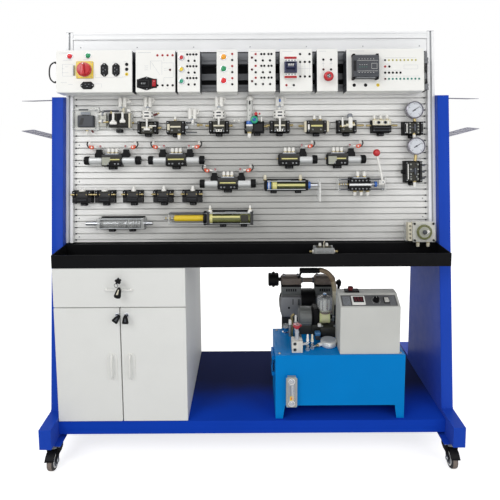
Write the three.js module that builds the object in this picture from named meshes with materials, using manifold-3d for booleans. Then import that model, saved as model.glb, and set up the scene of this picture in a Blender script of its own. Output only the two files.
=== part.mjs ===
// Pneumatic and hydraulic training workbench
// Millimetres, +Z up, front towards -Y, origin on the floor under the middle of the bench.

import * as THREE from "three";
import { mergeVertices } from "three/addons/utils/BufferGeometryUtils.js";
import Module from "manifold-3d";

const wasm = await Module();
wasm.setup();

// Clearances shared by all pieces
const seatGap = 0.3;
const runGap = 0.5;
const overrun = 1;

// Welded steel frame
const frame = {
  width: 1660,
  columnWidth: 48,
  footLength: 720,
  footHeight: 82,
  footWall: 3,
  casterHeight: 104,
  columnHeight: 1287,
  columnSetback: 128,
  columnRearSetback: 148,
  columnWall: 2,
  cableHole: 9,
  cableHoleUp: 60,
  drainRadius: 5,
  leanDegrees: 7.25,
  castPlate: 75,
  castPlateThickness: 3,
  castPlateFromFront: 22,
};

// Shelf between the feet
const shelf = { front: 79, depth: 581, thickness: 54, drop: 17, sheet: 3, ribShares: [-0.34, 0.16, 0.78] };

// Drip tray between the columns
const tray = { top: 857, front: 83, height: 52, troughDepth: 153, depth: 470, sheet: 4 };

// Leaning slotted panel, in its own frame: x across, y into the board, z up along it
const panel = {
  footY: -97,
  postWidth: 30,
  postFront: 20,
  postBack: 20,
  length: 882,
  topRail: 30,
  headerHeight: 44,
  headerThickness: 3,
  headerInset: 4,
  boardThickness: 15,
  boardDrop: 254,
  boardSplit: 234,
  boardGap: 0.4,
  slotPitch: 26,
  firstSlot: 36,
  slotMouth: 8,
  slotLipDepth: 5,
  slotHeadWidth: 16,
  slotHeadDepth: 6,
  cradleDepth: 34,
  cradleRail: 25,
  cradleBack: 2,
  lowerRailDrop: 242,
  upperRailDrop: 130,
};

// Plug-in modules on the cradle rails
const moduleSize = { drop: 88, height: 171, depth: 84, plate: 3, shellInset: 1.5 };
const jack = { radius: 5, height: 3, sides: 6, pitch: 19.5 };
const lamp = { radius: 11, height: 9, sides: 12 };

// Casters
const caster = {
  wheelRadius: 37.5,
  wheelWidth: 26,
  treadRound: 5,
  hubRadius: 12,
  axleRadius: 4,
  trail: 26,
  cheek: 3,
  cheekGap: 2,
  cheekWidth: 34,
  crownHeight: 14,
  headRadius: 24,
  headHeight: 9,
  hoodDepth: 62,
  pedalReach: 24,
  pedalThickness: 4,
  pedalDrop: 14,
};

// Cabinet
const cabinet = {
  width: 521,
  sideGap: 2,
  topGap: 1,
  sheet: 1.5,
  drawerHeight: 158,
  frontThickness: 18,
  revealGap: 2,
  drawerDepth: 480,
  drawerSheet: 1.5,
  drawerDrop: 20,
  drawerSideGap: 14,
  runnerHeight: 12,
  handleWidth: 104,
  handleRise: -7,
  handleStandOff: 22,
  handleBar: 5,
  doorHandleHeight: 112,
  doorHandleWidth: 45,
  doorHandleInset: 13,
  doorHandleRise: 179,
  lockRadius: 9,
  lockDepth: 3,
  lockDrop: 48,
  shelfRise: 205,
};

// Power unit on the shelf
const tank = {
  left: 95,
  width: 521,
  depth: 245,
  setback: 92,
  top: 269,
  footHeight: 56,
  footTopWidth: 38,
  footBottomWidth: 30,
  sheet: 3,
  gaugeWidth: 44,
  gaugeHeight: 127,
  gaugeFromLeft: 42,
  gaugeAboveFoot: 2,
  gaugeDepth: 16,
};

const box = {
  fromLeft: 259,
  width: 240,
  depth: 110,
  frontInset: 6,
  height: 195,
  backHeight: 231,
  slopeDepth: 64,
  panelInset: 8,
  panelSink: 5,
  wall: 2,
  knobRadius: 11,
  knobHeight: 14,
  knobAlongShare: 0.62,
};

function solidFrom(geometry) {
  geometry.deleteAttribute("normal");
  geometry.deleteAttribute("uv");
  const welded = mergeVertices(geometry, 1e-4);
  return new wasm.Manifold(new wasm.Mesh({
    numProp: 3,
    vertProperties: new Float32Array(welded.attributes.position.array),
    triVerts: new Uint32Array(welded.index.array),
  }));
}

// A block between two limits on each axis
function block([x0, x1], [y0, y1], [z0, z1]) {
  const geometry = new THREE.BoxGeometry(x1 - x0, y1 - y0, z1 - z0);
  geometry.translate((x0 + x1) / 2, (y0 + y1) / 2, (z0 + z1) / 2);
  return solidFrom(geometry);
}

// Limits of a size about its middle
function about(middle, size) {
  return [middle - size / 2, middle + size / 2];
}

// A straight round bar or cone along x, y or z
function bar(axis, [from, to], radius, [c1, c2], sides = 12, endRadius = radius) {
  const geometry = new THREE.CylinderGeometry(endRadius, radius, to - from, sides);
  geometry.translate(0, (to - from) / 2, 0);
  if (axis === "x") {
    geometry.rotateZ(-Math.PI / 2);
    geometry.translate(from, c1, c2);
  } else if (axis === "y") {
    geometry.translate(c1, from, c2);
  } else {
    geometry.rotateX(Math.PI / 2);
    geometry.translate(c1, c2, from);
  }
  return solidFrom(geometry);
}

// An outline in two axes, extruded along the third
function extrude(axis, points, [from, to]) {
  const shape = new THREE.Shape(points.map(([u, v]) => new THREE.Vector2(u, v)));
  const geometry = new THREE.ExtrudeGeometry(shape, { depth: to - from, bevelEnabled: false });
  const matrix = new THREE.Matrix4();
  if (axis === "x") {
    matrix.makeBasis(new THREE.Vector3(0, 1, 0), new THREE.Vector3(0, 0, 1), new THREE.Vector3(1, 0, 0));
    matrix.setPosition(from, 0, 0);
  } else if (axis === "y") {
    matrix.makeBasis(new THREE.Vector3(1, 0, 0), new THREE.Vector3(0, 0, 1), new THREE.Vector3(0, -1, 0));
    matrix.setPosition(0, to, 0);
  } else {
    matrix.setPosition(0, 0, from);
  }
  geometry.applyMatrix4(matrix);
  return solidFrom(geometry);
}

// A turned piece about x, y or z; profile points are radius and place along the axis
function turned(axis, profile, [c1, c2], sides = 24) {
  const geometry = new THREE.LatheGeometry(profile.map(([r, t]) => new THREE.Vector2(r, t)), sides);
  if (axis === "x") {
    geometry.rotateZ(-Math.PI / 2);
    geometry.translate(0, c1, c2);
  } else if (axis === "y") {
    geometry.translate(c1, 0, c2);
  } else {
    geometry.rotateX(Math.PI / 2);
    geometry.translate(c1, c2, 0);
  }
  return solidFrom(geometry);
}

// A round tube along a list of places
function tube(places, radius, sides, steps, tension) {
  const path = new THREE.CatmullRomCurve3(places.map((p) => new THREE.Vector3(...p)), false, "catmullrom",
      tension);
  const ring = new THREE.Shape();
  for (let i = 0; i < sides; i += 1) {
    const angle = (i / sides) * Math.PI * 2;
    const u = Math.cos(angle) * radius;
    const v = Math.sin(angle) * radius;
    if (i === 0) ring.moveTo(u, v);
    else ring.lineTo(u, v);
  }
  ring.closePath();
  return solidFrom(new THREE.ExtrudeGeometry(ring, { steps, extrudePath: path, bevelEnabled: false }));
}

function join(...solids) {
  return solids.reduce((whole, next) => whole.add(next));
}

function cut(whole, ...cutters) {
  return cutters.reduce((rest, next) => rest.subtract(next), whole);
}

function mirrored(solid) {
  return solid.mirror([1, 0, 0]);
}

// Finishes
const finishes = {
  frameBlue: { color: 0x1240a8, roughness: 0.45, metalness: 0.1 },
  tankBlue: { color: 0x0b7ac2, roughness: 0.4, metalness: 0.05 },
  trayBlack: { color: 0x151515, roughness: 0.5, metalness: 0.1 },
  blackPlastic: { color: 0x17181a, roughness: 0.55, metalness: 0 },
  cabinetGrey: { color: 0xdadad8, roughness: 0.5, metalness: 0 },
  boxGrey: { color: 0xc0c1be, roughness: 0.55, metalness: 0 },
  aluminium: { color: 0xc8c8c8, roughness: 0.4, metalness: 0.9 },
  steel: { color: 0x9a9aa2, roughness: 0.35, metalness: 1 },
  moduleWhite: { color: 0xf3f3ef, roughness: 0.5, metalness: 0 },
  clearPlastic: { color: 0xb9bcb4, roughness: 0.2, metalness: 0 },
  darkGrey: { color: 0x4a4d52, roughness: 0.5, metalness: 0.2 },
  red: { color: 0xd01624, roughness: 0.35, metalness: 0 },
  yellow: { color: 0xe8c21c, roughness: 0.4, metalness: 0 },
  green: { color: 0x149a58, roughness: 0.4, metalness: 0 },
};
const materials = Object.fromEntries(
  Object.entries(finishes).map(([name, values]) => [name, new THREE.MeshStandardMaterial({ name,
      ...values })]),
);

const bench = new THREE.Group();

function add(name, solid, finish, parent = bench) {
  const data = solid.getMesh();
  const geometry = new THREE.BufferGeometry();
  geometry.setAttribute("position", new THREE.BufferAttribute(new Float32Array(data.vertProperties), 3));
  geometry.setIndex(new THREE.BufferAttribute(new Uint32Array(data.triVerts), 1));
  geometry.computeVertexNormals();
  const mesh = new THREE.Mesh(geometry, materials[finish]);
  mesh.name = name;
  parent.add(mesh);
  return mesh;
}

// Places worked out from the frame
const lean = THREE.MathUtils.degToRad(frame.leanDegrees);
const leanTan = Math.tan(lean);
const outer = frame.width / 2;
const inner = outer - frame.columnWidth;
const footFront = -frame.footLength / 2;
const footBack = frame.footLength / 2;
const footTop = frame.casterHeight + frame.footHeight;
const columnTop = footTop + frame.columnHeight;
const columnFront = footFront + frame.columnSetback;
const columnBack = footBack - frame.columnRearSetback;
const shelfFront = footFront + shelf.front;
const shelfBack = shelfFront + shelf.depth;
const shelfTop = footTop - shelf.drop;
const trayFront = footFront + tray.front;
const trayTop = tray.top;
const trayBottom = trayTop - tray.height;
const trayBack = trayFront + tray.depth;
const castX = inner - (frame.castPlate - frame.columnWidth) + frame.castPlate / 2;
const castY = footBack - frame.castPlateFromFront - frame.castPlate / 2;
const castTop = frame.casterHeight - frame.castPlateThickness;

function columnFrontAt(z) {
  return columnFront + (z - footTop) * leanTan;
}

// Foot beam, leaning column and caster plates of one side, welded together; built for +X
function sideFrame() {
  const wall = frame.footWall;
  const footOuter = block([inner, outer], [footFront, footBack], [frame.casterHeight, footTop]);
  const footHollow = block(
    [inner + wall, outer - wall],
    [footFront + wall, footBack - wall],
    [frame.casterHeight + wall, footTop - wall],
  );
  const drain = bar("z", [frame.casterHeight - overrun, frame.casterHeight + wall + overrun],
    frame.drainRadius, [outer - frame.columnWidth / 2, 0], 8);
  const foot = cut(footOuter, footHollow, drain);
  const skin = frame.columnWall;
  const columnOuter = extrude("x", [
    [columnFront, footTop],
    [columnBack, footTop],
    [columnBack, columnTop],
    [columnFrontAt(columnTop), columnTop],
  ], [inner, outer]);
  const columnHollow = extrude("x", [
    [columnFrontAt(footTop + skin) + skin, footTop + skin],
    [columnBack - skin, footTop + skin],
    [columnBack - skin, columnTop - skin],
    [columnFrontAt(columnTop - skin) + skin, columnTop - skin],
  ], [inner + skin, outer - skin]);
  const cableHole = bar("y", [columnBack - skin - overrun, columnBack + overrun],
    frame.cableHole, [outer - frame.columnWidth / 2, footTop + frame.cableHoleUp], 12);
  const column = cut(columnOuter, columnHollow, cableHole);
  const plates = [-castY, castY].map((y) => block(
    about(castX, frame.castPlate),
    about(y, frame.castPlate),
    [castTop, frame.casterHeight],
  ));
  return join(foot, column, ...plates);
}
add("right_side_frame", sideFrame(), "frameBlue");
add("left_side_frame", mirrored(sideFrame()), "frameBlue");

// Shelf folded from sheet, open underneath, with cross ribs
function baseShelf() {
  const half = inner - seatGap;
  const bottom = shelfTop - shelf.thickness;
  const pan = cut(
    block([-half, half], [shelfFront, shelfBack], [bottom, shelfTop]),
    block(
      [-half + shelf.sheet, half - shelf.sheet],
      [shelfFront + shelf.sheet, shelfBack - shelf.sheet],
      [bottom - overrun, shelfTop - shelf.sheet],
    ),
  );
  const ribs = shelf.ribShares.map((share) => block(
    about(share * half, shelf.sheet),
    [shelfFront + shelf.sheet / 2, shelfBack - shelf.sheet / 2],
    [bottom + shelf.sheet, shelfTop - shelf.sheet / 2],
  ));
  return join(pan, ...ribs);
}
add("base_shelf", baseShelf(), "frameBlue");

// Tray of one folded sheet: front trough, deck behind it under the panel, rear flange, closed ends
function dripTray() {
  const half = inner - seatGap;
  const t = tray.sheet;
  const troughBack = trayFront + tray.troughDepth;
  const section = extrude("x", [
    [trayFront, trayBottom],
    [troughBack + t, trayBottom],
    [troughBack + t, trayTop - t],
    [trayBack - t, trayTop - t],
    [trayBack - t, trayBottom],
    [trayBack, trayBottom],
    [trayBack, trayTop],
    [troughBack, trayTop],
    [troughBack, trayBottom + t],
    [trayFront + t, trayBottom + t],
    [trayFront + t, trayTop],
    [trayFront, trayTop],
  ], [-half, half]);
  const ends = [-1, 1].map((side) => block(
    side < 0 ? [-half, -half + t] : [half - t, half],
    [trayFront, trayBack],
    [trayBottom, trayTop],
  ));
  return join(section, ...ends);
}
add("drip_tray", dripTray(), "trayBlack");

// Leaning panel: everything on it is built in the panel's own frame
const leaning = new THREE.Group();
leaning.position.set(0, panel.footY, trayTop + seatGap);
leaning.rotation.x = -lean;
bench.add(leaning);
const panelFoot = panel.postBack * leanTan;
const postInner = inner - runGap - panel.postWidth;
const panelHalf = postInner + panel.postWidth;
const boardHalf = postInner - runGap;
const boardTop = panel.length - panel.boardDrop;
const lowerRail = panel.length - panel.lowerRailDrop;
const upperRail = panel.length - panel.upperRailDrop;

// Left ends of pieces in a row: the room that their widths leave is shared out from the left
function rowLefts(widths, roomShares) {
  const room = 2 * boardHalf - widths.reduce((sum, width) => sum + width, 0);
  return widths.map((_, i) => {
    const before = widths.slice(0, i).reduce((sum, width) => sum + width, 0);
    return -boardHalf + before + roomShares[i] * room;
  });
}

function panelFrame() {
  const depth = [-panel.postFront, panel.postBack];
  const posts = [-1, 1].map((side) => block(
    side < 0 ? [-postInner - panel.postWidth, -postInner] : [postInner, postInner + panel.postWidth],
    depth,
    [panelFoot, panel.length],
  ));
  const railBottom = panel.length - panel.topRail;
  const topRail = block([-postInner, postInner], depth, [railBottom, panel.length]);
  const headerFront = -panel.postFront + panel.headerInset;
  const header = block(
    [-postInner, postInner],
    [headerFront, headerFront + panel.headerThickness],
    [railBottom - panel.headerHeight, railBottom],
  );
  const cradle = [lowerRail, upperRail].map((z) => block(
    [-postInner, postInner],
    [-panel.cradleDepth, 0],
    [z, z + panel.cradleRail],
  ));
  const back = block(
    [-postInner, postInner],
    [0, panel.cradleBack],
    [lowerRail, railBottom],
  );
  return join(...posts, topRail, header, ...cradle, back);
}
add("panel_frame", panelFrame(), "aluminium", leaning);

// Slotted aluminium board between two heights
function slottedBoard(bottom, top) {
  const half = boardHalf;
  const outline = [[panel.boardThickness, bottom], [panel.boardThickness, top], [0, top]];
  const mouth = panel.slotMouth / 2;
  const head = panel.slotHeadWidth / 2;
  const deep = panel.slotLipDepth + panel.slotHeadDepth;
  const slots = [];
  for (let z = panelFoot + panel.firstSlot; z < top - head; z += panel.slotPitch) {
    if (z > bottom + head) slots.unshift(z);
  }
  for (const z of slots) {
    outline.push([0, z + mouth], [panel.slotLipDepth, z + mouth], [panel.slotLipDepth, z + head], [deep,
        z + head]);
    outline.push([deep, z - head], [panel.slotLipDepth, z - head], [panel.slotLipDepth, z - mouth], [0,
        z - mouth]);
  }
  outline.push([0, bottom]);
  return extrude("x", outline, [-half, half]);
}

// Clip-on components: body block, black clip foot in a slot, round push-in fittings
const clip = { width: 27, drop: 12, depth: 24, bite: 2 };
const fitting = { radius: 5.5, height: 15, sides: 6 };
const tag = { radius: 24, thickness: 3, rise: 52, stem: 4 };

function clipBlock(x, z, width, height, depth, seat) {
  return join(
    block(about(x, width), [-depth, seat], about(z, height)),
    block(about(x, clip.width), [-clip.depth, seat], [z - height / 2 - clip.drop,
        z - height / 2 + overrun]),
  );
}

function topFittings(x, top, count, pitch, y) {
  const first = x - ((count - 1) * pitch) / 2;
  return Array.from({ length: count }, (_, i) => bar("z", [top - overrun, top + fitting.height],
    fitting.radius, [first + i * pitch, y], fitting.sides));
}

// Round tag plate on a stem above a valve
function tagPlate(x, z, y) {
  return join(
    turned("y", [[0, y - tag.thickness], [tag.radius, y - tag.thickness], [tag.radius, y], [0, y]], [x,
        z + tag.rise], 10),
    block(about(x, tag.stem), [y - tag.thickness, y], [z, z + tag.rise]),
  );
}

// Dial gauge standing on a block, facing out of the panel
const dial = { radius: 36, depth: 28, behind: 22, neck: 7 };

function dialGauge(x, z, low) {
  const face = -dial.behind - dial.depth;
  const body = turned("y", [[0, face], [dial.radius, face], [dial.radius, -dial.behind], [0,
      -dial.behind]], [x, z], 16);
  const neck = bar("z", [low, z], dial.neck, [x, -dial.behind - dial.depth / 2], 8);
  return join(body, neck);
}

// Top row of small valves, clipped to the upper board; heights are shares of the boards' top
const topRow = {
  depth: 42,
  relay: { width: 108, height: 90, upShare: 0.8312 },
  twinThrottle: { width: 100, height: 84, upShare: 0.8153 },
  throttle: { width: 84, height: 54, upShare: 0.7771 },
  roller: { width: 78, height: 58, upShare: 0.7755 },
  rodReach: 50,
  rodRadius: 2.5,
  rodSpread: 42,
  regulator: { width: 84, height: 52, upShare: 0.7755 },
  tubeAside: 19,
  tubeRadius: 14,
  tubeRise: 119,
  twoPort: { width: 96, height: 56, upShare: 0.7755 },
  check: { width: 82, height: 56, upShare: 0.7755 },
  threePort: { width: 82, height: 56, upShare: 0.7755 },
  gaugeBlock: { width: 84, height: 58, upShare: 0.7611 },
  gaugeAside: 6,
  gaugeRise: 70,
  lowGaugeBlock: { width: 73, height: 92, upShare: 0.4697 },
  lowGaugeAside: 12,
  lowGaugeRise: 102,
  linkRadius: 4,
  roomShares: [0.0144, 0.0638, 0.1379, 0.2160, 0.3210, 0.4547, 0.5021, 0.6358,
    0.7140, 0.8457, 0.9486],
};

function clipped(item, left) {
  return { ...item, x: left + item.width / 2, z: item.upShare * boardTop };
}
// Second row across the boards: two double and two single solenoid valves, then the lower gauge
const secondRow = { upShare: 0.5557, roomShares: [0.0777, 0.1268, 0.6276, 0.6957, 0.9501] };

function upperBoard() {
  const r = topRow;
  const row = [r.relay, r.twinThrottle, r.throttle, r.roller, r.throttle, r.regulator, r.throttle, r.twoPort,
    r.check, r.threePort, r.gaugeBlock];
  const widths = row.map((item) => item.width + (item === r.roller ? r.rodReach : 0));
  const lefts = rowLefts(widths, r.roomShares);
  const placed = row.map((item, i) => clipped(item, lefts[i]));
  const [relayValve, twin, , roller, , regulator, , twoPort, check, threePort, gaugeBlock] = placed;
  const lowGaugeBlock = clipped(r.lowGaugeBlock, secondLefts[secondLefts.length - 1]);
  const bodies = [...placed, lowGaugeBlock]
    .map((b) => clipBlock(b.x, b.z, b.width, b.height, r.depth, clip.bite));
  const tags = placed.filter((item, i) => row[i] === r.throttle)
    .map((item) => tagPlate(item.x, item.z + item.height / 2, -r.depth / 2));
  const twinTag = tagPlate(twin.x + twin.width / 4, twin.z + tag.radius / 2, -r.depth / 2);
  const rodEnd = roller.x + roller.width / 2 + r.rodReach;
  const rods = [-1, 1].map((side) => bar("x", [roller.x, rodEnd], r.rodRadius,
    [-r.depth / 2, roller.z + (side * r.rodSpread) / 2], 6));
  const rodTag = turned("y", [
    [0, -r.depth / 2 - tag.thickness],
    [tag.radius, -r.depth / 2 - tag.thickness],
    [tag.radius, -r.depth / 2],
    [0, -r.depth / 2],
  ], [rodEnd, roller.z + r.rodSpread / 2 + tag.radius], 12);
  const regulatorTube = bar("z", [regulator.z - regulator.height / 2, regulator.z + r.tubeRise],
    r.tubeRadius, [regulator.x - r.tubeAside, -r.depth - r.tubeRadius / 2], 10);
  const ports = [
    ...topFittings(twoPort.x, twoPort.z + twoPort.height / 2, 2, twoPort.width / 4, -r.depth / 2),
    ...topFittings(check.x, check.z + check.height / 2, 1, 0, -r.depth / 2),
    ...topFittings(threePort.x, threePort.z + threePort.height / 2, 3, threePort.width / 3.5,
      -r.depth / 2),
  ];
  const link = bar("x", [relayValve.x, twin.x], r.linkRadius, [-r.depth / 2, twin.z], 8);
  const gauges = [
    dialGauge(gaugeBlock.x + r.gaugeAside, gaugeBlock.z + r.gaugeRise, gaugeBlock.z),
    dialGauge(lowGaugeBlock.x + r.lowGaugeAside, lowGaugeBlock.z + r.lowGaugeRise, lowGaugeBlock.z),
  ];
  return join(slottedBoard(panel.boardSplit + panel.boardGap, boardTop),
    ...bodies, ...tags, twinTag, ...rods, rodTag, regulatorTube, ...ports, link, ...gauges);
}
// Solenoid valves with one or two coils
const solenoid = {
  bodyWidth: 84,
  bodyHeight: 52,
  depth: 40,
  coilRadius: 15,
  coilLength: 55,
  capRadius: 17,
  capLength: 22,
  connectorWidth: 28,
  connectorDepth: 24,
  connectorHeight: 24,
  fittingPitch: 17,
};
const coilReach = solenoid.coilLength + solenoid.capLength;
const doubleWidth = solenoid.bodyWidth + 2 * coilReach;
const singleWidth = solenoid.bodyWidth + coilReach;
const secondLefts = rowLefts([doubleWidth, doubleWidth, singleWidth, singleWidth,
  topRow.lowGaugeBlock.width], secondRow.roomShares);
add("upper_slotted_board", upperBoard(), "aluminium", leaning);

// Hand lever valve: rod cage, body and a lever that swings across the panel
const leverValve = {
  width: 202,
  upShare: 0.3869,
  bodyInset: 48,
  bodyWidth: 93,
  bodyHeight: 56,
  depth: 42,
  plate: 5,
  plateHeight: 58,
  rodRadius: 3,
  rodSpread: 42,
  pivotInset: 15,
  pivotRadius: 4,
  pivotRise: 10,
  leverRadius: 3.5,
  leverHub: 9,
  leverHubDepth: 8,
  ballRadius: 15,
  ballAside: 25,
  ballRise: 122,
};

// Cylinders: square-ended barrel with a real bore, and a rod with its piston
const cylinders = {
  wall: 4,
  endLength: 12,
  footWidth: 26,
  footHeight: 8,
  pistonLength: 12,
  standOff: 12,
  blue: { length: 183, upShare: 0.3838, radius: 22, rod: 5, rodOut: 42, plateWidth: 11, plateDown: 69,
    plateUp: 26, stroke: 60 },
  grey: { length: 196, upShare: 0.1354, radius: 24, rod: 8, leftOut: 52, rightOut: 32, stroke: 35 },
  yellow: { length: 193, upShare: 0.1688, radius: 27, rod: 13, rodOut: 136, noseOut: 43, noseRadius: 5,
    cageOut: 160, stroke: 110 },
};

// Round rotary motor standing off the lower right of the panel
const rotary = {
  upShare: 0.0732, square: 94, height: 84, depth: 34, back: 30, discRadius: 31, discDepth: 8,
  sideWidth: 17, fittingPitch: 42,
};

// Bank of five speed controllers, clipped to the lower board
const lowRow = {
  depth: 40,
  count: 5,
  upShare: 0.3025,
  width: 84,
  height: 54,
};

// Third row across the boards: five speed controllers, a solenoid valve, a cylinder, the lever valve
const thirdRow = { solenoidUpShare: 0.3965, roomShares: [0.0087, 0.0462, 0.1387, 0.2601, 0.3671, 0.3324, 0.4306, 0.4653] };
const blueRoom = cylinders.blue.length + cylinders.blue.rodOut + cylinders.blue.plateWidth
  + cylinders.blue.stroke;
const thirdLefts = rowLefts([...Array(lowRow.count).fill(lowRow.width), doubleWidth, blueRoom,
  leverValve.width], thirdRow.roomShares);

// Bottom row: two cylinders with the room that their rods need, and the rotary motor
const bottomRow = { roomShares: [0.0374, 0.0568, 1.0149] };
const greyRoom = cylinders.grey.length + cylinders.grey.leftOut + cylinders.grey.rightOut
  + 2 * cylinders.grey.stroke;
const yellowRoom = cylinders.yellow.length + cylinders.yellow.rodOut + cylinders.yellow.noseOut;
const bottomLefts = rowLefts([greyRoom, yellowRoom, rotary.square + rotary.sideWidth],
  bottomRow.roomShares);

function placedCylinder(c, left) {
  return { ...c, left, right: left + c.length, z: c.upShare * boardTop };
}

function lowerBoard() {
  const r = lowRow;
  const z = r.upShare * boardTop;
  const valves = thirdLefts.slice(0, r.count).flatMap((left) => [
    clipBlock(left + r.width / 2, z, r.width, r.height, r.depth, clip.bite),
    ...topFittings(left + r.width / 2, z + r.height / 2, 1, 0, -r.depth / 2),
  ]);
  return join(slottedBoard(panelFoot, panel.boardSplit), ...valves);
}
add("lower_slotted_board", lowerBoard(), "aluminium", leaning);

function solenoidValve(x, z, sides) {
  const s = solenoid;
  const middle = -seatGap - s.depth / 2;
  const parts = [clipBlock(x, z, s.bodyWidth, s.bodyHeight, s.depth + seatGap, -seatGap)];
  for (const side of sides) {
    const start = x + (side * s.bodyWidth) / 2;
    const coilEnd = start + side * s.coilLength;
    const capEnd = coilEnd + side * s.capLength;
    parts.push(bar("x", [Math.min(start - side * overrun, coilEnd), Math.max(start - side * overrun,
        coilEnd)],
      s.coilRadius, [middle, z], 16));
    parts.push(bar("x", [Math.min(coilEnd, capEnd), Math.max(coilEnd, capEnd)], s.capRadius, [middle, z],
        16));
    parts.push(block(about(start + (side * s.connectorWidth) / 2, s.connectorWidth), about(middle,
        s.connectorDepth),
      [z, z + s.coilRadius + s.connectorHeight]));
  }
  return join(...parts, ...topFittings(x, z + s.bodyHeight / 2, 3, s.fittingPitch, middle));
}
const doublePlaces = [
  [secondLefts[0], secondRow.upShare],
  [secondLefts[1], secondRow.upShare],
  [thirdLefts[lowRow.count], thirdRow.solenoidUpShare],
];
doublePlaces.forEach(([left, share], i) => {
  add(`double_solenoid_valve_${i + 1}`, solenoidValve(left + doubleWidth / 2, share * boardTop, [-1, 1]),
    "blackPlastic", leaning);
});
secondLefts.slice(2, 4).forEach((left, i) => {
  add(`single_solenoid_valve_${i + 1}`, solenoidValve(left + solenoid.bodyWidth / 2,
    secondRow.upShare * boardTop, [1]), "blackPlastic", leaning);
});

// Places on the lever valve, from the row that it stands in
const leverPlace = { left: thirdLefts[thirdLefts.length - 1], z: leverValve.upShare * boardTop };
leverPlace.right = leverPlace.left + leverValve.width;
leverPlace.bodyLeft = leverPlace.left + leverValve.bodyInset;
leverPlace.bodyRight = leverPlace.bodyLeft + leverValve.bodyWidth;
leverPlace.pivotX = leverPlace.right - leverValve.pivotInset;
leverPlace.ballX = leverPlace.pivotX - leverValve.ballAside;
leverPlace.ballZ = leverPlace.z + leverValve.pivotRise + leverValve.ballRise;

function leverValveBody() {
  const v = { ...leverValve, ...leverPlace };
  const middle = -seatGap - v.depth / 2;
  const body = block([v.bodyLeft, v.bodyRight], [-seatGap - v.depth, -seatGap], about(v.z, v.bodyHeight));
  const plates = [v.left, v.right - v.plate].map((x) => block([x, x + v.plate], about(middle, v.depth / 2),
    about(v.z, v.plateHeight)));
  const rods = [-1, 1].map((side) => bar("x", [v.left + overrun, v.right - overrun], v.rodRadius,
    [middle, v.z + (side * v.rodSpread) / 2], 8));
  const bridge = block([v.bodyRight - overrun, v.pivotX + v.leverHub], about(middle, v.depth / 3),
    about(v.z + v.pivotRise, v.leverHub));
  const pin = bar("y", [-seatGap - v.depth - v.leverHubDepth, middle], v.pivotRadius, [v.pivotX,
      v.z + v.pivotRise], 12);
  const lower = topFittings((v.bodyLeft + v.bodyRight) / 2, v.z - v.bodyHeight / 2 - fitting.height, 3,
      solenoid.fittingPitch, middle);
  const upper = topFittings((v.bodyLeft + v.bodyRight) / 2, v.z + v.bodyHeight / 2, 2,
      solenoid.fittingPitch, middle);
  return join(body, ...plates, ...rods, bridge, pin, ...upper, ...lower);
}
add("lever_valve", leverValveBody(), "clearPlastic", leaning);

function valveLever() {
  const v = { ...leverValve, ...leverPlace };
  const back = -seatGap - v.depth - seatGap;
  const front = back - v.leverHubDepth + seatGap;
  const z = v.z + v.pivotRise;
  const middle = (front + back) / 2;
  const hub = cut(
    bar("y", [front, back], v.leverHub, [v.pivotX, z], 16),
    bar("y", [front - overrun, back + overrun], v.pivotRadius + runGap, [v.pivotX, z], 16),
  );
  const reach = Math.hypot(v.ballX - v.pivotX, v.ballZ - z);
  const angle = Math.atan2(v.pivotX - v.ballX, v.ballZ - z);
  const stick = bar("z", [v.leverHub - overrun, reach], v.leverRadius, [0, 0], 8)
    .rotate([0, -THREE.MathUtils.radToDeg(angle), 0])
    .translate([v.pivotX, middle, z]);
  const ball = wasm.Manifold.sphere(v.ballRadius, 16).translate([v.ballX, middle, v.ballZ]);
  return join(hub, stick, ball);
}
add("valve_lever", valveLever(), "red", leaning);

const blueCylinder = placedCylinder(cylinders.blue, thirdLefts[lowRow.count + 1]);
const greyCylinder = placedCylinder(cylinders.grey,
  bottomLefts[0] + cylinders.grey.leftOut + cylinders.grey.stroke);
const yellowCylinder = placedCylinder(cylinders.yellow,
  bottomLefts[1] + cylinders.yellow.rodOut + cylinders.yellow.noseOut);

// Barrel along x with a gland hole at each open end
function barrel(c, openEnds, rodRadius) {
  const k = cylinders;
  const middle = -seatGap - k.standOff - c.radius;
  const bore = c.radius - k.wall;
  const shell = cut(
    bar("x", [c.left, c.right], c.radius, [middle, c.z], 20),
    bar("x", [c.left + k.endLength, c.right - k.endLength], bore, [middle, c.z], 20),
  );
  const square = 2 * c.radius;
  const ends = [[c.left, c.left + k.endLength], [c.right - k.endLength, c.right]]
    .map((span) => block(span, about(middle, square), about(c.z, square)));
  const feet = [c.left + k.endLength + k.footWidth, c.right - k.endLength - k.footWidth]
    .map((x) => block(about(x, k.footWidth), [middle + c.radius - k.wall / 2, -seatGap],
        about(c.z - c.radius / 2, c.radius)));
  const glands = openEnds.map((side) => bar("x",
    side < 0 ? [c.left - overrun, c.left + k.endLength + overrun] : [c.right - k.endLength - overrun,
        c.right + overrun],
    rodRadius + runGap, [middle, c.z], 16));
  const ports = [c.left + k.endLength / 2, c.right - k.endLength / 2]
    .flatMap((x) => topFittings(x, c.z + c.radius, 1, 0, middle));
  return { solid: cut(join(shell, ...ends, ...feet, ...ports), ...glands), middle, bore };
}

function piston(c, at, middle, bore) {
  return bar("x", about(at, cylinders.pistonLength), bore - runGap, [middle, c.z], 20);
}

const blueBarrel = barrel(blueCylinder, [1], blueCylinder.rod);
add("single_rod_cylinder", blueBarrel.solid, "clearPlastic", leaning);
function bluePushRod() {
  const c = blueCylinder;
  const start = c.left + cylinders.endLength + cylinders.pistonLength;
  const tip = c.right + c.rodOut;
  return join(
    piston(c, start, blueBarrel.middle, blueBarrel.bore),
    bar("x", [start, tip + overrun], c.rod, [blueBarrel.middle, c.z], 12),
    block([tip, tip + c.plateWidth], about(blueBarrel.middle, c.radius), [c.z - c.plateDown,
      c.z + c.plateUp]),
  );
}
add("single_cylinder_rod", bluePushRod(), "steel", leaning);

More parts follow.
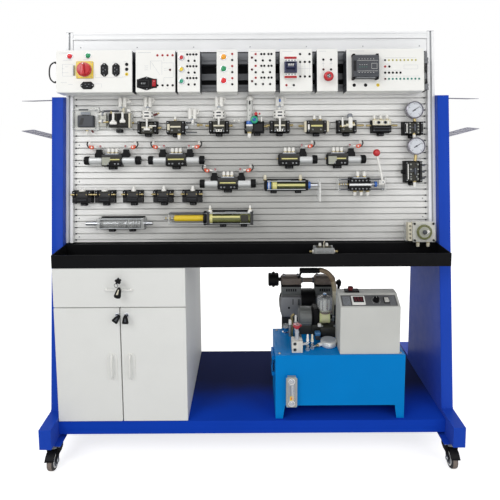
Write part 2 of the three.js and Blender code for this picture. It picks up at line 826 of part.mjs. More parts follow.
const greyBarrel = barrel(greyCylinder, [-1, 1], greyCylinder.rod);
add("double_rod_cylinder", greyBarrel.solid, "clearPlastic", leaning);
function greyRod() {
  const c = greyCylinder;
  return join(
    piston(c, (c.left + c.right) / 2, greyBarrel.middle, greyBarrel.bore),
    bar("x", [c.left - c.leftOut, c.right + c.rightOut], c.rod, [greyBarrel.middle, c.z], 12),
  );
}
add("double_cylinder_rod", greyRod(), "steel", leaning);

const yellowBarrel = barrel(yellowCylinder, [-1], yellowCylinder.rod);
function yellowCage() {
  const c = yellowCylinder;
  const plate = leverValve.plate;
  const cageLeft = c.left - c.cageOut;
  const opening = bar("x", [cageLeft - overrun, cageLeft + plate + overrun], c.noseRadius + runGap,
    [yellowBarrel.middle, c.z], 16);
  const endPlate = cut(block([cageLeft, cageLeft + plate], about(yellowBarrel.middle, c.radius),
      about(c.z, 2 * c.radius)), opening);
  const rods = [-1, 1].map((side) => bar("x", [cageLeft + overrun, c.left + overrun],
      leverValve.rodRadius,
    [yellowBarrel.middle, c.z + side * (c.radius - leverValve.rodRadius)], 8));
  return join(yellowBarrel.solid, endPlate, ...rods);
}
add("plunger_cylinder", yellowCage(), "clearPlastic", leaning);
function yellowPlunger() {
  const c = yellowCylinder;
  const start = c.left + cylinders.endLength + cylinders.pistonLength;
  const tip = c.left - c.rodOut;
  return join(
    piston(c, start, yellowBarrel.middle, yellowBarrel.bore),
    bar("x", [tip, start], c.rod, [yellowBarrel.middle, c.z], 16),
    bar("x", [tip - c.noseOut, tip + overrun], c.noseRadius, [yellowBarrel.middle, c.z], 12),
  );
}
add("cylinder_plunger", yellowPlunger(), "yellow", leaning);

function rotaryMotor() {
  const r = { ...rotary, z: rotary.upShare * boardTop };
  r.x = bottomLefts[bottomLefts.length - 1] + r.sideWidth + r.square / 2;
  const front = -r.back - r.depth;
  const plate = block(about(r.x, r.square), [front, -r.back], about(r.z, r.height));
  const side = block([r.x - r.square / 2 - r.sideWidth, r.x - r.square / 2 + overrun],
      [front + r.depth / 3, -r.back],
    about(r.z, r.height));
  const disc = bar("y", [front - r.discDepth, front + overrun], r.discRadius, [r.x, r.z], 20);
  const foot = block(about(r.x - r.square / 3, clip.width), [-r.back - overrun, -seatGap], about(r.z,
      clip.width));
  const ports = topFittings(r.x, r.z - r.height / 2 - fitting.height, 2, r.fittingPitch,
      -r.back - r.depth / 2);
  return join(plate, side, disc, foot, ...ports);
}
add("rotary_motor", rotaryMotor(), "clearPlastic", leaning);

// Modules hang on the cradle rails; each is an open-backed shell with its fittings on the face
const moduleFace = -panel.cradleDepth - seatGap - moduleSize.depth;
const moduleBack = -panel.cradleDepth - seatGap;
const moduleTop = panel.length - moduleSize.drop;
const moduleBottom = moduleTop - moduleSize.height;

// A module's left edge and width, as shares of the panel's whole width
function moduleSpan(leftShare, widthShare) {
  return { left: -panelHalf + leftShare * 2 * panelHalf, width: widthShare * 2 * panelHalf };
}

function shell(m) {
  const s = moduleSize;
  return cut(
    block([m.left, m.left + m.width], [moduleFace, moduleBack], [moduleBottom, moduleTop]),
    block([m.left + s.shellInset, m.left + m.width - s.shellInset],
      [moduleFace + s.plate, moduleBack + overrun],
      [moduleBottom + s.shellInset, moduleTop - s.shellInset]),
  );
}

// A place on a module's face, given as shares of its width and height from the lower left corner
function onFace(m, [acrossShare, upShare]) {
  return { x: m.left + acrossShare * m.width, z: moduleBottom + upShare * moduleSize.height };
}

function faceBlock(m, shares, width, height, rise) {
  const { x, z } = onFace(m, shares);
  return block(about(x, width), [moduleFace - rise, moduleFace + overrun], about(z, height));
}

function faceBar(m, shares, radius, rise, sides) {
  const { x, z } = onFace(m, shares);
  return bar("y", [moduleFace - rise, moduleFace + overrun], radius, [x, z], sides);
}

function jacks(m, acrossShares, upShares) {
  return acrossShares.flatMap((across) => upShares.map((up) => faceBar(m, [across, up], jack.radius,
    jack.height, jack.sides)));
}

function lamps(m, placeShares) {
  return placeShares.map((shares) => faceBar(m, shares, lamp.radius, lamp.height, lamp.sides));
}

function series(first, pitch, count) {
  return Array.from({ length: count }, (_, i) => first + i * pitch);
}

// Appliance socket: raised collar with a recess in it
const socket = { width: 30, height: 50, rise: 4, wall: 4, depth: 14 };

function socketCollar(m, shares, turnedFlat) {
  const { x, z } = onFace(m, shares);
  const width = turnedFlat ? socket.height : socket.width;
  const height = turnedFlat ? socket.width : socket.height;
  return block(about(x, width), [moduleFace - socket.rise, moduleFace + socket.depth + socket.wall],
    about(z, height));
}

function socketRecess(m, shares, turnedFlat) {
  const { x, z } = onFace(m, shares);
  const width = (turnedFlat ? socket.height : socket.width) - 2 * socket.wall;
  const height = (turnedFlat ? socket.width : socket.height) - 2 * socket.wall;
  return block(about(x, width), [moduleFace - socket.rise - overrun, moduleFace + socket.depth],
    about(z, height));
}

const power = {
  ...moduleSpan(-0.0029, 0.197),
  lampShares: [[0.153, 0.86], [0.393, 0.871]],
  knobShares: [0.38, 0.532],
  socketShares: [[0.61, 0.532], [0.763, 0.532]],
  flatSocketShares: [0.386, 0.164],
  jackAcrossShares: [0.909],
  jackUpShares: [0.427, 0.544, 0.661],
  plate: 69, plateRise: 6, knobRadius: 29, knobHeight: 20, gripWidth: 12, gripHeight: 12, shaftLength: 4,
};

function powerModule() {
  const p = power;
  const raised = join(
    shell(p),
    faceBlock(p, p.knobShares, p.plate, p.plate, p.plateRise),
    ...lamps(p, p.lampShares),
    ...jacks(p, p.jackAcrossShares, p.jackUpShares),
    ...p.socketShares.map((shares) => socketCollar(p, shares, false)),
    socketCollar(p, p.flatSocketShares, true),
  );
  return cut(raised,
    ...p.socketShares.map((shares) => socketRecess(p, shares, false)),
    socketRecess(p, p.flatSocketShares, true));
}
add("power_module", powerModule(), "moduleWhite", leaning);

function mainSwitchKnob() {
  const p = power;
  const back = moduleFace - p.plateRise - seatGap;
  const front = back - p.knobHeight;
  const { x, z } = onFace(p, p.knobShares);
  const body = turned("y", [
    [0, front],
    [p.knobRadius - p.shaftLength, front],
    [p.knobRadius, front + p.shaftLength],
    [p.knobRadius, back],
    [0, back],
  ], [x, z], 20);
  const grip = block(about(x, p.gripWidth), [front - p.gripHeight, front + overrun], about(z,
    2 * p.knobRadius - p.gripWidth));
  return join(body, grip);
}
add("main_switch_knob", mainSwitchKnob(), "red", leaning);

const supply = {
  ...moduleSpan(0.2031, 0.1024),
  columnShares: series(0.519, 0.1275, 4),
  rowShares: [0.158, 0.871],
  inletShares: [0.194, 0.205],
  looseShares: [0.838, 0.526],
  rockerShares: [0.469, 0.205],
  rockerWidth: 15, rockerHeight: 30, rockerGap: 0.5, rockerRise: 4, rockerDepth: 9, frameRim: 3,
  frameRise: 2, rockerTilt: 10,
};

function supplyModule() {
  const s = supply;
  const rim = 2 * (s.frameRim + s.rockerGap);
  const raised = join(
    shell(s),
    ...jacks(s, s.columnShares, s.rowShares),
    faceBar(s, s.looseShares, jack.radius, jack.height, jack.sides),
    socketCollar(s, s.inletShares, true),
    faceBlock(s, s.rockerShares, s.rockerWidth + rim, s.rockerHeight + rim, s.frameRise),
  );
  const { x, z } = onFace(s, s.rockerShares);
  const well = block(
    about(x, s.rockerWidth + 2 * s.rockerGap),
    [moduleFace - s.frameRise - overrun, moduleFace + moduleSize.plate + overrun],
    about(z, s.rockerHeight + 2 * s.rockerGap),
  );
  return cut(raised, socketRecess(s, s.inletShares, true), well);
}
add("supply_module", supplyModule(), "moduleWhite", leaning);

// Rocker with its tipping corners rounded off inside the well
function supplyRocker() {
  const s = supply;
  const half = s.rockerHeight / 2;
  const front = moduleFace - s.frameRise - s.rockerRise;
  const deep = front + s.rockerDepth;
  const { x, z } = onFace(s, s.rockerShares);
  const outline = [
    [deep, z - half / 2],
    [deep, z + half / 2],
    [front + s.rockerRise, z + half - s.rockerGap],
    [front, z + half - s.frameRim],
    [front + s.frameRise, z],
    [front, z - half + s.frameRim],
    [front + s.rockerRise, z - half + s.rockerGap],
  ];
  return extrude("x", outline, about(x, s.rockerWidth))
    .translate([0, -moduleFace, -z])
    .rotate([-s.rockerTilt, 0, 0])
    .translate([0, moduleFace, z]);
}
add("supply_rocker", supplyRocker(), "red", leaning);

const buttons = {
  ...moduleSpan(0.3113, 0.0582),
  acrossShare: 0.187,
  upShares: [0.813, 0.532, 0.251],
  colours: ["red", "yellow", "green"],
  columnShares: [0.44, 0.571, 0.714, 0.846],
  rowShares: [0.327, 0.608, 0.889],
  lowColumnShares: [0.495, 0.769],
  lowRowShares: [0.175, 0.456, 0.737],
  bezel: 11, bezelRise: 6, cap: 8, capGap: 0.5, travel: 4, capHeight: 6,
};

function buttonModule() {
  const b = buttons;
  const raised = join(
    shell(b),
    ...b.upShares.map((up) => faceBar(b, [b.acrossShare, up], b.bezel, b.bezelRise, 16)),
    ...jacks(b, b.columnShares, b.rowShares),
    ...jacks(b, b.lowColumnShares, b.lowRowShares),
  );
  return cut(raised, ...b.upShares.map((up) => {
    const { x, z } = onFace(b, [b.acrossShare, up]);
    return bar("y", [moduleFace - b.bezelRise - overrun, moduleFace], b.cap + b.capGap, [x, z], 16);
  }));
}
add("button_module", buttonModule(), "moduleWhite", leaning);
buttons.upShares.forEach((up, i) => {
  const b = buttons;
  const back = moduleFace - b.travel - b.capGap;
  const { x, z } = onFace(b, [b.acrossShare, up]);
  add(`${b.colours[i]}_push_button`, bar("y", [back - b.capHeight, back], b.cap, [x, z], 16),
    b.colours[i], leaning);
});

const lampSet = {
  ...moduleSpan(0.413, 0.0544),
  lampShares: [[0.306, 0.263], [0.306, 0.544], [0.306, 0.825]],
  jackAcrossShares: [0.741],
  jackUpShares: series(0.1754, 0.1439, 6),
};
function lampModule() {
  const l = lampSet;
  return join(shell(l), ...lamps(l, l.lampShares), ...jacks(l, l.jackAcrossShares, l.jackUpShares));
}
add("lamp_module", lampModule(), "moduleWhite", leaning);

const relay = {
  ...moduleSpan(0.4949, 0.0704),
  columnShares: [0.482, 0.591, 0.745, 0.855],
  coilShares: [0.136, 0.273],
  rowShares: series(0.175, 0.281, 3),
  betweenShares: [0.536, 0.8],
  betweenRowShares: series(0.316, 0.281, 2),
};
function relayModule() {
  const r = relay;
  return join(shell(r), ...jacks(r, r.columnShares, r.rowShares), ...jacks(r, r.coilShares, r.rowShares),
    ...jacks(r, r.betweenShares, r.betweenRowShares));
}
add("relay_module", relayModule(), "moduleWhite", leaning);

const breaker = {
  ...moduleSpan(0.5768, 0.0838),
  bodyShares: [0.313, 0.538],
  columnShares: [0.626, 0.771, 0.916],
  rowShares: [0.363, 0.713],
  topColumnShares: [0.626, 0.916],
  topRowShares: [0.906],
  lowColumnShares: [0.198, 0.427],
  lowRowShares: [0.164],
  bodyWidth: 50, bodyHeight: 88, bodyRise: 26, noseHeight: 44, noseRise: 12, leverWidth: 34,
  leverRadius: 6, leverReach: 16, leverThickness: 5, leverRaise: 30, slotDepth: 10, slotHeight: 34,
  gap: 0.5,
};
function breakerModule() {
  const b = breaker;
  const noseFront = moduleFace - b.bodyRise - b.noseRise;
  const raised = join(
    shell(b),
    faceBlock(b, b.bodyShares, b.bodyWidth, b.bodyHeight, b.bodyRise),
    faceBlock(b, b.bodyShares, b.bodyWidth, b.noseHeight, b.bodyRise + b.noseRise),
    ...jacks(b, b.columnShares, b.rowShares),
    ...jacks(b, b.topColumnShares, b.topRowShares),
    ...jacks(b, b.lowColumnShares, b.lowRowShares),
  );
  const { x, z } = onFace(b, b.bodyShares);
  const pocket = block(about(x, b.leverWidth + 2 * b.gap), [noseFront - overrun,
    noseFront + b.slotDepth], about(z, b.slotHeight));
  return cut(raised, pocket);
}
add("breaker_module", breakerModule(), "moduleWhite", leaning);

// Linked toggle bar of the breaker, shown raised
function breakerLever() {
  const b = breaker;
  const y = moduleFace - b.bodyRise - b.noseRise;
  const { x, z } = onFace(b, b.bodyShares);
  const span = about(x, b.leverWidth);
  const drum = bar("x", span, b.leverRadius, [y, z], 16);
  const toggle = block(span, [y - b.leverReach, y], about(z, b.leverThickness)).translate([0, -y, -z])
    .rotate([-b.leverRaise, 0, 0]).translate([0, y, z]);
  return join(drum, toggle);
}
add("breaker_lever", breakerLever(), "moduleWhite", leaning);

const stop = {
  ...moduleSpan(0.6727, 0.0537),
  columnShares: [0.31, 0.679],
  rowShares: [0.532, 0.772],
  headShares: [0.524, 0.333],
  collar: 14, collarRise: 8, stem: 9, stemGap: 0.5, travel: 5, headRadius: 20, headHeight: 16,
  headRound: 5,
};
function stopModule() {
  const s = stop;
  const { x, z } = onFace(s, s.headShares);
  const raised = join(shell(s), ...jacks(s, s.columnShares, s.rowShares),
    faceBar(s, s.headShares, s.collar, s.collarRise, 20));
  return cut(raised, bar("y", [moduleFace - s.collarRise - overrun, moduleFace], s.stem + s.stemGap,
    [x, z], 20));
}
add("stop_module", stopModule(), "moduleWhite", leaning);
function stopButton() {
  const s = stop;
  const { x, z } = onFace(s, s.headShares);
  const headBack = moduleFace - s.collarRise - s.travel - s.stemGap;
  const headFront = headBack - s.headHeight;
  return turned("y", [
    [0, headFront],
    [s.headRadius - s.headRound, headFront],
    [s.headRadius, headFront + s.headRound],
    [s.headRadius, headBack],
    [s.stem, headBack],
    [s.stem, moduleFace - s.travel - s.stemGap],
    [0, moduleFace - s.travel - s.stemGap],
  ], [x, z], 20);
}
add("stop_button", stopButton(), "red", leaning);

const controller = {
  ...moduleSpan(0.7495, 0.2009),
  bodyShares: [0.248, 0.585],
  columnShares: series(0.506, 0.0494, 9),
  rowShares: [0.76],
  pairColumnShares: [0.506, 0.564],
  pairRowShares: [0.608],
  fiveColumnShares: series(0.506, 0.0494, 5),
  fiveRowShares: [0.462],
  tenColumnShares: series(0.481, 0.0494, 10),
  tenRowShares: [0.316],
  lowColumnShares: [0.102, 0.248, 0.408],
  lowRowShares: [0.158],
  bodyWidth: 109, bodyHeight: 108, bodyRise: 42,
};
function controllerModule() {
  const c = controller;
  return join(
    shell(c),
    faceBlock(c, c.bodyShares, c.bodyWidth, c.bodyHeight, c.bodyRise),
    ...jacks(c, c.columnShares, c.rowShares),
    ...jacks(c, c.pairColumnShares, c.pairRowShares),
    ...jacks(c, c.fiveColumnShares, c.fiveRowShares),
    ...jacks(c, c.tenColumnShares, c.tenRowShares),
    ...jacks(c, c.lowColumnShares, c.lowRowShares),
  );
}
add("controller_module", controllerModule(), "moduleWhite", leaning);

// Lead clipped between two terminals on the left side of the power module
const lead = { radius: 3, reach: 36, end: 6, upperShare: 0.73, lowerShare: 0.27, depthShare: 0.25,
    sides: 8, steps: 16 };
function sideLead() {
  const m = moduleSize;
  const x = power.left - seatGap;
  const y = moduleFace + m.depth * lead.depthShare;
  const top = moduleBottom + m.height * lead.upperShare;
  const low = moduleBottom + m.height * lead.lowerShare;
  return tube([
    [x, y, top],
    [x - lead.end, y, top],
    [x - lead.reach + lead.end, y, top - lead.end],
    [x - lead.reach, y, (top + low) / 2],
    [x - lead.reach + lead.end, y, low + lead.end],
    [x - lead.end, y, low],
    [x, y, low],
  ], lead.radius, lead.sides, lead.steps, lead.tension);
}
add("side_lead", sideLead(), "blackPlastic", leaning);

// Lead racks on the outer faces of the columns: a plain plate above a slotted one
const rack = {
  upperReach: 128, lowerReach: 136, depth: 120, setback: 6, thickness: 2, flange: 2, upperDrop: 13,
  lowerDrop: 177, upperTilt: -1.5, lowerTilt: 14.5, slots: 5, slotPitch: 22, slotWidth: 11,
  firstSlot: 30, slotMargin: 17,
};
const rackFront = columnFrontAt(columnTop) + rack.setback;
const rackUpper = columnTop - rack.upperDrop;
const rackLower = columnTop - rack.lowerDrop;

function rackPlate(z, reach, tiltDegrees) {
  const r = rack;
  const rise = reach * Math.tan(THREE.MathUtils.degToRad(tiltDegrees));
  const x0 = outer + seatGap;
  const outline = [[x0, z], [x0 + reach, z + rise], [x0 + reach, z + rise + r.thickness], [x0,
      z + r.thickness]];
  return extrude("y", outline, [rackFront, rackFront + r.depth]);
}

function leadRack() {
  const r = rack;
  const x0 = outer + seatGap;
  const flange = block([x0, x0 + r.flange], [rackFront, rackFront + r.depth], [rackLower,
    rackUpper + r.thickness]);
  const slots = series(r.firstSlot, r.slotPitch, r.slots).map((along) => block(
    about(x0 + along, r.slotWidth),
    [rackFront + r.slotMargin, rackFront + r.depth - r.slotMargin],
    [rackLower - overrun, rackLower + r.depth / 2],
  ));
  const lower = cut(rackPlate(rackLower, r.lowerReach, r.lowerTilt), ...slots);
  return join(rackPlate(rackUpper, r.upperReach, r.upperTilt), lower, flange);
}
add("right_lead_rack", leadRack(), "steel");
add("left_lead_rack", mirrored(leadRack()), "steel");

// Casters: swivelling hooded fork and a wheel on its axle
function casterFork(front) {
  const c = caster;
  const top = castTop - seatGap;
  const head = bar("z", [top - c.headHeight, top], c.headRadius, [0, 0], 20);
  const cheekInner = c.wheelWidth / 2 + c.cheekGap;
  const cheekOuter = cheekInner + c.cheek;
  const axleZ = c.wheelRadius;
  const reach = front ? -1 : 1;
  const axleY = reach * c.trail;
  const crownLow = top - c.headHeight - c.crownHeight / 2;
  const crown = block([-cheekOuter, cheekOuter], about(axleY / 2, c.hoodDepth), [crownLow,
      top - c.headHeight + overrun]);
  const cheeks = [-1, 1].map((side) => extrude("x", [
    [axleY / 2 - c.hoodDepth / 2, crownLow + overrun],
    [axleY - c.cheekWidth / 3, axleZ - c.axleRadius * 2],
    [axleY + c.cheekWidth / 3, axleZ - c.axleRadius * 2],
    [axleY / 2 + c.hoodDepth / 2, crownLow + overrun],
  ], side < 0 ? [-cheekOuter, -cheekInner] : [cheekInner, cheekOuter]));
  const axle = bar("x", [-cheekOuter, cheekOuter], c.axleRadius, [axleY, axleZ], 16);
  const pedalRoot = axleY / 2 + (reach * c.hoodDepth) / 2;
  const pedal = extrude("x", [
    [pedalRoot - reach * c.pedalThickness, crownLow + c.pedalThickness],
    [pedalRoot + reach * c.pedalReach, crownLow - c.pedalDrop],
    [pedalRoot + reach * c.pedalReach, crownLow - c.pedalDrop + c.pedalThickness],
    [pedalRoot, crownLow + c.pedalThickness * 2],
  ], [-cheekInner, cheekInner]);
  return join(head, crown, ...cheeks, axle, pedal);
}

function casterWheel(front) {
  const c = caster;
  const half = c.wheelWidth / 2;
  const bore = c.axleRadius + runGap;
  const axleY = (front ? -1 : 1) * c.trail;
  return turned("x", [
    [bore, -half - c.cheekGap + seatGap],
    [c.hubRadius, -half - c.cheekGap + seatGap],
    [c.hubRadius, -half],
    [c.wheelRadius - c.treadRound, -half],
    [c.wheelRadius, -half + c.treadRound],
    [c.wheelRadius, half - c.treadRound],
    [c.wheelRadius - c.treadRound, half],
    [c.hubRadius, half],
    [c.hubRadius, half + c.cheekGap - seatGap],
    [bore, half + c.cheekGap - seatGap],
    [bore, -half - c.cheekGap + seatGap],
  ], [axleY, c.wheelRadius], 20);
}

for (const [name, sideX, sideY] of [["front_left", -1, -1], ["front_right", 1, -1], ["rear_left", -1, 1],
    ["rear_right", 1, 1]]) {
  const corner = new THREE.Group();
  corner.position.set(sideX * castX, sideY * castY, 0);
  bench.add(corner);
  add(`${name}_caster_fork`, casterFork(sideY < 0), "blackPlastic", corner);
  add(`${name}_caster_wheel`, casterWheel(sideY < 0), "darkGrey", corner);
}

// Cabinet between the shelf and the tray
const cabinetLeft = -inner + cabinet.sideGap;
const cabinetRight = cabinetLeft + cabinet.width;
const cabinetBottom = shelfTop + seatGap;
const cabinetTop = trayBottom - cabinet.topGap;
const cabinetFront = shelfFront;
const carcassFront = cabinetFront + cabinet.frontThickness + seatGap;
const cabinetBack = shelfBack - tray.sheet;
const drawerFloor = cabinetTop - cabinet.drawerHeight;

function cabinetCarcass() {
  const c = cabinet;
  const t = c.sheet;
  const body = block([cabinetLeft, cabinetRight], [carcassFront, cabinetBack], [cabinetBottom, cabinetTop]);
  const upper = block([cabinetLeft + t, cabinetRight - t], [carcassFront - overrun, cabinetBack - t],
    [drawerFloor + t, cabinetTop - t]);
  const lower = block([cabinetLeft + t, cabinetRight - t], [carcassFront - overrun, cabinetBack - t],
    [cabinetBottom + t, drawerFloor]);
  const runners = [-1, 1].map((side) => block(
    side < 0 ? [cabinetLeft + t / 2,
        cabinetLeft + c.drawerSideGap - runGap] : [cabinetRight - c.drawerSideGap + runGap,
        cabinetRight - t / 2],
    [carcassFront, cabinetBack - t / 2],
    [drawerFloor + c.drawerDrop, drawerFloor + c.drawerDrop + c.runnerHeight],
  ));
  const shelfBoard = block([cabinetLeft + t / 2, cabinetRight - t / 2], [carcassFront + c.frontThickness,
      cabinetBack - t / 2],
    [cabinetBottom + c.shelfRise, cabinetBottom + c.shelfRise + t]);
  return join(cut(body, upper, lower), ...runners, shelfBoard);
}
add("cabinet_carcass", cabinetCarcass(), "cabinetGrey");

function drawer() {
  const c = cabinet;
  const t = c.drawerSheet;
  const front = block([cabinetLeft, cabinetRight], [cabinetFront, cabinetFront + c.frontThickness],
    [drawerFloor + c.revealGap / 2, cabinetTop]);
  const low = drawerFloor + c.drawerDrop / 2;
  const high = cabinetTop - c.drawerDrop;
  const left = cabinetLeft + c.drawerSideGap;
  const right = cabinetRight - c.drawerSideGap;
  const back = cabinetFront + c.drawerDepth;
  const tub = cut(
    block([left, right], [cabinetFront + c.frontThickness - overrun, back], [low, high]),
    block([left + t, right - t], [cabinetFront + c.frontThickness, back - t], [low + t, high + overrun]),
  );
  const x = (cabinetLeft + cabinetRight) / 2;
  const handleZ = drawerFloor + c.drawerHeight / 2 + c.handleRise;
  const grip = block(about(x, c.handleWidth), [cabinetFront - c.handleStandOff,
      cabinetFront - c.handleStandOff + c.handleBar],
    about(handleZ, c.handleBar));
  const posts = [-1, 1].map((side) => block(about(x + (side * (c.handleWidth - c.handleBar)) / 2,
      c.handleBar),
    [cabinetFront - c.handleStandOff, cabinetFront + overrun], about(handleZ, c.handleBar)));
  return join(front, tub, grip, ...posts);
}
add("cabinet_drawer", drawer(), "cabinetGrey");

// Doors with an arched pull and a lock barrel near the middle
function door(side) {
  const c = cabinet;
  const middle = (cabinetLeft + cabinetRight) / 2;
  const gap = c.revealGap / 2;
  const span = side < 0 ? [cabinetLeft, middle - gap] : [middle + gap, cabinetRight];
  const leaf = block(span, [cabinetFront, cabinetFront + c.frontThickness], [cabinetBottom + gap,
      drawerFloor - gap]);
  const low = cabinetBottom + c.doorHandleRise;
  const inset = side < 0 ? span[1] - c.doorHandleInset : span[0] + c.doorHandleInset;
  const away = side < 0 ? -1 : 1;
  const arch = [];
  const steps = 8;
  for (let i = 0; i <= steps; i += 1) {
    const angle = (i / steps) * Math.PI;
    arch.push([inset + away * Math.sin(angle) * c.doorHandleWidth,
        low + (c.doorHandleHeight / 2) * (1 - Math.cos(angle))]);
  }
  const thin = c.handleBar / c.doorHandleWidth;
  const innerArch = arch.map(([u, v]) => [u - (u - inset) * thin * 2,
      v + (low + c.doorHandleHeight / 2 - v) * thin]).reverse();
  const outline = [...arch, ...innerArch];
  const pull = extrude("y", side < 0 ? outline.reverse() : outline, [cabinetFront - c.handleStandOff,
    cabinetFront - c.handleStandOff + c.handleBar]);
  const studs = [low + c.handleBar, low + c.doorHandleHeight - c.handleBar].map((z) => block(
    about(inset + away * c.handleBar, c.handleBar), [cabinetFront - c.handleStandOff + overrun,
        cabinetFront + overrun],
    about(z, c.handleBar)));
  const barrelX = side < 0 ? span[1] - c.drawerSideGap : span[0] + c.drawerSideGap;
  const lock = bar("y", [cabinetFront - c.lockDepth, cabinetFront + overrun], c.lockRadius,
    [barrelX, drawerFloor - c.lockDrop], 12);
  return join(leaf, pull, ...studs, lock);
}
add("left_door", door(-1), "cabinetGrey");
add("right_door", door(1), "cabinetGrey");

// Key in the drawer lock, with the spare hanging from it in front of the handle
const key = {
  barrelRadius: 7, barrelDepth: 6, bladeWidth: 3, bladeHeight: 7, bladeReach: 18, bowDepth: 14,
      bowHeight: 20,
  spareWidth: 18, spareThickness: 5, spareDrop: 24, spareHeight: 36,
};
function drawerKey() {
  const x = (cabinetLeft + cabinetRight) / 2;
  const z = cabinetTop - cabinet.lockDrop;
  const back = cabinetFront - seatGap;
  const bowBack = back - key.barrelDepth - key.bladeReach;
  const spareTop = z - key.spareDrop;
  return join(
    bar("y", [back - key.barrelDepth, back], key.barrelRadius, [x, z], 12),
    block(about(x, key.bladeWidth), [bowBack, back - key.barrelDepth + overrun], about(z, key.bladeHeight)),
    block(about(x, key.bladeWidth), [bowBack - key.bowDepth, bowBack + overrun], about(z, key.bowHeight)),
    block(about(x, key.bladeWidth), [bowBack - key.spareThickness, bowBack], [spareTop - overrun, z]),
    block(about(x, key.spareWidth), [bowBack - key.spareThickness, bowBack], [spareTop - key.spareHeight,
        spareTop]),
  );
}
add("drawer_key", drawerKey(), "steel");

// Oil tank with its level gauge
const tankRight = tank.left + tank.width;
const tankFront = footFront + tank.setback;
const tankBack = tankFront + tank.depth;
const tankTop = shelfTop + tank.top;
const tankLow = shelfTop + tank.footHeight;
const filler = { radius: 14, fromRight: 56, fromBack: 40 };

function oilTank() {
  const t = tank;
  const low = shelfTop + seatGap;
  const body = block([t.left, tankRight], [tankFront, tankBack], [tankLow, tankTop]);
  const hollow = block([t.left + t.sheet, tankRight - t.sheet], [tankFront + t.sheet, tankBack - t.sheet],
    [tankLow + t.sheet, tankTop - t.sheet]);
  const mouth = bar("z", [tankTop - t.sheet - overrun, tankTop + overrun], filler.radius,
    [tankRight - filler.fromRight, tankBack - filler.fromBack], 12);
  const skirts = [t.left, tankRight - t.sheet].map((x) => block([x, x + t.sheet], [tankFront, tankBack],
      [low, tankLow + overrun]));
  const feet = [tankFront, tankBack - t.sheet].flatMap((y) => [-1, 1].map((side) => {
    const edge = side < 0 ? t.left : tankRight;
    const outline = [
      [edge, low],
      [edge - side * t.footBottomWidth, low],
      [edge - side * t.footTopWidth, tankLow + overrun],
      [edge, tankLow + overrun],
    ];
    return extrude("y", side < 0 ? outline : outline.reverse(), [y, y + t.sheet]);
  }));
  const gaugeLeft = t.left + t.gaugeFromLeft;
  const gauge = block([gaugeLeft, gaugeLeft + t.gaugeWidth], [tankFront - t.gaugeDepth,
      tankFront + overrun],
    [tankLow + t.gaugeAboveFoot, tankLow + t.gaugeAboveFoot + t.gaugeHeight]);
  return join(cut(body, hollow, mouth), ...skirts, ...feet, gauge);
}
add("oil_tank", oilTank(), "tankBlue");

// Control box with a sloping, slightly sunk operating face, open underneath
const boxFront = tankFront + box.frontInset;
const boxBase = tankTop + seatGap;
const boxLeft = tank.left + box.fromLeft;
const boxRise = box.backHeight - box.height;
const slope = Math.atan2(boxRise, box.slopeDepth);

function controlBox() {
  const b = box;
  const right = boxLeft + b.width;
  const top = boxBase + b.backHeight;
  const side = [
    [boxFront, boxBase],
    [boxFront + b.depth, boxBase],
    [boxFront + b.depth, top],
    [boxFront + b.slopeDepth, top],
    [boxFront, boxBase + b.height],
  ];
  const body = extrude("x", side, [boxLeft, right]);
  const hollow = extrude("x", [
    [boxFront + b.wall, boxBase - overrun],
    [boxFront + b.depth - b.wall, boxBase - overrun],
    [boxFront + b.depth - b.wall, top - b.wall - b.panelSink],
    [boxFront + b.slopeDepth, top - b.wall * 2 - b.panelSink],
    [boxFront + b.wall, boxBase + b.height - b.wall * 2 - b.panelSink],
  ], [boxLeft + b.wall, right - b.wall]);
  const sunk = block([boxLeft + b.panelInset, right - b.panelInset],
    [b.panelInset, b.slopeDepth / Math.cos(slope) - b.panelInset], [-b.panelSink, b.panelSink])
    .rotate([THREE.MathUtils.radToDeg(slope), 0, 0])
    .translate([0, boxFront, boxBase + b.height]);
  return cut(body, hollow, sunk);
}
add("control_box", controlBox(), "boxGrey");

function speedKnob() {
  const b = box;
  const along = (b.slopeDepth / Math.cos(slope)) / 2;
  const low = -b.panelSink + seatGap;
  return bar("z", [low, low + b.knobHeight], b.knobRadius, [0, 0], 16)
    .translate([boxLeft + b.width * b.knobAlongShare, along, 0])
    .rotate([THREE.MathUtils.radToDeg(slope), 0, 0])
    .translate([0, boxFront, boxBase + b.height]);
}
add("speed_knob", speedKnob(), "blackPlastic");

// Air compressor behind the oil tank: receiver, twin heads, intake filter and carrying handle
const compressor = {
  behindTank: 143, receiverInset: 9, receiverLength: 320, receiverRadius: 100, receiverRise: 20,
  receiverWall: 3, domeLength: 24, domeShare: 0.7, footWidth: 30, footDepth: 120, footHeight: 40,
  motorInset: 46, motorLength: 165, motorRise: 336, motorRadius: 50, headInset: 39, headWidth: 100,
  headGap: 54, headDepth: 112, capHeight: 60, headRise: 456, crankRise: 273, crankTaper: 14,
  legRise: 214, legWidth: 24, pipeDrop: 31, pipeRadius: 10, filterOut: 54, filterRadius: 32,
  filterDrop: 22, filterWidth: 48, handleBehind: 38, handleRadius: 12.5, handleInset: 82,
  handleLength: 89, handleUp: 57, handleOut: 18,
};

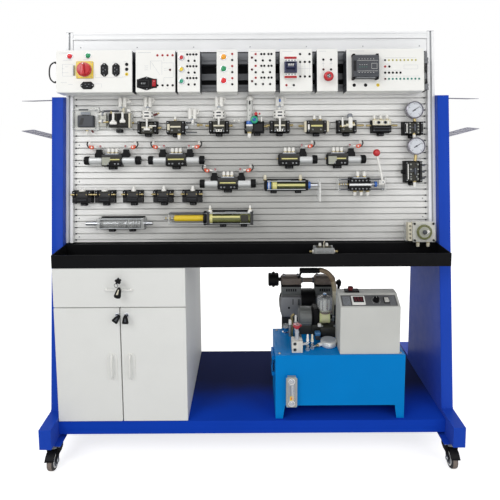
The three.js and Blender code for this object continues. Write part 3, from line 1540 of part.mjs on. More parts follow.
function airCompressor() {
  const c = { ...compressor, y: tankBack + compressor.behindTank };
  c.receiverLeft = tank.left + c.receiverInset;
  c.receiverRight = c.receiverLeft + c.receiverLength;
  c.headLeft = tank.left + c.headInset;
  c.headTop = shelfTop + c.headRise;
  c.crankLow = shelfTop + c.crankRise;
  c.legLow = shelfTop + c.legRise;
  c.motorLeft = c.headLeft + c.motorInset;
  c.motorRight = c.motorLeft + c.motorLength;
  c.motorZ = shelfTop + c.motorRise;
  c.pipeZ = c.headTop - c.pipeDrop;
  c.filterLeft = c.headLeft - c.filterOut;
  c.filterZ = c.headTop - c.filterDrop;
  const headRight = c.headLeft + 2 * c.headWidth + c.headGap;
  const handleY = tankBack + c.handleBehind;
  const handleLeft = c.headLeft + c.handleInset;
  const handleZ = c.headTop + c.handleUp;
  const handleOut = headRight - c.handleOut;
  const receiverZ = shelfTop + c.receiverRise + c.receiverRadius;
  const dome = c.receiverRadius * c.domeShare;
  const outside = turned("x", [
    [0, c.receiverLeft], [dome, c.receiverLeft], [c.receiverRadius, c.receiverLeft + c.domeLength],
    [c.receiverRadius, c.receiverRight - c.domeLength], [dome, c.receiverRight], [0, c.receiverRight],
  ], [c.y, receiverZ], 20);
  const w = c.receiverWall;
  const inside = turned("x", [
    [0, c.receiverLeft + w], [dome - w, c.receiverLeft + w], [c.receiverRadius - w,
        c.receiverLeft + c.domeLength + w],
    [c.receiverRadius - w, c.receiverRight - c.domeLength - w], [dome - w, c.receiverRight - w], [0,
        c.receiverRight - w],
  ], [c.y, receiverZ], 20);
  const drain = bar("z", [receiverZ - c.receiverRadius - overrun, receiverZ], c.legWidth / 4,
      [(c.receiverLeft + c.receiverRight) / 2, c.y], 8);
  const feet = [c.receiverLeft + c.domeLength * 2, c.receiverRight - c.domeLength * 2].map((x) => cut(
    block(about(x, c.footWidth), about(c.y, c.footDepth), [shelfTop + seatGap,
        shelfTop + c.receiverRise + c.footHeight]),
    bar("x", about(x, c.footWidth * 2), c.receiverRadius - w, [c.y, receiverZ], 20),
  ));
  const heads = [c.headLeft, c.headLeft + c.headWidth + c.headGap].flatMap((x) => [
    block([x, x + c.headWidth], about(c.y, c.headDepth), [c.headTop - c.capHeight, c.headTop]),
    extrude("x", [
      [c.y - c.headDepth / 2 + c.crankTaper, c.crankLow],
      [c.y + c.headDepth / 2 - c.crankTaper, c.crankLow],
      [c.y + c.headDepth / 2, c.headTop - c.capHeight + overrun],
      [c.y - c.headDepth / 2, c.headTop - c.capHeight + overrun],
    ], [x, x + c.headWidth]),
    block(about(x + c.headWidth / 2, c.legWidth), about(c.y, c.headDepth / 2), [c.legLow,
        c.crankLow + overrun]),
  ]);
  const motor = bar("x", [c.motorLeft, c.motorRight], c.motorRadius, [c.y, c.motorZ], 14);
  const pipe = bar("x", [c.headLeft + c.headWidth - overrun,
      c.headLeft + c.headWidth + c.headGap + overrun], c.pipeRadius, [c.y, c.pipeZ], 8);
  const filter = join(
    bar("x", [c.filterLeft, c.filterLeft + c.filterWidth], c.filterRadius, [c.y, c.filterZ], 12),
    bar("x", [c.filterLeft + c.filterWidth - overrun, c.headLeft + overrun], c.pipeRadius, [c.y,
        c.filterZ], 8),
  );
  const receiverTop = receiverZ + c.receiverRadius * c.domeShare;
  const handle = tube([
    [handleLeft, handleY, handleZ],
    [handleLeft + c.handleLength, handleY, handleZ],
    [handleOut - c.handleRadius, handleY, c.headTop + c.handleRadius],
    [handleOut, handleY, c.headTop - c.capHeight],
    [handleOut, handleY + c.handleRadius, c.motorZ - c.motorRadius],
    [handleOut, c.y - c.receiverRadius / 2, receiverTop],
  ], c.handleRadius, 8, 14, lead.tension);
  return join(cut(outside, inside, drain), ...feet, ...heads, motor, pipe, filter, handle);
}
add("air_compressor", airCompressor(), "darkGrey");

// Pump motor, relief valve block with its handwheel, on the oil tank
const pump = {
  inset: 139, fromBack: 37, radius: 34, height: 117, baseHeight: 24, baseDepth: 70, motorLength: 62,
  flangeLength: 12, coilInset: 222, coilRadius: 30, coilLength: 46, coilRise: 54, bowlInset: 221,
  bowlRadius: 30, bowlRise: 85, bowlHeight: 76, stemRadius: 12,
};

function pumpMotor() {
  const p = { ...pump, x: tank.left + pump.inset, y: tankBack - pump.fromBack };
  p.coilX = tank.left + p.coilInset;
  p.coilZ = tankTop + p.coilRise;
  p.bowlX = tank.left + p.bowlInset;
  p.bowlLow = tankTop + p.bowlRise;
  p.bowlHigh = p.bowlLow + p.bowlHeight;
  const base = tankTop + seatGap;
  const z = base + p.height - p.radius;
  const left = p.x - p.motorLength / 2;
  const right = p.x + p.motorLength / 2;
  return join(
    bar("x", [left, right], p.radius, [p.y, z], 20),
    block([left, p.coilX + p.coilLength / 2], about(p.y, p.baseDepth), [base, base + p.baseHeight]),
    block(about(p.x, p.motorLength / 2), about(p.y, p.radius), [base, z]),
    bar("x", [right - overrun, p.coilX - p.coilLength / 2 + overrun], p.radius - p.flangeLength, [p.y,
        p.coilZ], 12),
    bar("x", about(p.coilX, p.coilLength), p.coilRadius, [p.y, p.coilZ], 16),
    bar("z", [p.coilZ, p.bowlLow + overrun], p.stemRadius, [p.bowlX, p.y], 10),
    bar("z", [p.bowlLow, p.bowlHigh], p.bowlRadius, [p.bowlX, p.y], 16),
  );
}
add("pump_motor", pumpMotor(), "darkGrey");

const relief = {
  inset: 89, fromFront: 40, width: 44, depth: 46, height: 55, neck: 8, neckHeight: 38, gaugeAside: 136,
  gaugeRadius: 34, gaugeHeight: 34, gaugeBehind: 42, pipeRadius: 7, pipeUp: 16, ventAside: 56,
  ventRadius: 6, ventHeight: 66, wheelRadius: 17, wheelThickness: 8, hub: 9, hubHeight: 20, spokes: 5,
  lobe: 5.5,
};
const reliefX = tank.left + relief.inset;
const reliefY = tankFront + relief.fromFront;

function reliefBlock() {
  const r = { ...relief, x: reliefX, y: reliefY };
  r.gaugeX = r.x + r.gaugeAside;
  r.gaugeY = r.y + r.gaugeBehind;
  r.ventX = r.x + r.ventAside;
  const base = tankTop + seatGap;
  return join(
    block(about(r.x, r.width), about(r.y, r.depth), [base, base + r.height]),
    bar("z", [base + r.height - overrun, base + r.height + r.neckHeight], r.neck, [r.x, r.y], 12),
    bar("x", [r.x, r.gaugeX], r.pipeRadius, [r.y, base + r.pipeUp], 8),
    bar("y", [r.y, r.gaugeY], r.pipeRadius, [r.gaugeX, base + r.pipeUp], 8),
    bar("z", [base, base + r.gaugeHeight], r.gaugeRadius, [r.gaugeX, r.gaugeY], 20),
    bar("z", [base, base + r.ventHeight], r.ventRadius, [r.ventX, r.y], 8),
  );
}
add("relief_valve_block", reliefBlock(), "moduleWhite");

function reliefHandwheel() {
  const r = relief;
  const low = tankTop + seatGap + r.height + r.neckHeight + seatGap;
  const hub = bar("z", [low, low + r.hubHeight], r.hub, [0, 0], 12);
  const lobes = series(0, 1, r.spokes).map((i) => {
    const angle = (i / r.spokes) * Math.PI * 2;
    const reach = r.wheelRadius - r.hub / 2;
    return bar("z", [low, low + r.wheelThickness], r.lobe, [Math.cos(angle) * reach,
        Math.sin(angle) * reach], 8);
  });
  const disc = bar("z", [low, low + r.wheelThickness], r.wheelRadius - r.hub / 3, [0, 0], 15);
  return join(hub, disc, ...lobes).translate([reliefX, reliefY, 0]);
}
add("relief_handwheel", reliefHandwheel(), "red");

// Valve lying loose in the tray
const looseValve = { acrossShare: 0.3824, fromTroughBack: 36, width: 92, depth: 44, height: 58, flange: 6,
  sideReach: 10 };
function looseTrayValve() {
  const v = { ...looseValve, x: looseValve.acrossShare * inner };
  v.y = trayFront + tray.troughDepth - v.fromTroughBack;
  const low = trayBottom + tray.sheet + seatGap;
  return join(
    block(about(v.x, v.width), about(v.y, v.depth), [low, low + v.height]),
    block(about(v.x, v.width + 2 * v.sideReach), about(v.y, v.depth / 2), [low + v.flange,
        low + v.height - v.flange * 2]),
    ...topFittings(v.x, low + v.height, 2, v.width / 3, v.y),
  );
}
add("loose_valve", looseTrayValve(), "clearPlastic");

export default bench;
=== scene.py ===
"""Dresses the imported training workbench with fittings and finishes, and sets its camera and light."""

from itertools import product
from math import ceil, cos, pi, radians, sin, tau

import bmesh
import bpy
from mathutils import Matrix, Vector


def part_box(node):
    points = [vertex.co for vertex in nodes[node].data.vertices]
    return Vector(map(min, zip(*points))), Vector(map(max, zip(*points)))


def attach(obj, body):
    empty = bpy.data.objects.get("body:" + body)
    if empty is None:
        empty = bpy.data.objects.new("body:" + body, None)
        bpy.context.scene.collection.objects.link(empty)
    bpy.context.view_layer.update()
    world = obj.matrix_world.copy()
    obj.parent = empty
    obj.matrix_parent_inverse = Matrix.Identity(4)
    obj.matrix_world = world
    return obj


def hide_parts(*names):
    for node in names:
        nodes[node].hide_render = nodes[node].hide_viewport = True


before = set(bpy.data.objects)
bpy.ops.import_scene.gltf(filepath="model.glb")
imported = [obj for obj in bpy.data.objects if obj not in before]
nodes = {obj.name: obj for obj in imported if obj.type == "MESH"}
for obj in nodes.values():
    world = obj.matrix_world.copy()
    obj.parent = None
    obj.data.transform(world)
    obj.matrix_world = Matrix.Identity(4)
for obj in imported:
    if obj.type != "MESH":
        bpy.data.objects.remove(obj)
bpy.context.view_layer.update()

# Every size and place below is in millimetres, in the frame of the CAD or of the leaning panel
MM = 0.001
LEAN = radians(7.25)
PANEL_FOOT = (0, -97, 857.3)
WORLD = Matrix.Identity(4)
UP, DOWN, OUT, RIGHT, LEFT = (0, 0, 1), (0, 0, -1), (0, -1, 0), (1, 0, 0), (-1, 0, 0)
AT_AXIS = 1e-6
PANEL = Matrix.Translation(PANEL_FOOT) @ Matrix.Rotation(-LEAN, 4, "X")
SMOOTH_BELOW = radians(50)

# Camera
camera_data = bpy.data.cameras.new("camera")
camera_data.sensor_width = 36
camera_data.lens = 36.184
camera_data.shift_y = -0.18
camera = bpy.data.objects.new("camera", camera_data)
camera.location = (-0.0044, -2.1856, 1.4318)
camera.rotation_euler = (1.463926, 0.00537, -0.001236)
bpy.context.scene.collection.objects.link(camera)
bpy.context.scene.camera = camera
bpy.context.scene.view_settings.view_transform = "Standard"


# Light
def lamp(name, place, aim, size, watts):
    """A square soft lamp at place, turned to aim."""
    data = bpy.data.lights.new(name, "AREA")
    data.size = size
    data.energy = watts
    holder = bpy.data.objects.new(name, data)
    holder.location = place
    holder.rotation_euler = (Vector(aim) - Vector(place)).to_track_quat("-Z", "Y").to_euler()
    bpy.context.scene.collection.objects.link(holder)


BENCH_MIDDLE = (0, 0, 0.9)
lamp("key_lamp", (-2.6, -3.4, 3.6), BENCH_MIDDLE, 2.6, 82)
lamp("fill_lamp", (3.0, -3.2, 2.2), BENCH_MIDDLE, 2.6, 38)
lamp("top_lamp", (0.2, 0.4, 4.6), BENCH_MIDDLE, 3.0, 52)
lamp("low_lamp", (0.4, -4.4, 0.8), (0.1, 0, 0.5), 2.4, 26)
lamp("back_lamp", (0.6, 4.2, 2.4), BENCH_MIDDLE, 2.6, 48)


def node_tree(owner):
    """An empty node tree with helpers that make a node and join sockets."""
    owner.use_nodes = True
    tree = owner.node_tree
    tree.nodes.clear()

    def make(kind, **settings):
        made = tree.nodes.new(kind)
        for key, value in settings.items():
            setattr(made, key, value)
        return made

    return make, tree.links.new


def seen_directly(make, link):
    """1 for rays that show the backdrop: from the camera, a mirror or through something clear."""
    path = make("ShaderNodeLightPath")
    first = make("ShaderNodeMath", operation="MAXIMUM")
    link(path.outputs["Is Camera Ray"], first.inputs[0])
    link(path.outputs["Is Glossy Ray"], first.inputs[1])
    both = make("ShaderNodeMath", operation="MAXIMUM")
    link(first.outputs[0], both.inputs[0])
    link(path.outputs["Is Transmission Ray"], both.inputs[1])
    return both.outputs[0]


def build_world():
    """White where it is seen, softer where it lights the bench."""
    world = bpy.data.worlds.new("studio")
    bpy.context.scene.world = world
    make, link = node_tree(world)
    light = make("ShaderNodeBackground")
    light.inputs["Color"].default_value = (1, 0.995, 0.985, 1)
    light.inputs["Strength"].default_value = 0.37
    white = make("ShaderNodeBackground")
    white.inputs["Color"].default_value = (1, 1, 1, 1)
    white.inputs["Strength"].default_value = 1.0
    mix = make("ShaderNodeMixShader")
    link(seen_directly(make, link), mix.inputs[0])
    link(light.outputs[0], mix.inputs[1])
    link(white.outputs[0], mix.inputs[2])
    link(mix.outputs[0], make("ShaderNodeOutputWorld").inputs[0])


def build_floor():
    """A wide pale floor that keeps the bench's soft shadow."""
    look = bpy.data.materials.new("floor_white")
    make, link = node_tree(look)
    paint = make("ShaderNodeBsdfDiffuse")
    paint.inputs["Color"].default_value = (0.80, 0.80, 0.80, 1)
    glow = make("ShaderNodeEmission")
    glow.inputs["Color"].default_value = (1, 1, 1, 1)
    glow.inputs["Strength"].default_value = 0.705
    seen = make("ShaderNodeMixShader")
    total = make("ShaderNodeAddShader")
    path = make("ShaderNodeLightPath")
    link(path.outputs["Is Camera Ray"], seen.inputs[0])
    link(paint.outputs[0], seen.inputs[1])
    link(paint.outputs[0], total.inputs[0])
    link(glow.outputs[0], total.inputs[1])
    link(total.outputs[0], seen.inputs[2])
    link(seen.outputs[0], make("ShaderNodeOutputMaterial").inputs[0])
    mesh = bpy.data.meshes.new("floor")
    reach = 40
    corners = [(-reach, -reach, 0), (reach, -reach, 0), (reach, reach, 0), (-reach, reach, 0)]
    mesh.from_pydata(corners, [], [(0, 1, 2, 3)])
    mesh.materials.append(look)
    floor = bpy.data.objects.new("floor", mesh)
    bpy.context.scene.collection.objects.link(floor)


build_world()
build_floor()


# Finishes
def linear(code):
    """A screen colour such as 2f60c4 as the linear colour that a shader takes."""
    values = [int(code[i:i + 2], 16) / 255 for i in (0, 2, 4)]
    return [v / 12.92 if v <= 0.04045 else ((v + 0.055) / 1.055) ** 2.4 for v in values] + [1]


LOOKS = {}


def finish(name, colour, rough=0.45, metal=0.0, vary=0.10, patch=9.0, grain=900.0, bump=0.05, worn=None,
        wear=0.35, coat=0.0, glow=0.0, brushed=False, speck=0.0, shine=0.5, sheen=0.0, solid=1.0,
        painted_light=None):
    """A surface with uneven colour and gloss, fine grain and, where worn is given, rubbed edges; where
    painted_light is given, a second colour laid over it by place as painted light and shade.
    """
    look = bpy.data.materials.new(name)
    LOOKS[name] = look
    make, link = node_tree(look)
    shader = make("ShaderNodeBsdfPrincipled")
    base = linear(colour)
    shader.inputs["Metallic"].default_value = metal
    shader.inputs["Coat Weight"].default_value = coat
    shader.inputs["Specular IOR Level"].default_value = shine
    shader.inputs["Alpha"].default_value = solid
    shader.inputs["Sheen Weight"].default_value = sheen
    shader.inputs["Sheen Roughness"].default_value = 0.3
    where = make("ShaderNodeTexCoord").outputs["Object"]
    if brushed:
        stretch = make("ShaderNodeMapping")
        stretch.inputs["Scale"].default_value = (0.03, 1, 1)
        link(where, stretch.inputs["Vector"])
        streaks = stretch.outputs["Vector"]
    else:
        streaks = where

    def noise(scale, detail, source):
        made = make("ShaderNodeTexNoise")
        made.inputs["Scale"].default_value = scale
        made.inputs["Detail"].default_value = detail
        link(source, made.inputs["Vector"])
        return made.outputs["Fac"]

    def spread(source, low, high):
        made = make("ShaderNodeMapRange")
        made.inputs["From Min"].default_value = 0.3
        made.inputs["From Max"].default_value = 0.7
        made.inputs["To Min"].default_value = low
        made.inputs["To Max"].default_value = high
        link(source, made.inputs["Value"])
        return made.outputs["Result"]

    darker = [c * (1 - vary) for c in base[:3]] + [1]
    lighter = [min(1, c * (1 + vary * 0.6)) for c in base[:3]] + [1]
    patches = noise(patch, 4, where)
    tint = make("ShaderNodeMix", data_type="RGBA")
    link(spread(patches, 0, 1), tint.inputs["Factor"])
    tint.inputs[6].default_value = darker
    tint.inputs[7].default_value = lighter
    surface = tint.outputs[2]
    fine = noise(grain, 2, streaks)
    if speck:
        dots = make("ShaderNodeMix", data_type="RGBA")
        link(spread(noise(grain * 0.6, 1, where), 0, speck), dots.inputs["Factor"])
        link(surface, dots.inputs[6])
        dots.inputs[7].default_value = [c * 0.55 for c in base[:3]] + [1]
        surface = dots.outputs[2]
    # Painted light and shade: a second colour laid over the surface where the world position lies within
    # all the given ranges, standing in for shade and reflections.
    if painted_light:
        shade, ranges = painted_light
        apart = make("ShaderNodeSeparateXYZ")
        link(make("ShaderNodeNewGeometry").outputs["Position"], apart.inputs[0])
        amount = None
        for axis, start, end in ranges:
            wander = make("ShaderNodeMath", operation="MULTIPLY_ADD")
            link(noise(5, 3, where), wander.inputs[0])
            wander.inputs[1].default_value = 0.6 * abs(end - start)
            link(apart.outputs[axis], wander.inputs[2])
            reach = make("ShaderNodeMapRange", interpolation_type="SMOOTHSTEP")
            reach.inputs["From Min"].default_value = start
            reach.inputs["From Max"].default_value = end
            link(wander.outputs[0], reach.inputs["Value"])
            if amount:
                both = make("ShaderNodeMath", operation="MULTIPLY")
                link(amount, both.inputs[0])
                link(reach.outputs["Result"], both.inputs[1])
                amount = both.outputs[0]
            else:
                amount = reach.outputs["Result"]
        cover = make("ShaderNodeMix", data_type="RGBA")
        link(amount, cover.inputs["Factor"])
        link(surface, cover.inputs[6])
        cover.inputs[7].default_value = linear(shade)
        surface = cover.outputs[2]
    gloss = spread(noise(patch * 6, 3, streaks), max(0.02, rough - 0.04), min(1, rough + 0.06))
    if worn:
        soft = make("ShaderNodeBevel", samples=4)
        soft.inputs["Radius"].default_value = 0.0016
        flat = make("ShaderNodeNewGeometry")
        turn = make("ShaderNodeVectorMath", operation="DOT_PRODUCT")
        link(soft.outputs["Normal"], turn.inputs[0])
        link(flat.outputs["Normal"], turn.inputs[1])
        edge = make("ShaderNodeMapRange")
        edge.inputs["From Min"].default_value = 0.995
        edge.inputs["From Max"].default_value = 0.90
        edge.inputs["To Max"].default_value = wear
        link(turn.outputs["Value"], edge.inputs["Value"])
        broken = make("ShaderNodeMath", operation="MULTIPLY")
        link(edge.outputs["Result"], broken.inputs[0])
        link(spread(noise(patch * 14, 3, where), 0.15, 1.2), broken.inputs[1])
        rub = make("ShaderNodeMix", data_type="RGBA")
        link(broken.outputs[0], rub.inputs["Factor"])
        link(surface, rub.inputs[6])
        rub.inputs[7].default_value = linear(worn)
        surface = rub.outputs[2]
    link(surface, shader.inputs["Base Color"])
    link(gloss, shader.inputs["Roughness"])
    relief = make("ShaderNodeBump")
    relief.inputs["Strength"].default_value = bump
    relief.inputs["Distance"].default_value = 0.0004
    link(fine, relief.inputs["Height"])
    link(relief.outputs["Normal"], shader.inputs["Normal"])
    if glow:
        shader.inputs["Emission Color"].default_value = base
        shader.inputs["Emission Strength"].default_value = glow
    link(shader.outputs[0], make("ShaderNodeOutputMaterial").inputs[0])


# Painted and cast metal
finish("frame_blue", "1a45b4", rough=0.34, vary=0.05, patch=5, bump=0.04, grain=1400, worn="3c62c4",
    shine=0.08, sheen=0.15)
# The shelf is the frame's blue paint, made a little darker, with painted shade (2a2f50) that darkens it
# towards the back, where the tray shades it.
finish("shelf_blue_painted_shade", "1540b2", rough=0.62, vary=0.06, patch=4, bump=0.04, grain=1400, worn="2c50b8",
    shine=0.0, painted_light=("2a2f50", [("Y", -0.16, 0.10)]))
finish("tank_blue", "007fcb", rough=0.34, vary=0.04, patch=5, bump=0.04, grain=1200, worn="4a9cd8",
    shine=0.06)
finish("tray_black", "111113", rough=0.55, vary=0.20, bump=0.10, grain=1200, worn="303134", speck=0.2,
    shine=0.08)
finish("cabinet_grey", "e2e3e0", rough=0.48, vary=0.02, bump=0.06, grain=1500, worn="f4f4f2", wear=0.3)
finish("box_grey", "c6c7c3", rough=0.50, vary=0.03, bump=0.12, grain=1300, worn="e4e4e1", wear=0.3)
finish("panel_dark", "6a6b6d", rough=0.42, worn="a9a9a8", speck=0.5)
finish("cast_grey", "857a72", rough=0.66, shine=0.2, vary=0.12, bump=0.25, grain=700, worn="b0aca8")
finish("cast_dark", "2b2b2c", rough=0.60, vary=0.16, bump=0.30, grain=700, worn="6f6f70")
finish("motor_grey", "6b6e6d", rough=0.44, vary=0.12, bump=0.12, worn="9c9e9e")
finish("rack_grey", "7b7a8c", bump=0.10, worn="b2b2c0", metal=0.35)
# Bare metal
finish("post_aluminium", "eff0f1", rough=0.42, metal=0.12, vary=0.02, bump=0.02, brushed=True,
    worn="f2f2f3")
# The board carries painted light: it is lighter at the left end and along the top as painted reflections,
# and darker (b5b5b2) elsewhere as painted shade.
finish("board_aluminium_painted_light", "f8f8f6", rough=0.42, metal=0.05, vary=0.02, bump=0.015, brushed=True,
    worn="fafaf8", painted_light=("b5b5b2", [("X", -0.56, 0.14), ("X", 1.24, 0.34), ("Z", 1.46, 1.36)]))
finish("groove_grey", "a0a2a5", rough=0.5, metal=0.1, vary=0.08)
finish("rail_grey", "6e7073", rough=0.38, metal=0.5, vary=0.14, brushed=True, worn="9c9ea1")
finish("smoke", "a3a598", rough=0.34, vary=0.12, bump=0.03, worn="c8cabe")
finish("gauge_face", "cfd3da", rough=0.25, vary=0.03, coat=0.4)
finish("gauge_rim", "8d8b94", rough=0.24, metal=0.8, vary=0.06)
finish("coil_steel", "c8caca", rough=0.36, metal=0.4, vary=0.02, bump=0.0, worn="e4e6e6")
finish("plate_grey", "aaaaa2", rough=0.38, metal=0.3, vary=0.08, worn="cfcfc8")
finish("block_grey", "d6d3cb", rough=0.42, vary=0.04, worn="efede6")
finish("cup_silver", "dcdedd", rough=0.28, metal=0.3, vary=0.05)
finish("steel", "b4b7bc", rough=0.26, metal=1.0, vary=0.08, worn="e8eaee", brushed=True)
finish("chrome", "d9dce2", rough=0.10, metal=1.0, vary=0.04, bump=0.01)
finish("dark_steel", "55585e", rough=0.34, metal=0.85, worn="a4a7ac")
finish("brass", "a8986c", rough=0.30, metal=0.9, vary=0.14, worn="d8cca4")
finish("zinc", "a9acae", rough=0.42, metal=0.9, vary=0.14, bump=0.08)
# Moulded plastic and rubber
finish("black_plastic", "18181a", rough=0.40, vary=0.18, bump=0.10, worn="444548", wear=0.3, shine=0.25)
finish("soft_black", "101012", rough=0.56, vary=0.20, bump=0.16, worn="333336", wear=0.3, shine=0.15)
finish("dark_grey", "3c3f45", rough=0.48, vary=0.12, bump=0.10, worn="74777c")
finish("mid_grey", "8b8f96", rough=0.46, vary=0.08, bump=0.08, worn="babdc2")
finish("module_white", "f2f2ee", rough=0.40, vary=0.015, bump=0.04, worn="fbfbf8", wear=0.5)
finish("label_grey", "aeb4bd", vary=0.04)
finish("fitting_white", "efeee9", rough=0.30, vary=0.04, bump=0.03, coat=0.2)
finish("cream", "dcd6c0", rough=0.38, vary=0.08, worn="f2eee0")
finish("olive", "2d2c24", rough=0.42, vary=0.16, bump=0.08, worn="65624f", shine=0.3)
finish("red", "c3141f", rough=0.28, vary=0.08, bump=0.03, coat=0.3)
finish("wheel_red", "a81228", rough=0.30, coat=0.15)
finish("dark_red", "5c1a1e", rough=0.34, shine=0.3)
finish("orange", "dc5632", rough=0.30, coat=0.2)
finish("yellow", "e6c61e", rough=0.30, vary=0.07, coat=0.25)
finish("pale_yellow", "dcd58a", rough=0.34, vary=0.06, coat=0.2)
finish("green", "139c78", rough=0.30, vary=0.08, coat=0.25)
finish("teal", "3f9c8c", rough=0.34, vary=0.08, coat=0.2)
finish("ring_blue", "1f5fb4", rough=0.30, vary=0.08, coat=0.3)
finish("tyre_grey", "2c2b2b", rough=0.62, vary=0.14, bump=0.20)
finish("tread_tan", "7c7068", rough=0.58, vary=0.12, bump=0.15)
finish("plate_pale", "eff0ec", rough=0.35, vary=0.03, coat=0.2)
finish("lead_black", "17181a", rough=0.38, vary=0.15)
finish("coil_green", "d6dda4", rough=0.40, bump=0.06)
finish("red_lamp", "d4141f", rough=0.2, vary=0.06, coat=0.2, glow=0.12)
finish("green_lamp", "0c8c56", rough=0.2, vary=0.06, coat=0.2, glow=0.10)
finish("orange_lamp", "e59a10", rough=0.2, vary=0.06, coat=0.2, glow=0.12)
finish("meter_red", "84383e", rough=0.30, vary=0.04)
finish("rocker_red", "a5121e", rough=0.30, vary=0.06, shine=0.3)
finish("plate_clear", "f6f6f4", rough=0.2, vary=0.02, solid=0.72)
finish("dial_white", "f0f0ec", rough=0.30, vary=0.02, coat=0.4)
finish("ink", "1c1d20", rough=0.5, shine=0.2)
# Clear and tinted plastic
finish("clear_plastic", "eceeec", rough=0.12, vary=0.02, bump=0.01, solid=0.34)
finish("barrel", "787c48", rough=0.16, vary=0.06, bump=0.01, solid=0.72)
finish("bore_clear", "e6e8e6", rough=0.12, vary=0.02, bump=0.01, solid=0.22)
finish("bowl_clear", "e4e8e8", rough=0.08, vary=0.03, bump=0.01, solid=0.26)


# Shapes
def facing(axis):
    """The turn that carries up onto axis."""
    return Vector(UP).rotation_difference(Vector(axis)).to_matrix().to_4x4()


def placed(spot, angle, axis="Y"):
    """The place at spot, turned by angle about axis."""
    return Matrix.Translation(spot) @ Matrix.Rotation(angle, 4, axis)


def inset(outline, depth):
    """The outline moved inwards by depth."""
    area = sum(a[0] * b[1] - b[0] * a[1] for a, b in zip(outline, outline[1:] + outline[:1]))
    sense = 1 if area > 0 else -1
    moved = []
    count = len(outline)
    for i in range(count):
        here = Vector(outline[i])
        before = (here - Vector(outline[i - 1])).normalized()
        after = (Vector(outline[(i + 1) % count]) - here).normalized()
        first = Vector((-before.y, before.x)) * sense
        second = Vector((-after.y, after.x)) * sense
        middle = first + second
        if middle.length < 0.05:
            moved.append(tuple(here))
            continue
        middle.normalize()
        moved.append(tuple(here + middle * depth / max(0.35, middle.dot(first))))
    return moved


def rounded(across, up, radius):
    """A rounded rectangle as an outline."""
    steps = 3
    points = []
    for cx, cz, start in ((across[1], up[1], 0), (across[0], up[1], 1), (across[0], up[0], 2),
            (across[1], up[0], 3)):
        middle = (cx + (radius if cx == across[0] else -radius), cz + (radius if cz == up[0] else -radius))
        for i in range(steps + 1):
            angle = pi / 2 * (start + i / steps)
            points.append((middle[0] + radius * cos(angle), middle[1] + radius * sin(angle)))
    return points


def around(middle, size):
    """The two ends of a length with its middle given."""
    return (middle - size / 2, middle + size / 2)


def smooth_path(points):
    """A soft curve through points."""
    steps = 6
    points = [Vector(p) for p in points]
    ends = [2 * points[0] - points[1]] + points + [2 * points[-1] - points[-2]]
    path = []
    for a, b, c, d in zip(ends, ends[1:], ends[2:], ends[3:]):
        for i in range(steps):
            t = i / steps
            path.append(0.5 * (2 * b + (c - a) * t + (2 * a - 5 * b + 4 * c - d) * t * t
                + (3 * b - a - 3 * c + d) * t ** 3))
    return path + [points[-1]]


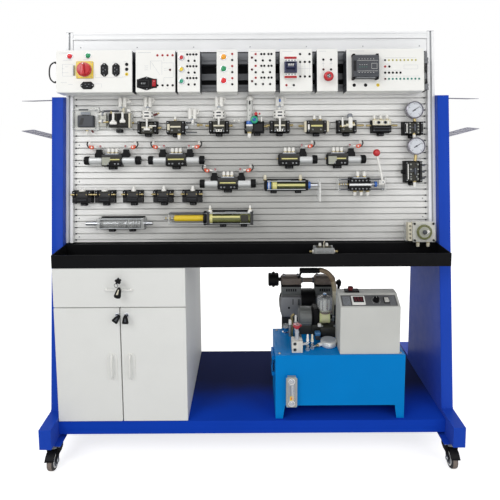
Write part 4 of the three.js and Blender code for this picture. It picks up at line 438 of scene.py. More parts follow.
class Piece:
    """One named object gathered from simple shapes, in millimetres, in the frame it is placed in."""

    def __init__(self, name, place=WORLD):
        self.name = name
        self.place = place
        self.points = []
        self.faces = []
        self.face_looks = []
        self.looks = []

    def add(self, points, faces, look, turn=WORLD):
        start = len(self.points)
        if look not in self.looks:
            self.looks.append(look)
        index = self.looks.index(look)
        matrix = self.place @ turn
        self.points += [matrix @ Vector(p) for p in points]
        self.faces += [[start + i for i in face] for face in faces]
        self.face_looks += [index] * len(faces)
        return self

    def box(self, x, y, z, look, edge=1.0, turn=WORLD):
        """A block between two places on each axis, with its edges taken off."""
        low = (min(x), min(y), min(z))
        high = (max(x), max(y), max(z))
        edge = min([edge] + [(high[a] - low[a]) * 0.4 for a in range(3)])
        points = []
        index = {}
        for signs in product((0, 1), repeat=3):
            for axis in range(3):
                index[signs, axis] = len(points)
                points.append([(high if signs[a] else low)[a]
                    + (0 if a == axis else (-edge if signs[a] else edge)) for a in range(3)])
        faces = []
        for axis in range(3):
            second, third = (axis + 1) % 3, (axis + 2) % 3

            def corner(on, b, c, spot=axis, p=second, q=third):
                signs = [0, 0, 0]
                signs[spot], signs[p], signs[q] = on, b, c
                return tuple(signs)

            for on in (0, 1):
                faces.append([index[corner(on, b, c), axis] for b, c in ((0, 0), (1, 0), (1, 1), (0, 1))])
            for b, c in product((0, 1), repeat=2):
                near, far = corner(0, b, c), corner(1, b, c)
                faces.append([index[near, second], index[far, second], index[far, third],
                    index[near, third]])
        for signs in product((0, 1), repeat=3):
            faces.append([index[signs, axis] for axis in range(3)])
        return self.add(points, faces, look, turn)

    def prism(self, outline, axis, span, look, edge=0.8, turn=WORLD):
        """An outline pulled along an axis, with its end edges taken off."""
        spot = "xyz".index(axis)
        low, high = min(span), max(span)
        edge = min(edge, (high - low) * 0.4)
        inner = inset(outline, edge)
        layers = [(inner, low), (outline, low + edge), (outline, high - edge), (inner, high)]
        points = []
        for ring, height in layers:
            for across, up in ring:
                point = [across, up]
                point.insert(spot, height)
                points.append(point)
        count = len(outline)
        faces = [list(range(count)), [3 * count + i for i in range(count)]]
        for layer in range(3):
            for i in range(count):
                j = (i + 1) % count
                faces.append([layer * count + i, layer * count + j, (layer + 1) * count + j,
                    (layer + 1) * count + i])
        return self.add(points, faces, look, turn)

    def turned(self, profile, centre, axis, look, sides=24, spin=0.0, closed=False):
        """A profile of (radius, height) pairs turned about an axis through centre."""
        about = Matrix.Translation(centre) @ facing(axis)
        points = []
        rings = []
        for radius, height in profile:
            if radius < AT_AXIS:
                rings.append([len(points)])
                points.append(Vector((0, 0, height)))
                continue
            rings.append(list(range(len(points), len(points) + sides)))
            for i in range(sides):
                angle = tau * (i + spin) / sides
                points.append(Vector((radius * cos(angle), radius * sin(angle), height)))
        faces = []
        for low, high in zip(rings, rings[1:] + ([rings[0]] if closed else [])):
            if len(low) == 1 and len(high) == 1:
                continue
            for i in range(sides):
                j = (i + 1) % sides
                corners = [low[i % len(low)], low[j % len(low)], high[j % len(high)], high[i % len(high)]]
                faces.append(list(dict.fromkeys(corners)))
        return self.add(points, faces, look, about)

    def capped(self, profile, centre, axis, look, sides=24):
        """A turned profile whose ends reach the axis."""
        return self.turned([(0, profile[0][1])] + profile + [(0, profile[-1][1])], centre, axis, look,
            sides)

    def rod(self, start, end, radius, look, sides=16, edge=0.6):
        """A round bar between two points."""
        run = Vector(end) - Vector(start)
        edge = min(edge, radius * 0.4, run.length * 0.4)
        profile = [(0, 0), (radius - edge, 0), (radius, edge), (radius, run.length - edge),
            (radius - edge, run.length), (0, run.length)]
        return self.turned(profile, start, run.normalized(), look, sides)

    def ring(self, centre, axis, outer, inner, height, look, sides=24):
        """A washer round an axis."""
        edge = min(0.5, height * 0.3, (outer - inner) * 0.3)
        profile = [(inner, 0), (outer - edge, 0), (outer, edge), (outer, height - edge),
            (outer - edge, height), (inner + edge, height), (inner, height - edge)]
        return self.turned(profile, centre, axis, look, sides, closed=True)

    def ball(self, centre, radius, look, sides):
        """A round ball."""
        steps = 10
        angles = [pi * i / steps - pi / 2 for i in range(steps + 1)]
        profile = [(max(0.0, radius * cos(angle)), radius * sin(angle)) for angle in angles]
        return self.turned(profile, centre, UP, look, sides)

    def tube(self, path, radius, look, sides, soft=True):
        """A round lead or pipe along a path."""
        path = smooth_path(path) if soft else [Vector(p) for p in path]
        ahead = [(b - a).normalized() for a, b in zip(path, path[1:])]
        ahead = [ahead[0]] + [(a + b).normalized() for a, b in zip(ahead, ahead[1:])] + [ahead[-1]]
        side = ahead[0].orthogonal().normalized()
        points = []
        for spot, along in zip(path, ahead):
            side = (side - along * side.dot(along)).normalized()
            other = along.cross(side)
            for i in range(sides):
                angle = tau * i / sides
                points.append(spot + radius * (cos(angle) * side + sin(angle) * other))
        count = len(path)
        faces = [list(range(sides)), [(count - 1) * sides + i for i in range(sides)]]
        for k in range(count - 1):
            for i in range(sides):
                j = (i + 1) % sides
                faces.append([k * sides + i, k * sides + j, (k + 1) * sides + j, (k + 1) * sides + i])
        return self.add(points, faces, look)

    def bars(self, across, deep, ups, look):
        """Level ribs, one at each height in ups."""
        for up in ups:
            self.box(across, deep, up, look, 0.3)

    def screw(self, centre, axis, radius, look="zinc"):
        """A domed screw head with a six-sided recess."""
        rise = radius * 0.55
        profile = [(radius, 0), (radius, rise * 0.35), (radius * 0.82, rise * 0.85), (radius * 0.55, rise)]
        profile += [(radius * 0.50, rise * 0.9), (radius * 0.45, rise * 0.2), (0, rise * 0.2)]
        return self.turned(profile, centre, axis, look, 12)

    def done(self, slot, body="bench", replaces=()):
        """Makes the object, fixes it to its body and gives its finishes."""
        mesh = bpy.data.meshes.new(self.name)
        mesh.from_pydata([p * MM for p in self.points], [], self.faces)
        for look in self.looks:
            mesh.materials.append(LOOKS[look])
        mesh.polygons.foreach_set("material_index", self.face_looks)
        turned = bmesh.new()
        turned.from_mesh(mesh)
        bmesh.ops.recalc_face_normals(turned, faces=turned.faces)
        turned.to_mesh(mesh)
        turned.free()
        mesh.polygons.foreach_set("use_smooth", [True] * len(mesh.polygons))
        mesh.set_sharp_from_angle(angle=SMOOTH_BELOW)
        made = bpy.data.objects.new(self.name, mesh)
        bpy.context.scene.collection.objects.link(made)
        even = made.modifiers.new("even", "WEIGHTED_NORMAL")
        even.keep_sharp = True
        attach(made, body)
        for name in ([replaces] if isinstance(replaces, str) else replaces):
            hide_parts(name)


def box_in(node, place):
    """A node's lowest and highest corners in the frame given, in millimetres."""
    back = place.inverted()
    spots = [back @ (Vector(v.co) / MM) for v in nodes[node].data.vertices]
    return tuple((min(p[a] for p in spots), max(p[a] for p in spots)) for a in range(3))


def keep(node, look, bevel):
    """Shows a CAD node itself with softened edges and a finish."""
    shown = nodes[node]
    for spot in shown.material_slots:
        spot.material = LOOKS[look]
    if not shown.material_slots:
        shown.data.materials.append(LOOKS[look])
    merge = shown.modifiers.new("merge", "WELD")
    merge.merge_threshold = 0.00002
    soft = shown.modifiers.new("soft", "BEVEL")
    soft.width = bevel * MM
    soft.segments = 2
    soft.limit_method = "ANGLE"
    soft.angle_limit = radians(35)
    soft.harden_normals = True


keep("left_side_frame", "frame_blue", 2.5)
keep("right_side_frame", "frame_blue", 2.5)
keep("base_shelf", "shelf_blue_painted_shade", 0.8)
keep("drip_tray", "tray_black", 1.2)
keep("oil_tank", "tank_blue", 1.5)
keep("control_box", "box_grey", 1.2)
keep("cabinet_carcass", "cabinet_grey", 1.0)


# Panel frame: two grooved posts, rails and the plates behind the modules
POST_HALF, POST_INNER, BOARD_HALF = 781.5, 751.5, 751
PANEL_TOP = 892
HEADER_LOW = 861
SIDES = (("left", -1), ("right", 1))
for side, sign in SIDES:
    post = Piece(f"{side}_panel_post", PANEL)
    outline = [(POST_INNER, -19), (POST_INNER + 1, -20), (762.5, -20), (762.5, -16), (758.5, -16),
        (758.5, -11), (774.5, -11), (774.5, -16), (770.5, -16), (770.5, -20), (POST_HALF - 1, -20),
        (POST_HALF, -19), (POST_HALF, -4), (777.5, -4), (777.5, -8), (773.5, -8), (773.5, 8), (777.5, 8),
        (777.5, 4), (POST_HALF, 4), (POST_HALF, 19), (POST_HALF - 1, 20), (POST_INNER + 1, 20),
        (POST_INNER, 19)]
    post.prism([(sign * x, y) for x, y in outline], "z", (2.5, PANEL_TOP), "post_aluminium", 0)
    post.box([sign * 759.2, sign * 773.8], (-15.9, -11.6), (4, PANEL_TOP - 1), "groove_grey", 0.2)
    post.prism(rounded(sorted([sign * POST_INNER, sign * POST_HALF]), (-20, 20), 2), "z",
        (PANEL_TOP - 0.4, PANEL_TOP + 2), "mid_grey", 0.6)
    for height in (60, 300, 560, 800):
        post.screw((sign * 766.5, -11.6, height), OUT, 3.4)
    post.done("aluminium", replaces="panel_frame")
rail = Piece("panel_top_rail", PANEL)
rail.prism([(-18, HEADER_LOW + 0.5), (-19, HEADER_LOW + 1.5), (-19, 869), (-17.4, 870), (-17.4, 883),
    (-19, 884), (-19, PANEL_TOP - 1.2), (-18, PANEL_TOP), (18, PANEL_TOP), (19, PANEL_TOP - 1),
    (19, HEADER_LOW + 1), (18, HEADER_LOW + 0.5)], "x", (-POST_INNER, POST_INNER), "post_aluminium", 0)
rail.done("aluminium")
header = Piece("header_plate", PANEL)
header.box((-BOARD_HALF, BOARD_HALF), (-16, -13), (808, HEADER_LOW - 0.4), "post_aluminium", 0.6)
for z in ((855, 858), (809, 812)):
    header.box((-BOARD_HALF, BOARD_HALF), (-16.8, -15.6), z, "post_aluminium", 0.3)
for x in range(-720, 721, 240):
    header.screw((x, -16, 830), OUT, 2.6)
header.done("aluminium")
for name, low, high in (("upper_cradle_rail", 752, 777), ("lower_cradle_rail", 640, 665)):
    cradle = Piece(name, PANEL)
    cradle.prism([(0, low), (-33, low), (-34, low + 1), (-34, low + 9), (-30, low + 9), (-30, high - 9),
        (-34, high - 9), (-34, high - 1), (-33, high), (0, high)], "x", (-POST_INNER, POST_INNER),
        "rail_grey", 0)
    cradle.done("aluminium")
sheet = Piece("panel_back_sheet", PANEL)
sheet.box((-BOARD_HALF, BOARD_HALF), (0, 2), (618, HEADER_LOW - 0.4), "soft_black", 0.3)
sheet.box((-BOARD_HALF, BOARD_HALF), (-3, 0), (618, 639.4), "board_aluminium_painted_light", 0.6)
sheet.box((-BOARD_HALF, BOARD_HALF), (-20, 0), (777.5, 803), "rail_grey")
sheet.box((-BOARD_HALF, BOARD_HALF), (-14, 0), (688, 716), "rail_grey")
sheet.done("aluminium")

# Slotted boards
SLOT_PITCH, FIRST_SLOT = 26, 38.5
MOUTH, LIP, HEAD, SLOT_DEPTH = 2.3, 5, 8, 11


def slotted_board(name, node, low, high):
    """A board with T-shaped slots, end caps and screws along both ends."""
    piece = Piece(name, PANEL)
    outline = [(15, low), (0.6, low), (0, low + 0.6)]
    first = ceil((low - FIRST_SLOT + HEAD) / SLOT_PITCH)
    heights = []
    height = FIRST_SLOT + first * SLOT_PITCH
    while height + HEAD < high:
        heights.append(height)
        height += SLOT_PITCH
    for height in heights:
        outline += [(0, height - MOUTH - 0.6), (0.6, height - MOUTH), (LIP, height - MOUTH),
            (LIP, height - HEAD), (SLOT_DEPTH, height - HEAD), (SLOT_DEPTH, height + HEAD),
            (LIP, height + HEAD), (LIP, height + MOUTH), (0.6, height + MOUTH), (0, height + MOUTH + 0.6)]
    outline += [(0, high - 0.6), (0.6, high), (15, high)]
    piece.prism(outline, "x", (-BOARD_HALF, BOARD_HALF), "board_aluminium_painted_light", 0)
    for height, side in product(heights, (-1, 1)):
        piece.capped([(3.4, 0), (3.4, 2), (2.4, 2.6)], (side * (BOARD_HALF - 7), 1, height), OUT,
            "dark_grey", 12)
    for side in (-1, 1):
        for number in range(int((high - low) // 78) + 1):
            spot = FIRST_SLOT + (first + 3 * number + 0.5) * SLOT_PITCH
            if low + 8 < spot < high - 8:
                piece.screw((side * (BOARD_HALF - 20), 0, spot), OUT, 3.2)
    piece.done("aluminium", replaces=node)


slotted_board("lower_board", "lower_slotted_board", 2.5, 234)
slotted_board("upper_board", "upper_slotted_board", 234.4, 628)


# Small parts that the air valves share
ROW_Y, COLUMN_Y, VALVE_DEPTH = -22, -24, 42


def air_fitting(piece, spot, axis, length, radius, sleeve="fitting_white"):
    """A push-in fitting: brass hexagon, pale sleeve and release ring round a dark bore."""
    piece.capped([(radius * 1.15, 0), (radius * 1.15, length * 0.26)], spot, axis, "brass", 6)
    piece.capped([(radius * 0.95, length * 0.24), (radius, length * 0.3), (radius, length * 0.74),
        (radius * 0.88, length * 0.8)], spot, axis, sleeve, 20)
    piece.turned([(radius * 0.42, length * 0.7), (radius * 0.72, length * 0.7),
        (radius * 0.86, length * 0.86), (radius * 0.82, length), (radius * 0.42, length)], spot, axis,
        sleeve, 20, closed=True)
    piece.capped([(radius * 0.44, length * 0.72), (radius * 0.44, length * 0.84)], spot, axis, "soft_black",
        12)


def side_fitting(piece, x, z, sense, y=ROW_Y, length=16, radius=5):
    """A brass fitting that leaves a valve sideways, with its knurled nut."""
    piece.capped([(radius, 0), (radius, 4), (radius * 0.6, 4.5), (radius * 0.6, 6), (radius * 1.1, 6.4),
        (radius * 1.1, length - 3), (radius * 0.7, length - 2), (radius * 0.7, length)], (x, y, z),
        (sense, 0, 0), "brass", 12)


def ribbed_knob(piece, spot, axis, radius, height, look, ribs, depth):
    """A knob with ribs round its side and soft ends."""
    about = Matrix.Translation(spot) @ facing(axis)
    sides = ribs * 2
    points = []
    for share, rise in ((0.86, 0), (1, 0.06), (1, 0.9), (0.9, 1), (0.5, 0.94)):
        for i in range(sides):
            reach = radius * share - (depth if i % 2 and 0.01 < rise < 0.99 and share > 0.95 else 0)
            angle = tau * i / sides
            points.append((reach * cos(angle), reach * sin(angle), height * rise))
    faces = [list(range(sides)), [4 * sides + i for i in range(sides)]]
    for k in range(4):
        for i in range(sides):
            j = (i + 1) % sides
            faces.append([k * sides + i, k * sides + j, (k + 1) * sides + j, (k + 1) * sides + i])
    piece.add(points, faces, look, about)


def clip_foot(piece, x, low, width=27):
    """The black clip under a valve that hooks into a slot of the board."""
    piece.box(around(x, width), (-24, -1), (low - 12, low + 2), "soft_black", 2)
    piece.box(around(x, width * 0.66), (-26.5, -20), (low - 10, low - 2.5), "black_plastic")
    for side in (-1, 1):
        piece.box(around(x + side * width * 0.26, 2), (-27.6, -25.8), (low - 9, low - 3.5), "dark_grey",
            0.4)


def valve_base(piece, x, z, width, height):
    """The black carrier of a valve: back plate, two cheeks and their screws."""
    half = width / 2
    low, high = z - height / 2, z + height / 2
    piece.box((x - half, x + half), (-9, -1), (low, high), "soft_black", 1.2)
    for side in (-1, 1):
        inner, outer = x + side * (half - 15), x + side * half
        piece.box((inner, outer), (-VALVE_DEPTH + 5, -8), (low + 2, high - 2), "soft_black", 2)
        piece.box((inner + side * 2, outer - side * 2), (-VALVE_DEPTH, -VALVE_DEPTH + 6),
            (low + 6, high - 6), "black_plastic", 1.5)
        for level in (low + 10, high - 10):
            piece.screw((x + side * (half - 7.5), -VALVE_DEPTH, level), OUT, 2.4)
    clip_foot(piece, x, low)


def valve_core(piece, x, z, width, height, band="cream"):
    """The body between a carrier's cheeks, with a lighter band and two bores."""
    piece.box(around(x, width), (-VALVE_DEPTH + 2, -8), around(z, height), "olive", 1.5)
    piece.box(around(x, width * 0.86), (-VALVE_DEPTH + 0.4, -VALVE_DEPTH + 3),
        around(z + height * 0.06, height * 0.14), band, 0.6)
    for side in (-1, 1):
        piece.ring((x + side * width * 0.3, -VALVE_DEPTH + 2.2, z - height * 0.26), OUT, 3.4, 1.8, 1.6,
            "zinc", 12)


def twin_tube(piece, x, low, height):
    """Two pale tubes side by side on one funnel, with a small bent bracket at their right."""
    piece.capped([(3, 0), (4, 5), (9, 9), (9, 12)], (x, COLUMN_Y, low - 10), UP, "label_grey", 16)
    for side in (-1, 1):
        piece.capped([(7.6, 0), (8.6, 2), (8.6, height * 0.2), (7.6, height * 0.22), (7.6, height * 0.42),
            (8.6, height * 0.44), (8.6, height * 0.9), (7.8, height), (5, height), (4.6, height * 0.9)],
            (x + side * 10, COLUMN_Y, low), UP, "fitting_white", 18)
    piece.box(around(x, 12), (-27, -22), (low + height * 0.3, low + height * 0.44), "fitting_white")
    piece.tube([(x + 17, COLUMN_Y, low + height * 0.9), (x + 25, COLUMN_Y, low + height * 0.88),
        (x + 24, COLUMN_Y, low + height * 0.6), (x + 16, COLUMN_Y, low + height * 0.45)], 2.8,
        "fitting_white", 10)


def needle_top(piece, x, low):
    """A flow knob: a wide pale collar with two dark windows, and two tubes above it."""
    collar = 26
    piece.rod((x, COLUMN_Y, low - 2), (x, COLUMN_Y, low + 54), 5, "fitting_white", 14)
    piece.turned([(collar * 0.7, 3), (collar * 0.92, 5), (collar, 10), (collar, 32), (collar * 0.92, 38),
        (collar * 0.6, 41), (0, 41), (0, 3)], (x, COLUMN_Y, low), UP, "fitting_white", 28)
    for level in (12, 26):
        piece.box(around(x, collar * 0.72), (COLUMN_Y - collar - 0.6, COLUMN_Y - collar + 5),
            (low + level, low + level + 6), "dark_grey", 0.6)
        for side in (-1, 1):
            piece.box(around(x + side * collar * 0.8, 4),
                (COLUMN_Y - collar * 0.72, COLUMN_Y - collar * 0.3), (low + level + 0.5, low + level + 6),
                "ink", 0.4)
    twin_tube(piece, x, low + 56, 40)


def front_stem(piece, x, high, low, foot=0):
    """A pale spindle in front of a valve, ending in a cross foot."""
    piece.rod((x, -45, high), (x, -45, low), 4.2, "fitting_white", 12)
    piece.ring((x, -45, high - 3), DOWN, 6, 3, 4, "fitting_white", 12)
    if foot:
        piece.box(around(x, foot), (-49, -42), (low - 2, low + 7), "fitting_white", 1.5)


# First row, from the left
relay = Piece("relay_valve_box", PANEL)
for x in ((-751, -746), (-648, -643)):
    relay.box(x, (-34, -2), (486, 558), "clear_plastic", 1.4)
for z in ((477, 482), (562, 567)):
    relay.box((-744, -650), (-34, -2), z, "clear_plastic", 1.4)
relay.prism(rounded((-750, -644), (478, 578), 9), "y", (-6, -1), "plate_pale", 0.6)
relay.prism(rounded((-751.4, -642.6), (476.6, 579.4), 10), "y", (-1.6, -0.6), "mid_grey", 0.3)
relay.box((-641, -610), (-20, -2), (492, 548), "plate_grey", 2)
relay.box((-730, -662), (-30, -4), (490, 541), "dark_grey", 3)
relay.box((-727, -665), (-32.4, -29.6), (493, 538), "dark_grey", 1.4)
relay.add([(-722, -32.8, 500), (-708, -32.8, 500), (-700, -32.8, 528), (-714, -32.8, 528)], [(0, 1, 2, 3)],
    "cast_dark")
relay.box((-742, -652), (-33.6, -32.6), (484, 487), "fitting_white", 0.4)
relay.box((-722, -682), (-36, -34.4), (559.5, 566), "dark_grey", 0.4)
relay.box((-722, -682), (-12, -4), (545, 556), "label_grey", 0.6)
for x, z in ((-743, 485), (-651, 485), (-743, 559), (-651, 559)):
    relay.screw((x, -34, z), OUT, 3.2)
air_fitting(relay, (-694, -18, 478), DOWN, 17, 6)
relay.rod((-674, -18, 478), (-665, -18, 468), 4, "dark_red", 10)
relay.done("clear_plastic")

twin = Piece("twin_throttle_valve", PANEL)
for z in (515, 546):
    twin.capped([(5, 0), (5, 8), (7, 8.5), (7, 15), (4, 16), (4, 31)], (-643, -20, z), RIGHT,
        "fitting_white", 16)
    twin.ring((-629, -20, z), RIGHT, 8, 4, 6, "mid_grey", 6)
twin.box((-614, -500), (-9, -1), (478, 552), "clear_plastic")
twin.box((-596, -514), (-38, -9), (488, 546), "olive", 2)
twin.box((-594, -516), (-40, -36), (490, 500), "black_plastic")
twin.box((-594, -580), (-41, -36), (502, 544), "soft_black")
twin.box((-561, -532), (-41, -36), (505, 544), "soft_black")
twin.rod((-618, -26, 558), (-556, -26, 558), 4, "dark_steel", 14)
twin.rod((-624, -26, 558), (-618, -26, 558), 5.5, "zinc", 12)
twin.rod((-588, -26, 546), (-588, -26, 560), 4, "brass", 10)
for x, low, foot in ((-574, 513, 30), (-535, 520, 24)):
    twin.rod((x, -46, 550), (x, -46, low), 5, "fitting_white", 14)
    twin.box(around(x, foot), (-52, -40), (low - 14, low - 1), "fitting_white", 3)
    twin.box(around(x, foot * 0.6), (-50, -42), (low - 2, low + 4), "fitting_white", 1.5)
twin.box((-513, -505), (-38, -10), (486, 548), "cream", 1.5)
twin.box((-505, -500), (-30, -12), (494, 540), "clear_plastic")
twin.rod((-537, -24, 546), (-537, -24, 580), 6, "cream", 14)
twin_tube(twin, -541, 574, 40)
twin.box((-514, -503), (-28, -18), (592, 604), "fitting_white", 2)
twin.box((-521, -506), (-30, -16), (552, 566), "fitting_white", 2)
side_fitting(twin, -501, 508, 1, -20, 8)
clip_foot(twin, -555, 479)
twin.done("black_plastic")

link = Piece("valve_link_pipe", PANEL)
link.rod((-643, -20, 512), (-600, -20, 512), 4, "brass", 12)
link.done("steel")

first = Piece("throttle_valve_1", PANEL)
valve_base(first, -434, 488, 84, 54)
valve_core(first, -434, 484, 52, 44)
needle_top(first, -434, 518)
front_stem(first, -434, 522, 476, 26)
first.box((-424, -395), (-47, -41), (490, 495), "fitting_white")
first.rod((-408, -30, 538), (-392, -30, 545), 5, "dark_red", 12)
first.rod((-392, -30, 545), (-384, -30, 548), 3.5, "brass", 10)
side_fitting(first, -392, 486, 1)
first.done("black_plastic")

roller = Piece("roller_valve", PANEL)
valve_base(roller, -315, 487, 78, 58)
valve_core(roller, -315, 486, 50, 48)
roller.box((-349, -339), (-44, -39), (474, 500), "cream")
for z in (508, 466):
    roller.rod((-277, ROW_Y, z), (-226, ROW_Y, z), 2.5, "dark_steel", 12)
    roller.ring((-277, ROW_Y, z), RIGHT, 5, 2.5, 4, "zinc", 12)
roller.box((-286, -262), (-30, -14), (480, 494), "zinc", 2)
air_fitting(roller, (-318, ROW_Y, 516), UP, 18, 5.5)
air_fitting(roller, (-301, -30, 460), DOWN, 24, 7)
twin_tube(roller, -246, 522, 44)
roller.rod((-244, -24, 504), (-244, -24, 524), 6, "fitting_white", 12)
roller.box((-252, -228), (-27, -17), (497, 507), "clear_plastic", 2)
roller.ring((-226, ROW_Y, 497), RIGHT, 6.5, 3, 9, "brass", 12)
roller.rod((-226, ROW_Y, 497), (-202, ROW_Y, 497), 4, "brass", 12)
roller.done("black_plastic")

for number, x, stem_low in ((2, -133, 496), (3, 123, 470)):
    throttle = Piece(f"throttle_valve_{number}", PANEL)
    valve_base(throttle, x, 488, 84, 54)
    valve_core(throttle, x, 490, 52, 44)
    needle_top(throttle, x, 518)
    front_stem(throttle, x, 524, stem_low)
    throttle.box(around(x, 26), (-47, -41), (467, 477), "fitting_white")
    for side in (-1, 1):
        throttle.box(around(x + side * 6, 4), (-48, -46), (469, 475), "ink", 0.3)
        throttle.box(around(x + side * 20, 5), (-46, -41), (466, 473), "mid_grey", 0.8)
        side_fitting(throttle, x + side * 42, 494, side)
    if number == 3:
        throttle.box(around(x, 7), (-46.6, -44), (590, 602), "ring_blue", 0.5)
    throttle.done("black_plastic")

regulator = Piece("regulator_valve", PANEL)
regulator_line = (-3, -22, 0)
regulator.box((-26, 58), (-9, -1), (461, 513), "soft_black", 1.2)
regulator.box((8, 56), (-40, -8), (463, 511), "soft_black", 2.5)
regulator.box((14, 50), (-42, -38), (468, 500), "black_plastic", 1.5)
regulator.box((-26, -12), (-36, -8), (480, 512), "soft_black", 2)
regulator.capped([(8, 462), (17, 474), (23, 480), (23, 490)], regulator_line, UP, "motor_grey", 6)
regulator.capped([(20, 489), (21, 491), (21, 497)], regulator_line, UP, "fitting_white", 28)
regulator.capped([(19, 496), (20, 498), (20, 510), (18, 512)], regulator_line, UP, "ring_blue", 28)
regulator.capped([(11, 511), (11, 606)], regulator_line, UP, "fitting_white")
regulator.turned([(11.2, 511), (13, 511), (13, 604), (11.2, 604)], regulator_line, UP, "clear_plastic",
    closed=True)
regulator.turned([(0, 600), (15, 600), (17.5, 603), (17.5, 612), (9, 620), (0, 621)], regulator_line, UP,
    "fitting_white", 6)
regulator.prism([(-6, 597), (0, 597), (0, 586), (2, 586), (-3, 580), (-8, 586), (-6, 586)], "y",
    (-36.2, -34.6), "ink", 0)
for z in (556, 534):
    regulator.box(around(-3, 5), (-36.2, -34.4), (z, z + 3), "ink", 0.2)
air_fitting(regulator, (-5, -30, 466), DOWN, 24, 8)
for x in (-68, -47):
    regulator.rod((x, -22, 514), (x, -14, 514), 3, "brass", 10)
    regulator.ball((x, -24, 515), 6, "fitting_white", 14)
regulator.rod((-74, -18, 514), (-26, -18, 500), 3.2, "clear_plastic", 12)
regulator.capped([(16, 0), (16, 10), (13, 13), (7, 13), (7, 9)], (16, -40, 516), OUT, "green", 28)
regulator.capped([(7, 9), (7, 15), (5, 17)], (16, -40, 516), OUT, "ring_blue", 18)
regulator.rod((23, -40, 541), (23, -52, 541), 7, "red", 18, 1.5)
regulator.rod((31, -40, 541), (31, -50, 541), 3, "cream", 10)
regulator.rod((38, -40, 541), (38, -49, 541), 4, "red", 12, 1)
regulator.rod((24, -34, 536), (24, -34, 510), 6, "soft_black", 14)
regulator.rod((46, -44, 508), (46, -44, 528), 3, "fitting_white", 10)
side_fitting(regulator, 58, 490, 1)
clip_foot(regulator, 28, 463)
regulator.done("black_plastic")

two_port = Piece("two_port_valve", PANEL)
valve_base(two_port, 278, 487, 84, 56)
valve_core(two_port, 278, 487, 56, 50, band="pale_yellow")
for x in ((226, 236), (320, 330)):
    two_port.box(x, (-40, -6), (464, 511), "cream", 2)
two_port.box((240, 248), (-44, -40), (474, 496), "fitting_white")
for x in (270, 295):
    air_fitting(two_port, (x, ROW_Y, 514), UP, 21, 6.5)
side_fitting(two_port, 226, 491, -1, -22, 24)
two_port.done("black_plastic")

check = Piece("check_valve", PANEL)
valve_base(check, 405, 487, 82, 56)
valve_core(check, 405, 487, 50, 48)
check.box(around(419, 17), (-48, -38), (480, 526), "fitting_white", 3)
check.box((400, 438), (-47, -40), (488, 498), "cream", 2)
check.turned([(0, 522), (11, 522), (12, 525), (11, 536), (8, 541), (0, 542)], (419, -30, 0), UP, "mid_grey",
    20)
check.rod((386, -42, 524), (386, -42, 484), 4, "fitting_white", 12)
check.rod((374, -42, 488), (394, -42, 484), 3.4, "brass", 10)
check.ring((430, -42, 500), OUT, 5, 2.5, 4, "brass", 12)
side_fitting(check, 446, 492, 1, -22, 34, 4.4)
check.done("black_plastic")

three_port = Piece("three_port_valve", PANEL)
valve_base(three_port, 551, 487, 82, 56)
three_port.box((512, 590), (-43, -8), (490, 515), "cream", 2)
three_port.box((511, 591), (-42, -8), (462, 488), "soft_black", 2)
three_port.bars((516, 586), (-43.5, -41), ((468, 470), (480, 482)), "dark_grey")
for x in (537, 565):
    three_port.rod((x, -42, 502), (x, -46, 502), 6, "soft_black")
    three_port.ring((x, -43, 502), OUT, 7.5, 5, 2, "zinc", 16)
for x in (524, 551, 578):
    air_fitting(three_port, (x, ROW_Y, 514), UP, 20, 6)
    three_port.rod((x, -43, 508), (x, -43, 496), 3.4, "fitting_white", 10)
side_fitting(three_port, 592, 491, 1, -22, 30, 4)
side_fitting(three_port, 510, 491, -1, -22, 22, 4)
three_port.done("black_plastic")


def dial_gauge(name, x, z, block, block_size, turn):
    """A pressure gauge on its block: rimmed white dial, ticks and a needle."""
    gauge = Piece(name, PANEL)
    bx, bz = block
    width, height = block_size
    valve_base(gauge, bx, bz, width, height)
    valve_core(gauge, bx, bz, width - 32, height - 12, band="dark_grey")
    for side in (-1, 1):
        for step in range(4):
            spot = (bx + side * width * 0.2, -40, bz + (step - 1.5) * height * 0.22)
            gauge.capped([(5.4, 0), (5.4, 3), (3.8, 4), (3.8, 8)], spot, OUT, "dark_grey", 14)
            gauge.capped([(2.8, 7.4), (2.8, 9)], spot, OUT, "smoke", 12)
    if height > 80:
        gauge.capped([(9, 0), (9, 10), (7, 13)], (bx - width / 2, -26, bz), LEFT, "soft_black", 20)
        for step in range(3):
            gauge.rod((bx + width / 2 - 2, -26, bz + (step - 1) * 27),
                (bx + width / 2 + 13, -26, bz + (step - 1) * 27), 4.4, "dark_steel", 12)
    gauge.box(around(bx - width * 0.34, 4), (-45, -40), around(bz, height * 0.7), "fitting_white")
    gauge.rod((bx + 6, -38, bz + height / 2 - 2), (x, -36, z - 30), 7, "brass", 6)
    gauge.rod((bx + 4, -44, bz + 16), (bx + 4, -44, bz - 12), 4, "dark_steel", 12)
    air_fitting(gauge, (bx + 4, -34, bz - height / 2 + 8), DOWN, 24, 6.5)
    gauge.capped([(32, 0), (34, 2), (35, 6), (35, 22), (34.4, 25), (32.5, 26), (31.5, 24.5), (31.5, 22)],
        (x, -24, z), OUT, "gauge_rim", 40)
    gauge.ring((x, -24, z), OUT, 36.2, 34.5, 26, "gauge_rim", 40)
    gauge.capped([(31.4, 21), (31.4, 22.6)], (x, -24, z), OUT, "gauge_face", 40)
    for step in range(21):
        angle = radians(225 - 270 * step / 20)
        long = step % 5 == 0
        inner, outer = (22 if long else 25), 28
        turn_tick = placed((x, 0, z), -angle)
        gauge.box((inner, outer), (-47.2, -46.4), (-0.6 if long else -0.35, 0.6 if long else 0.35), "ink",
            0.1, turn_tick)
    hand = placed((x, 0, z), -radians(turn))
    gauge.prism([(-12, -1.6), (24, -0.5), (27, 0), (24, 0.5), (-12, 1.6)], "y", (-48.4, -47.4), "ink", 0.2,
        hand)
    gauge.capped([(3.4, 22), (3.4, 25), (2.6, 26)], (x, -24, z), OUT, "dark_steel", 16)
    gauge.done("steel")


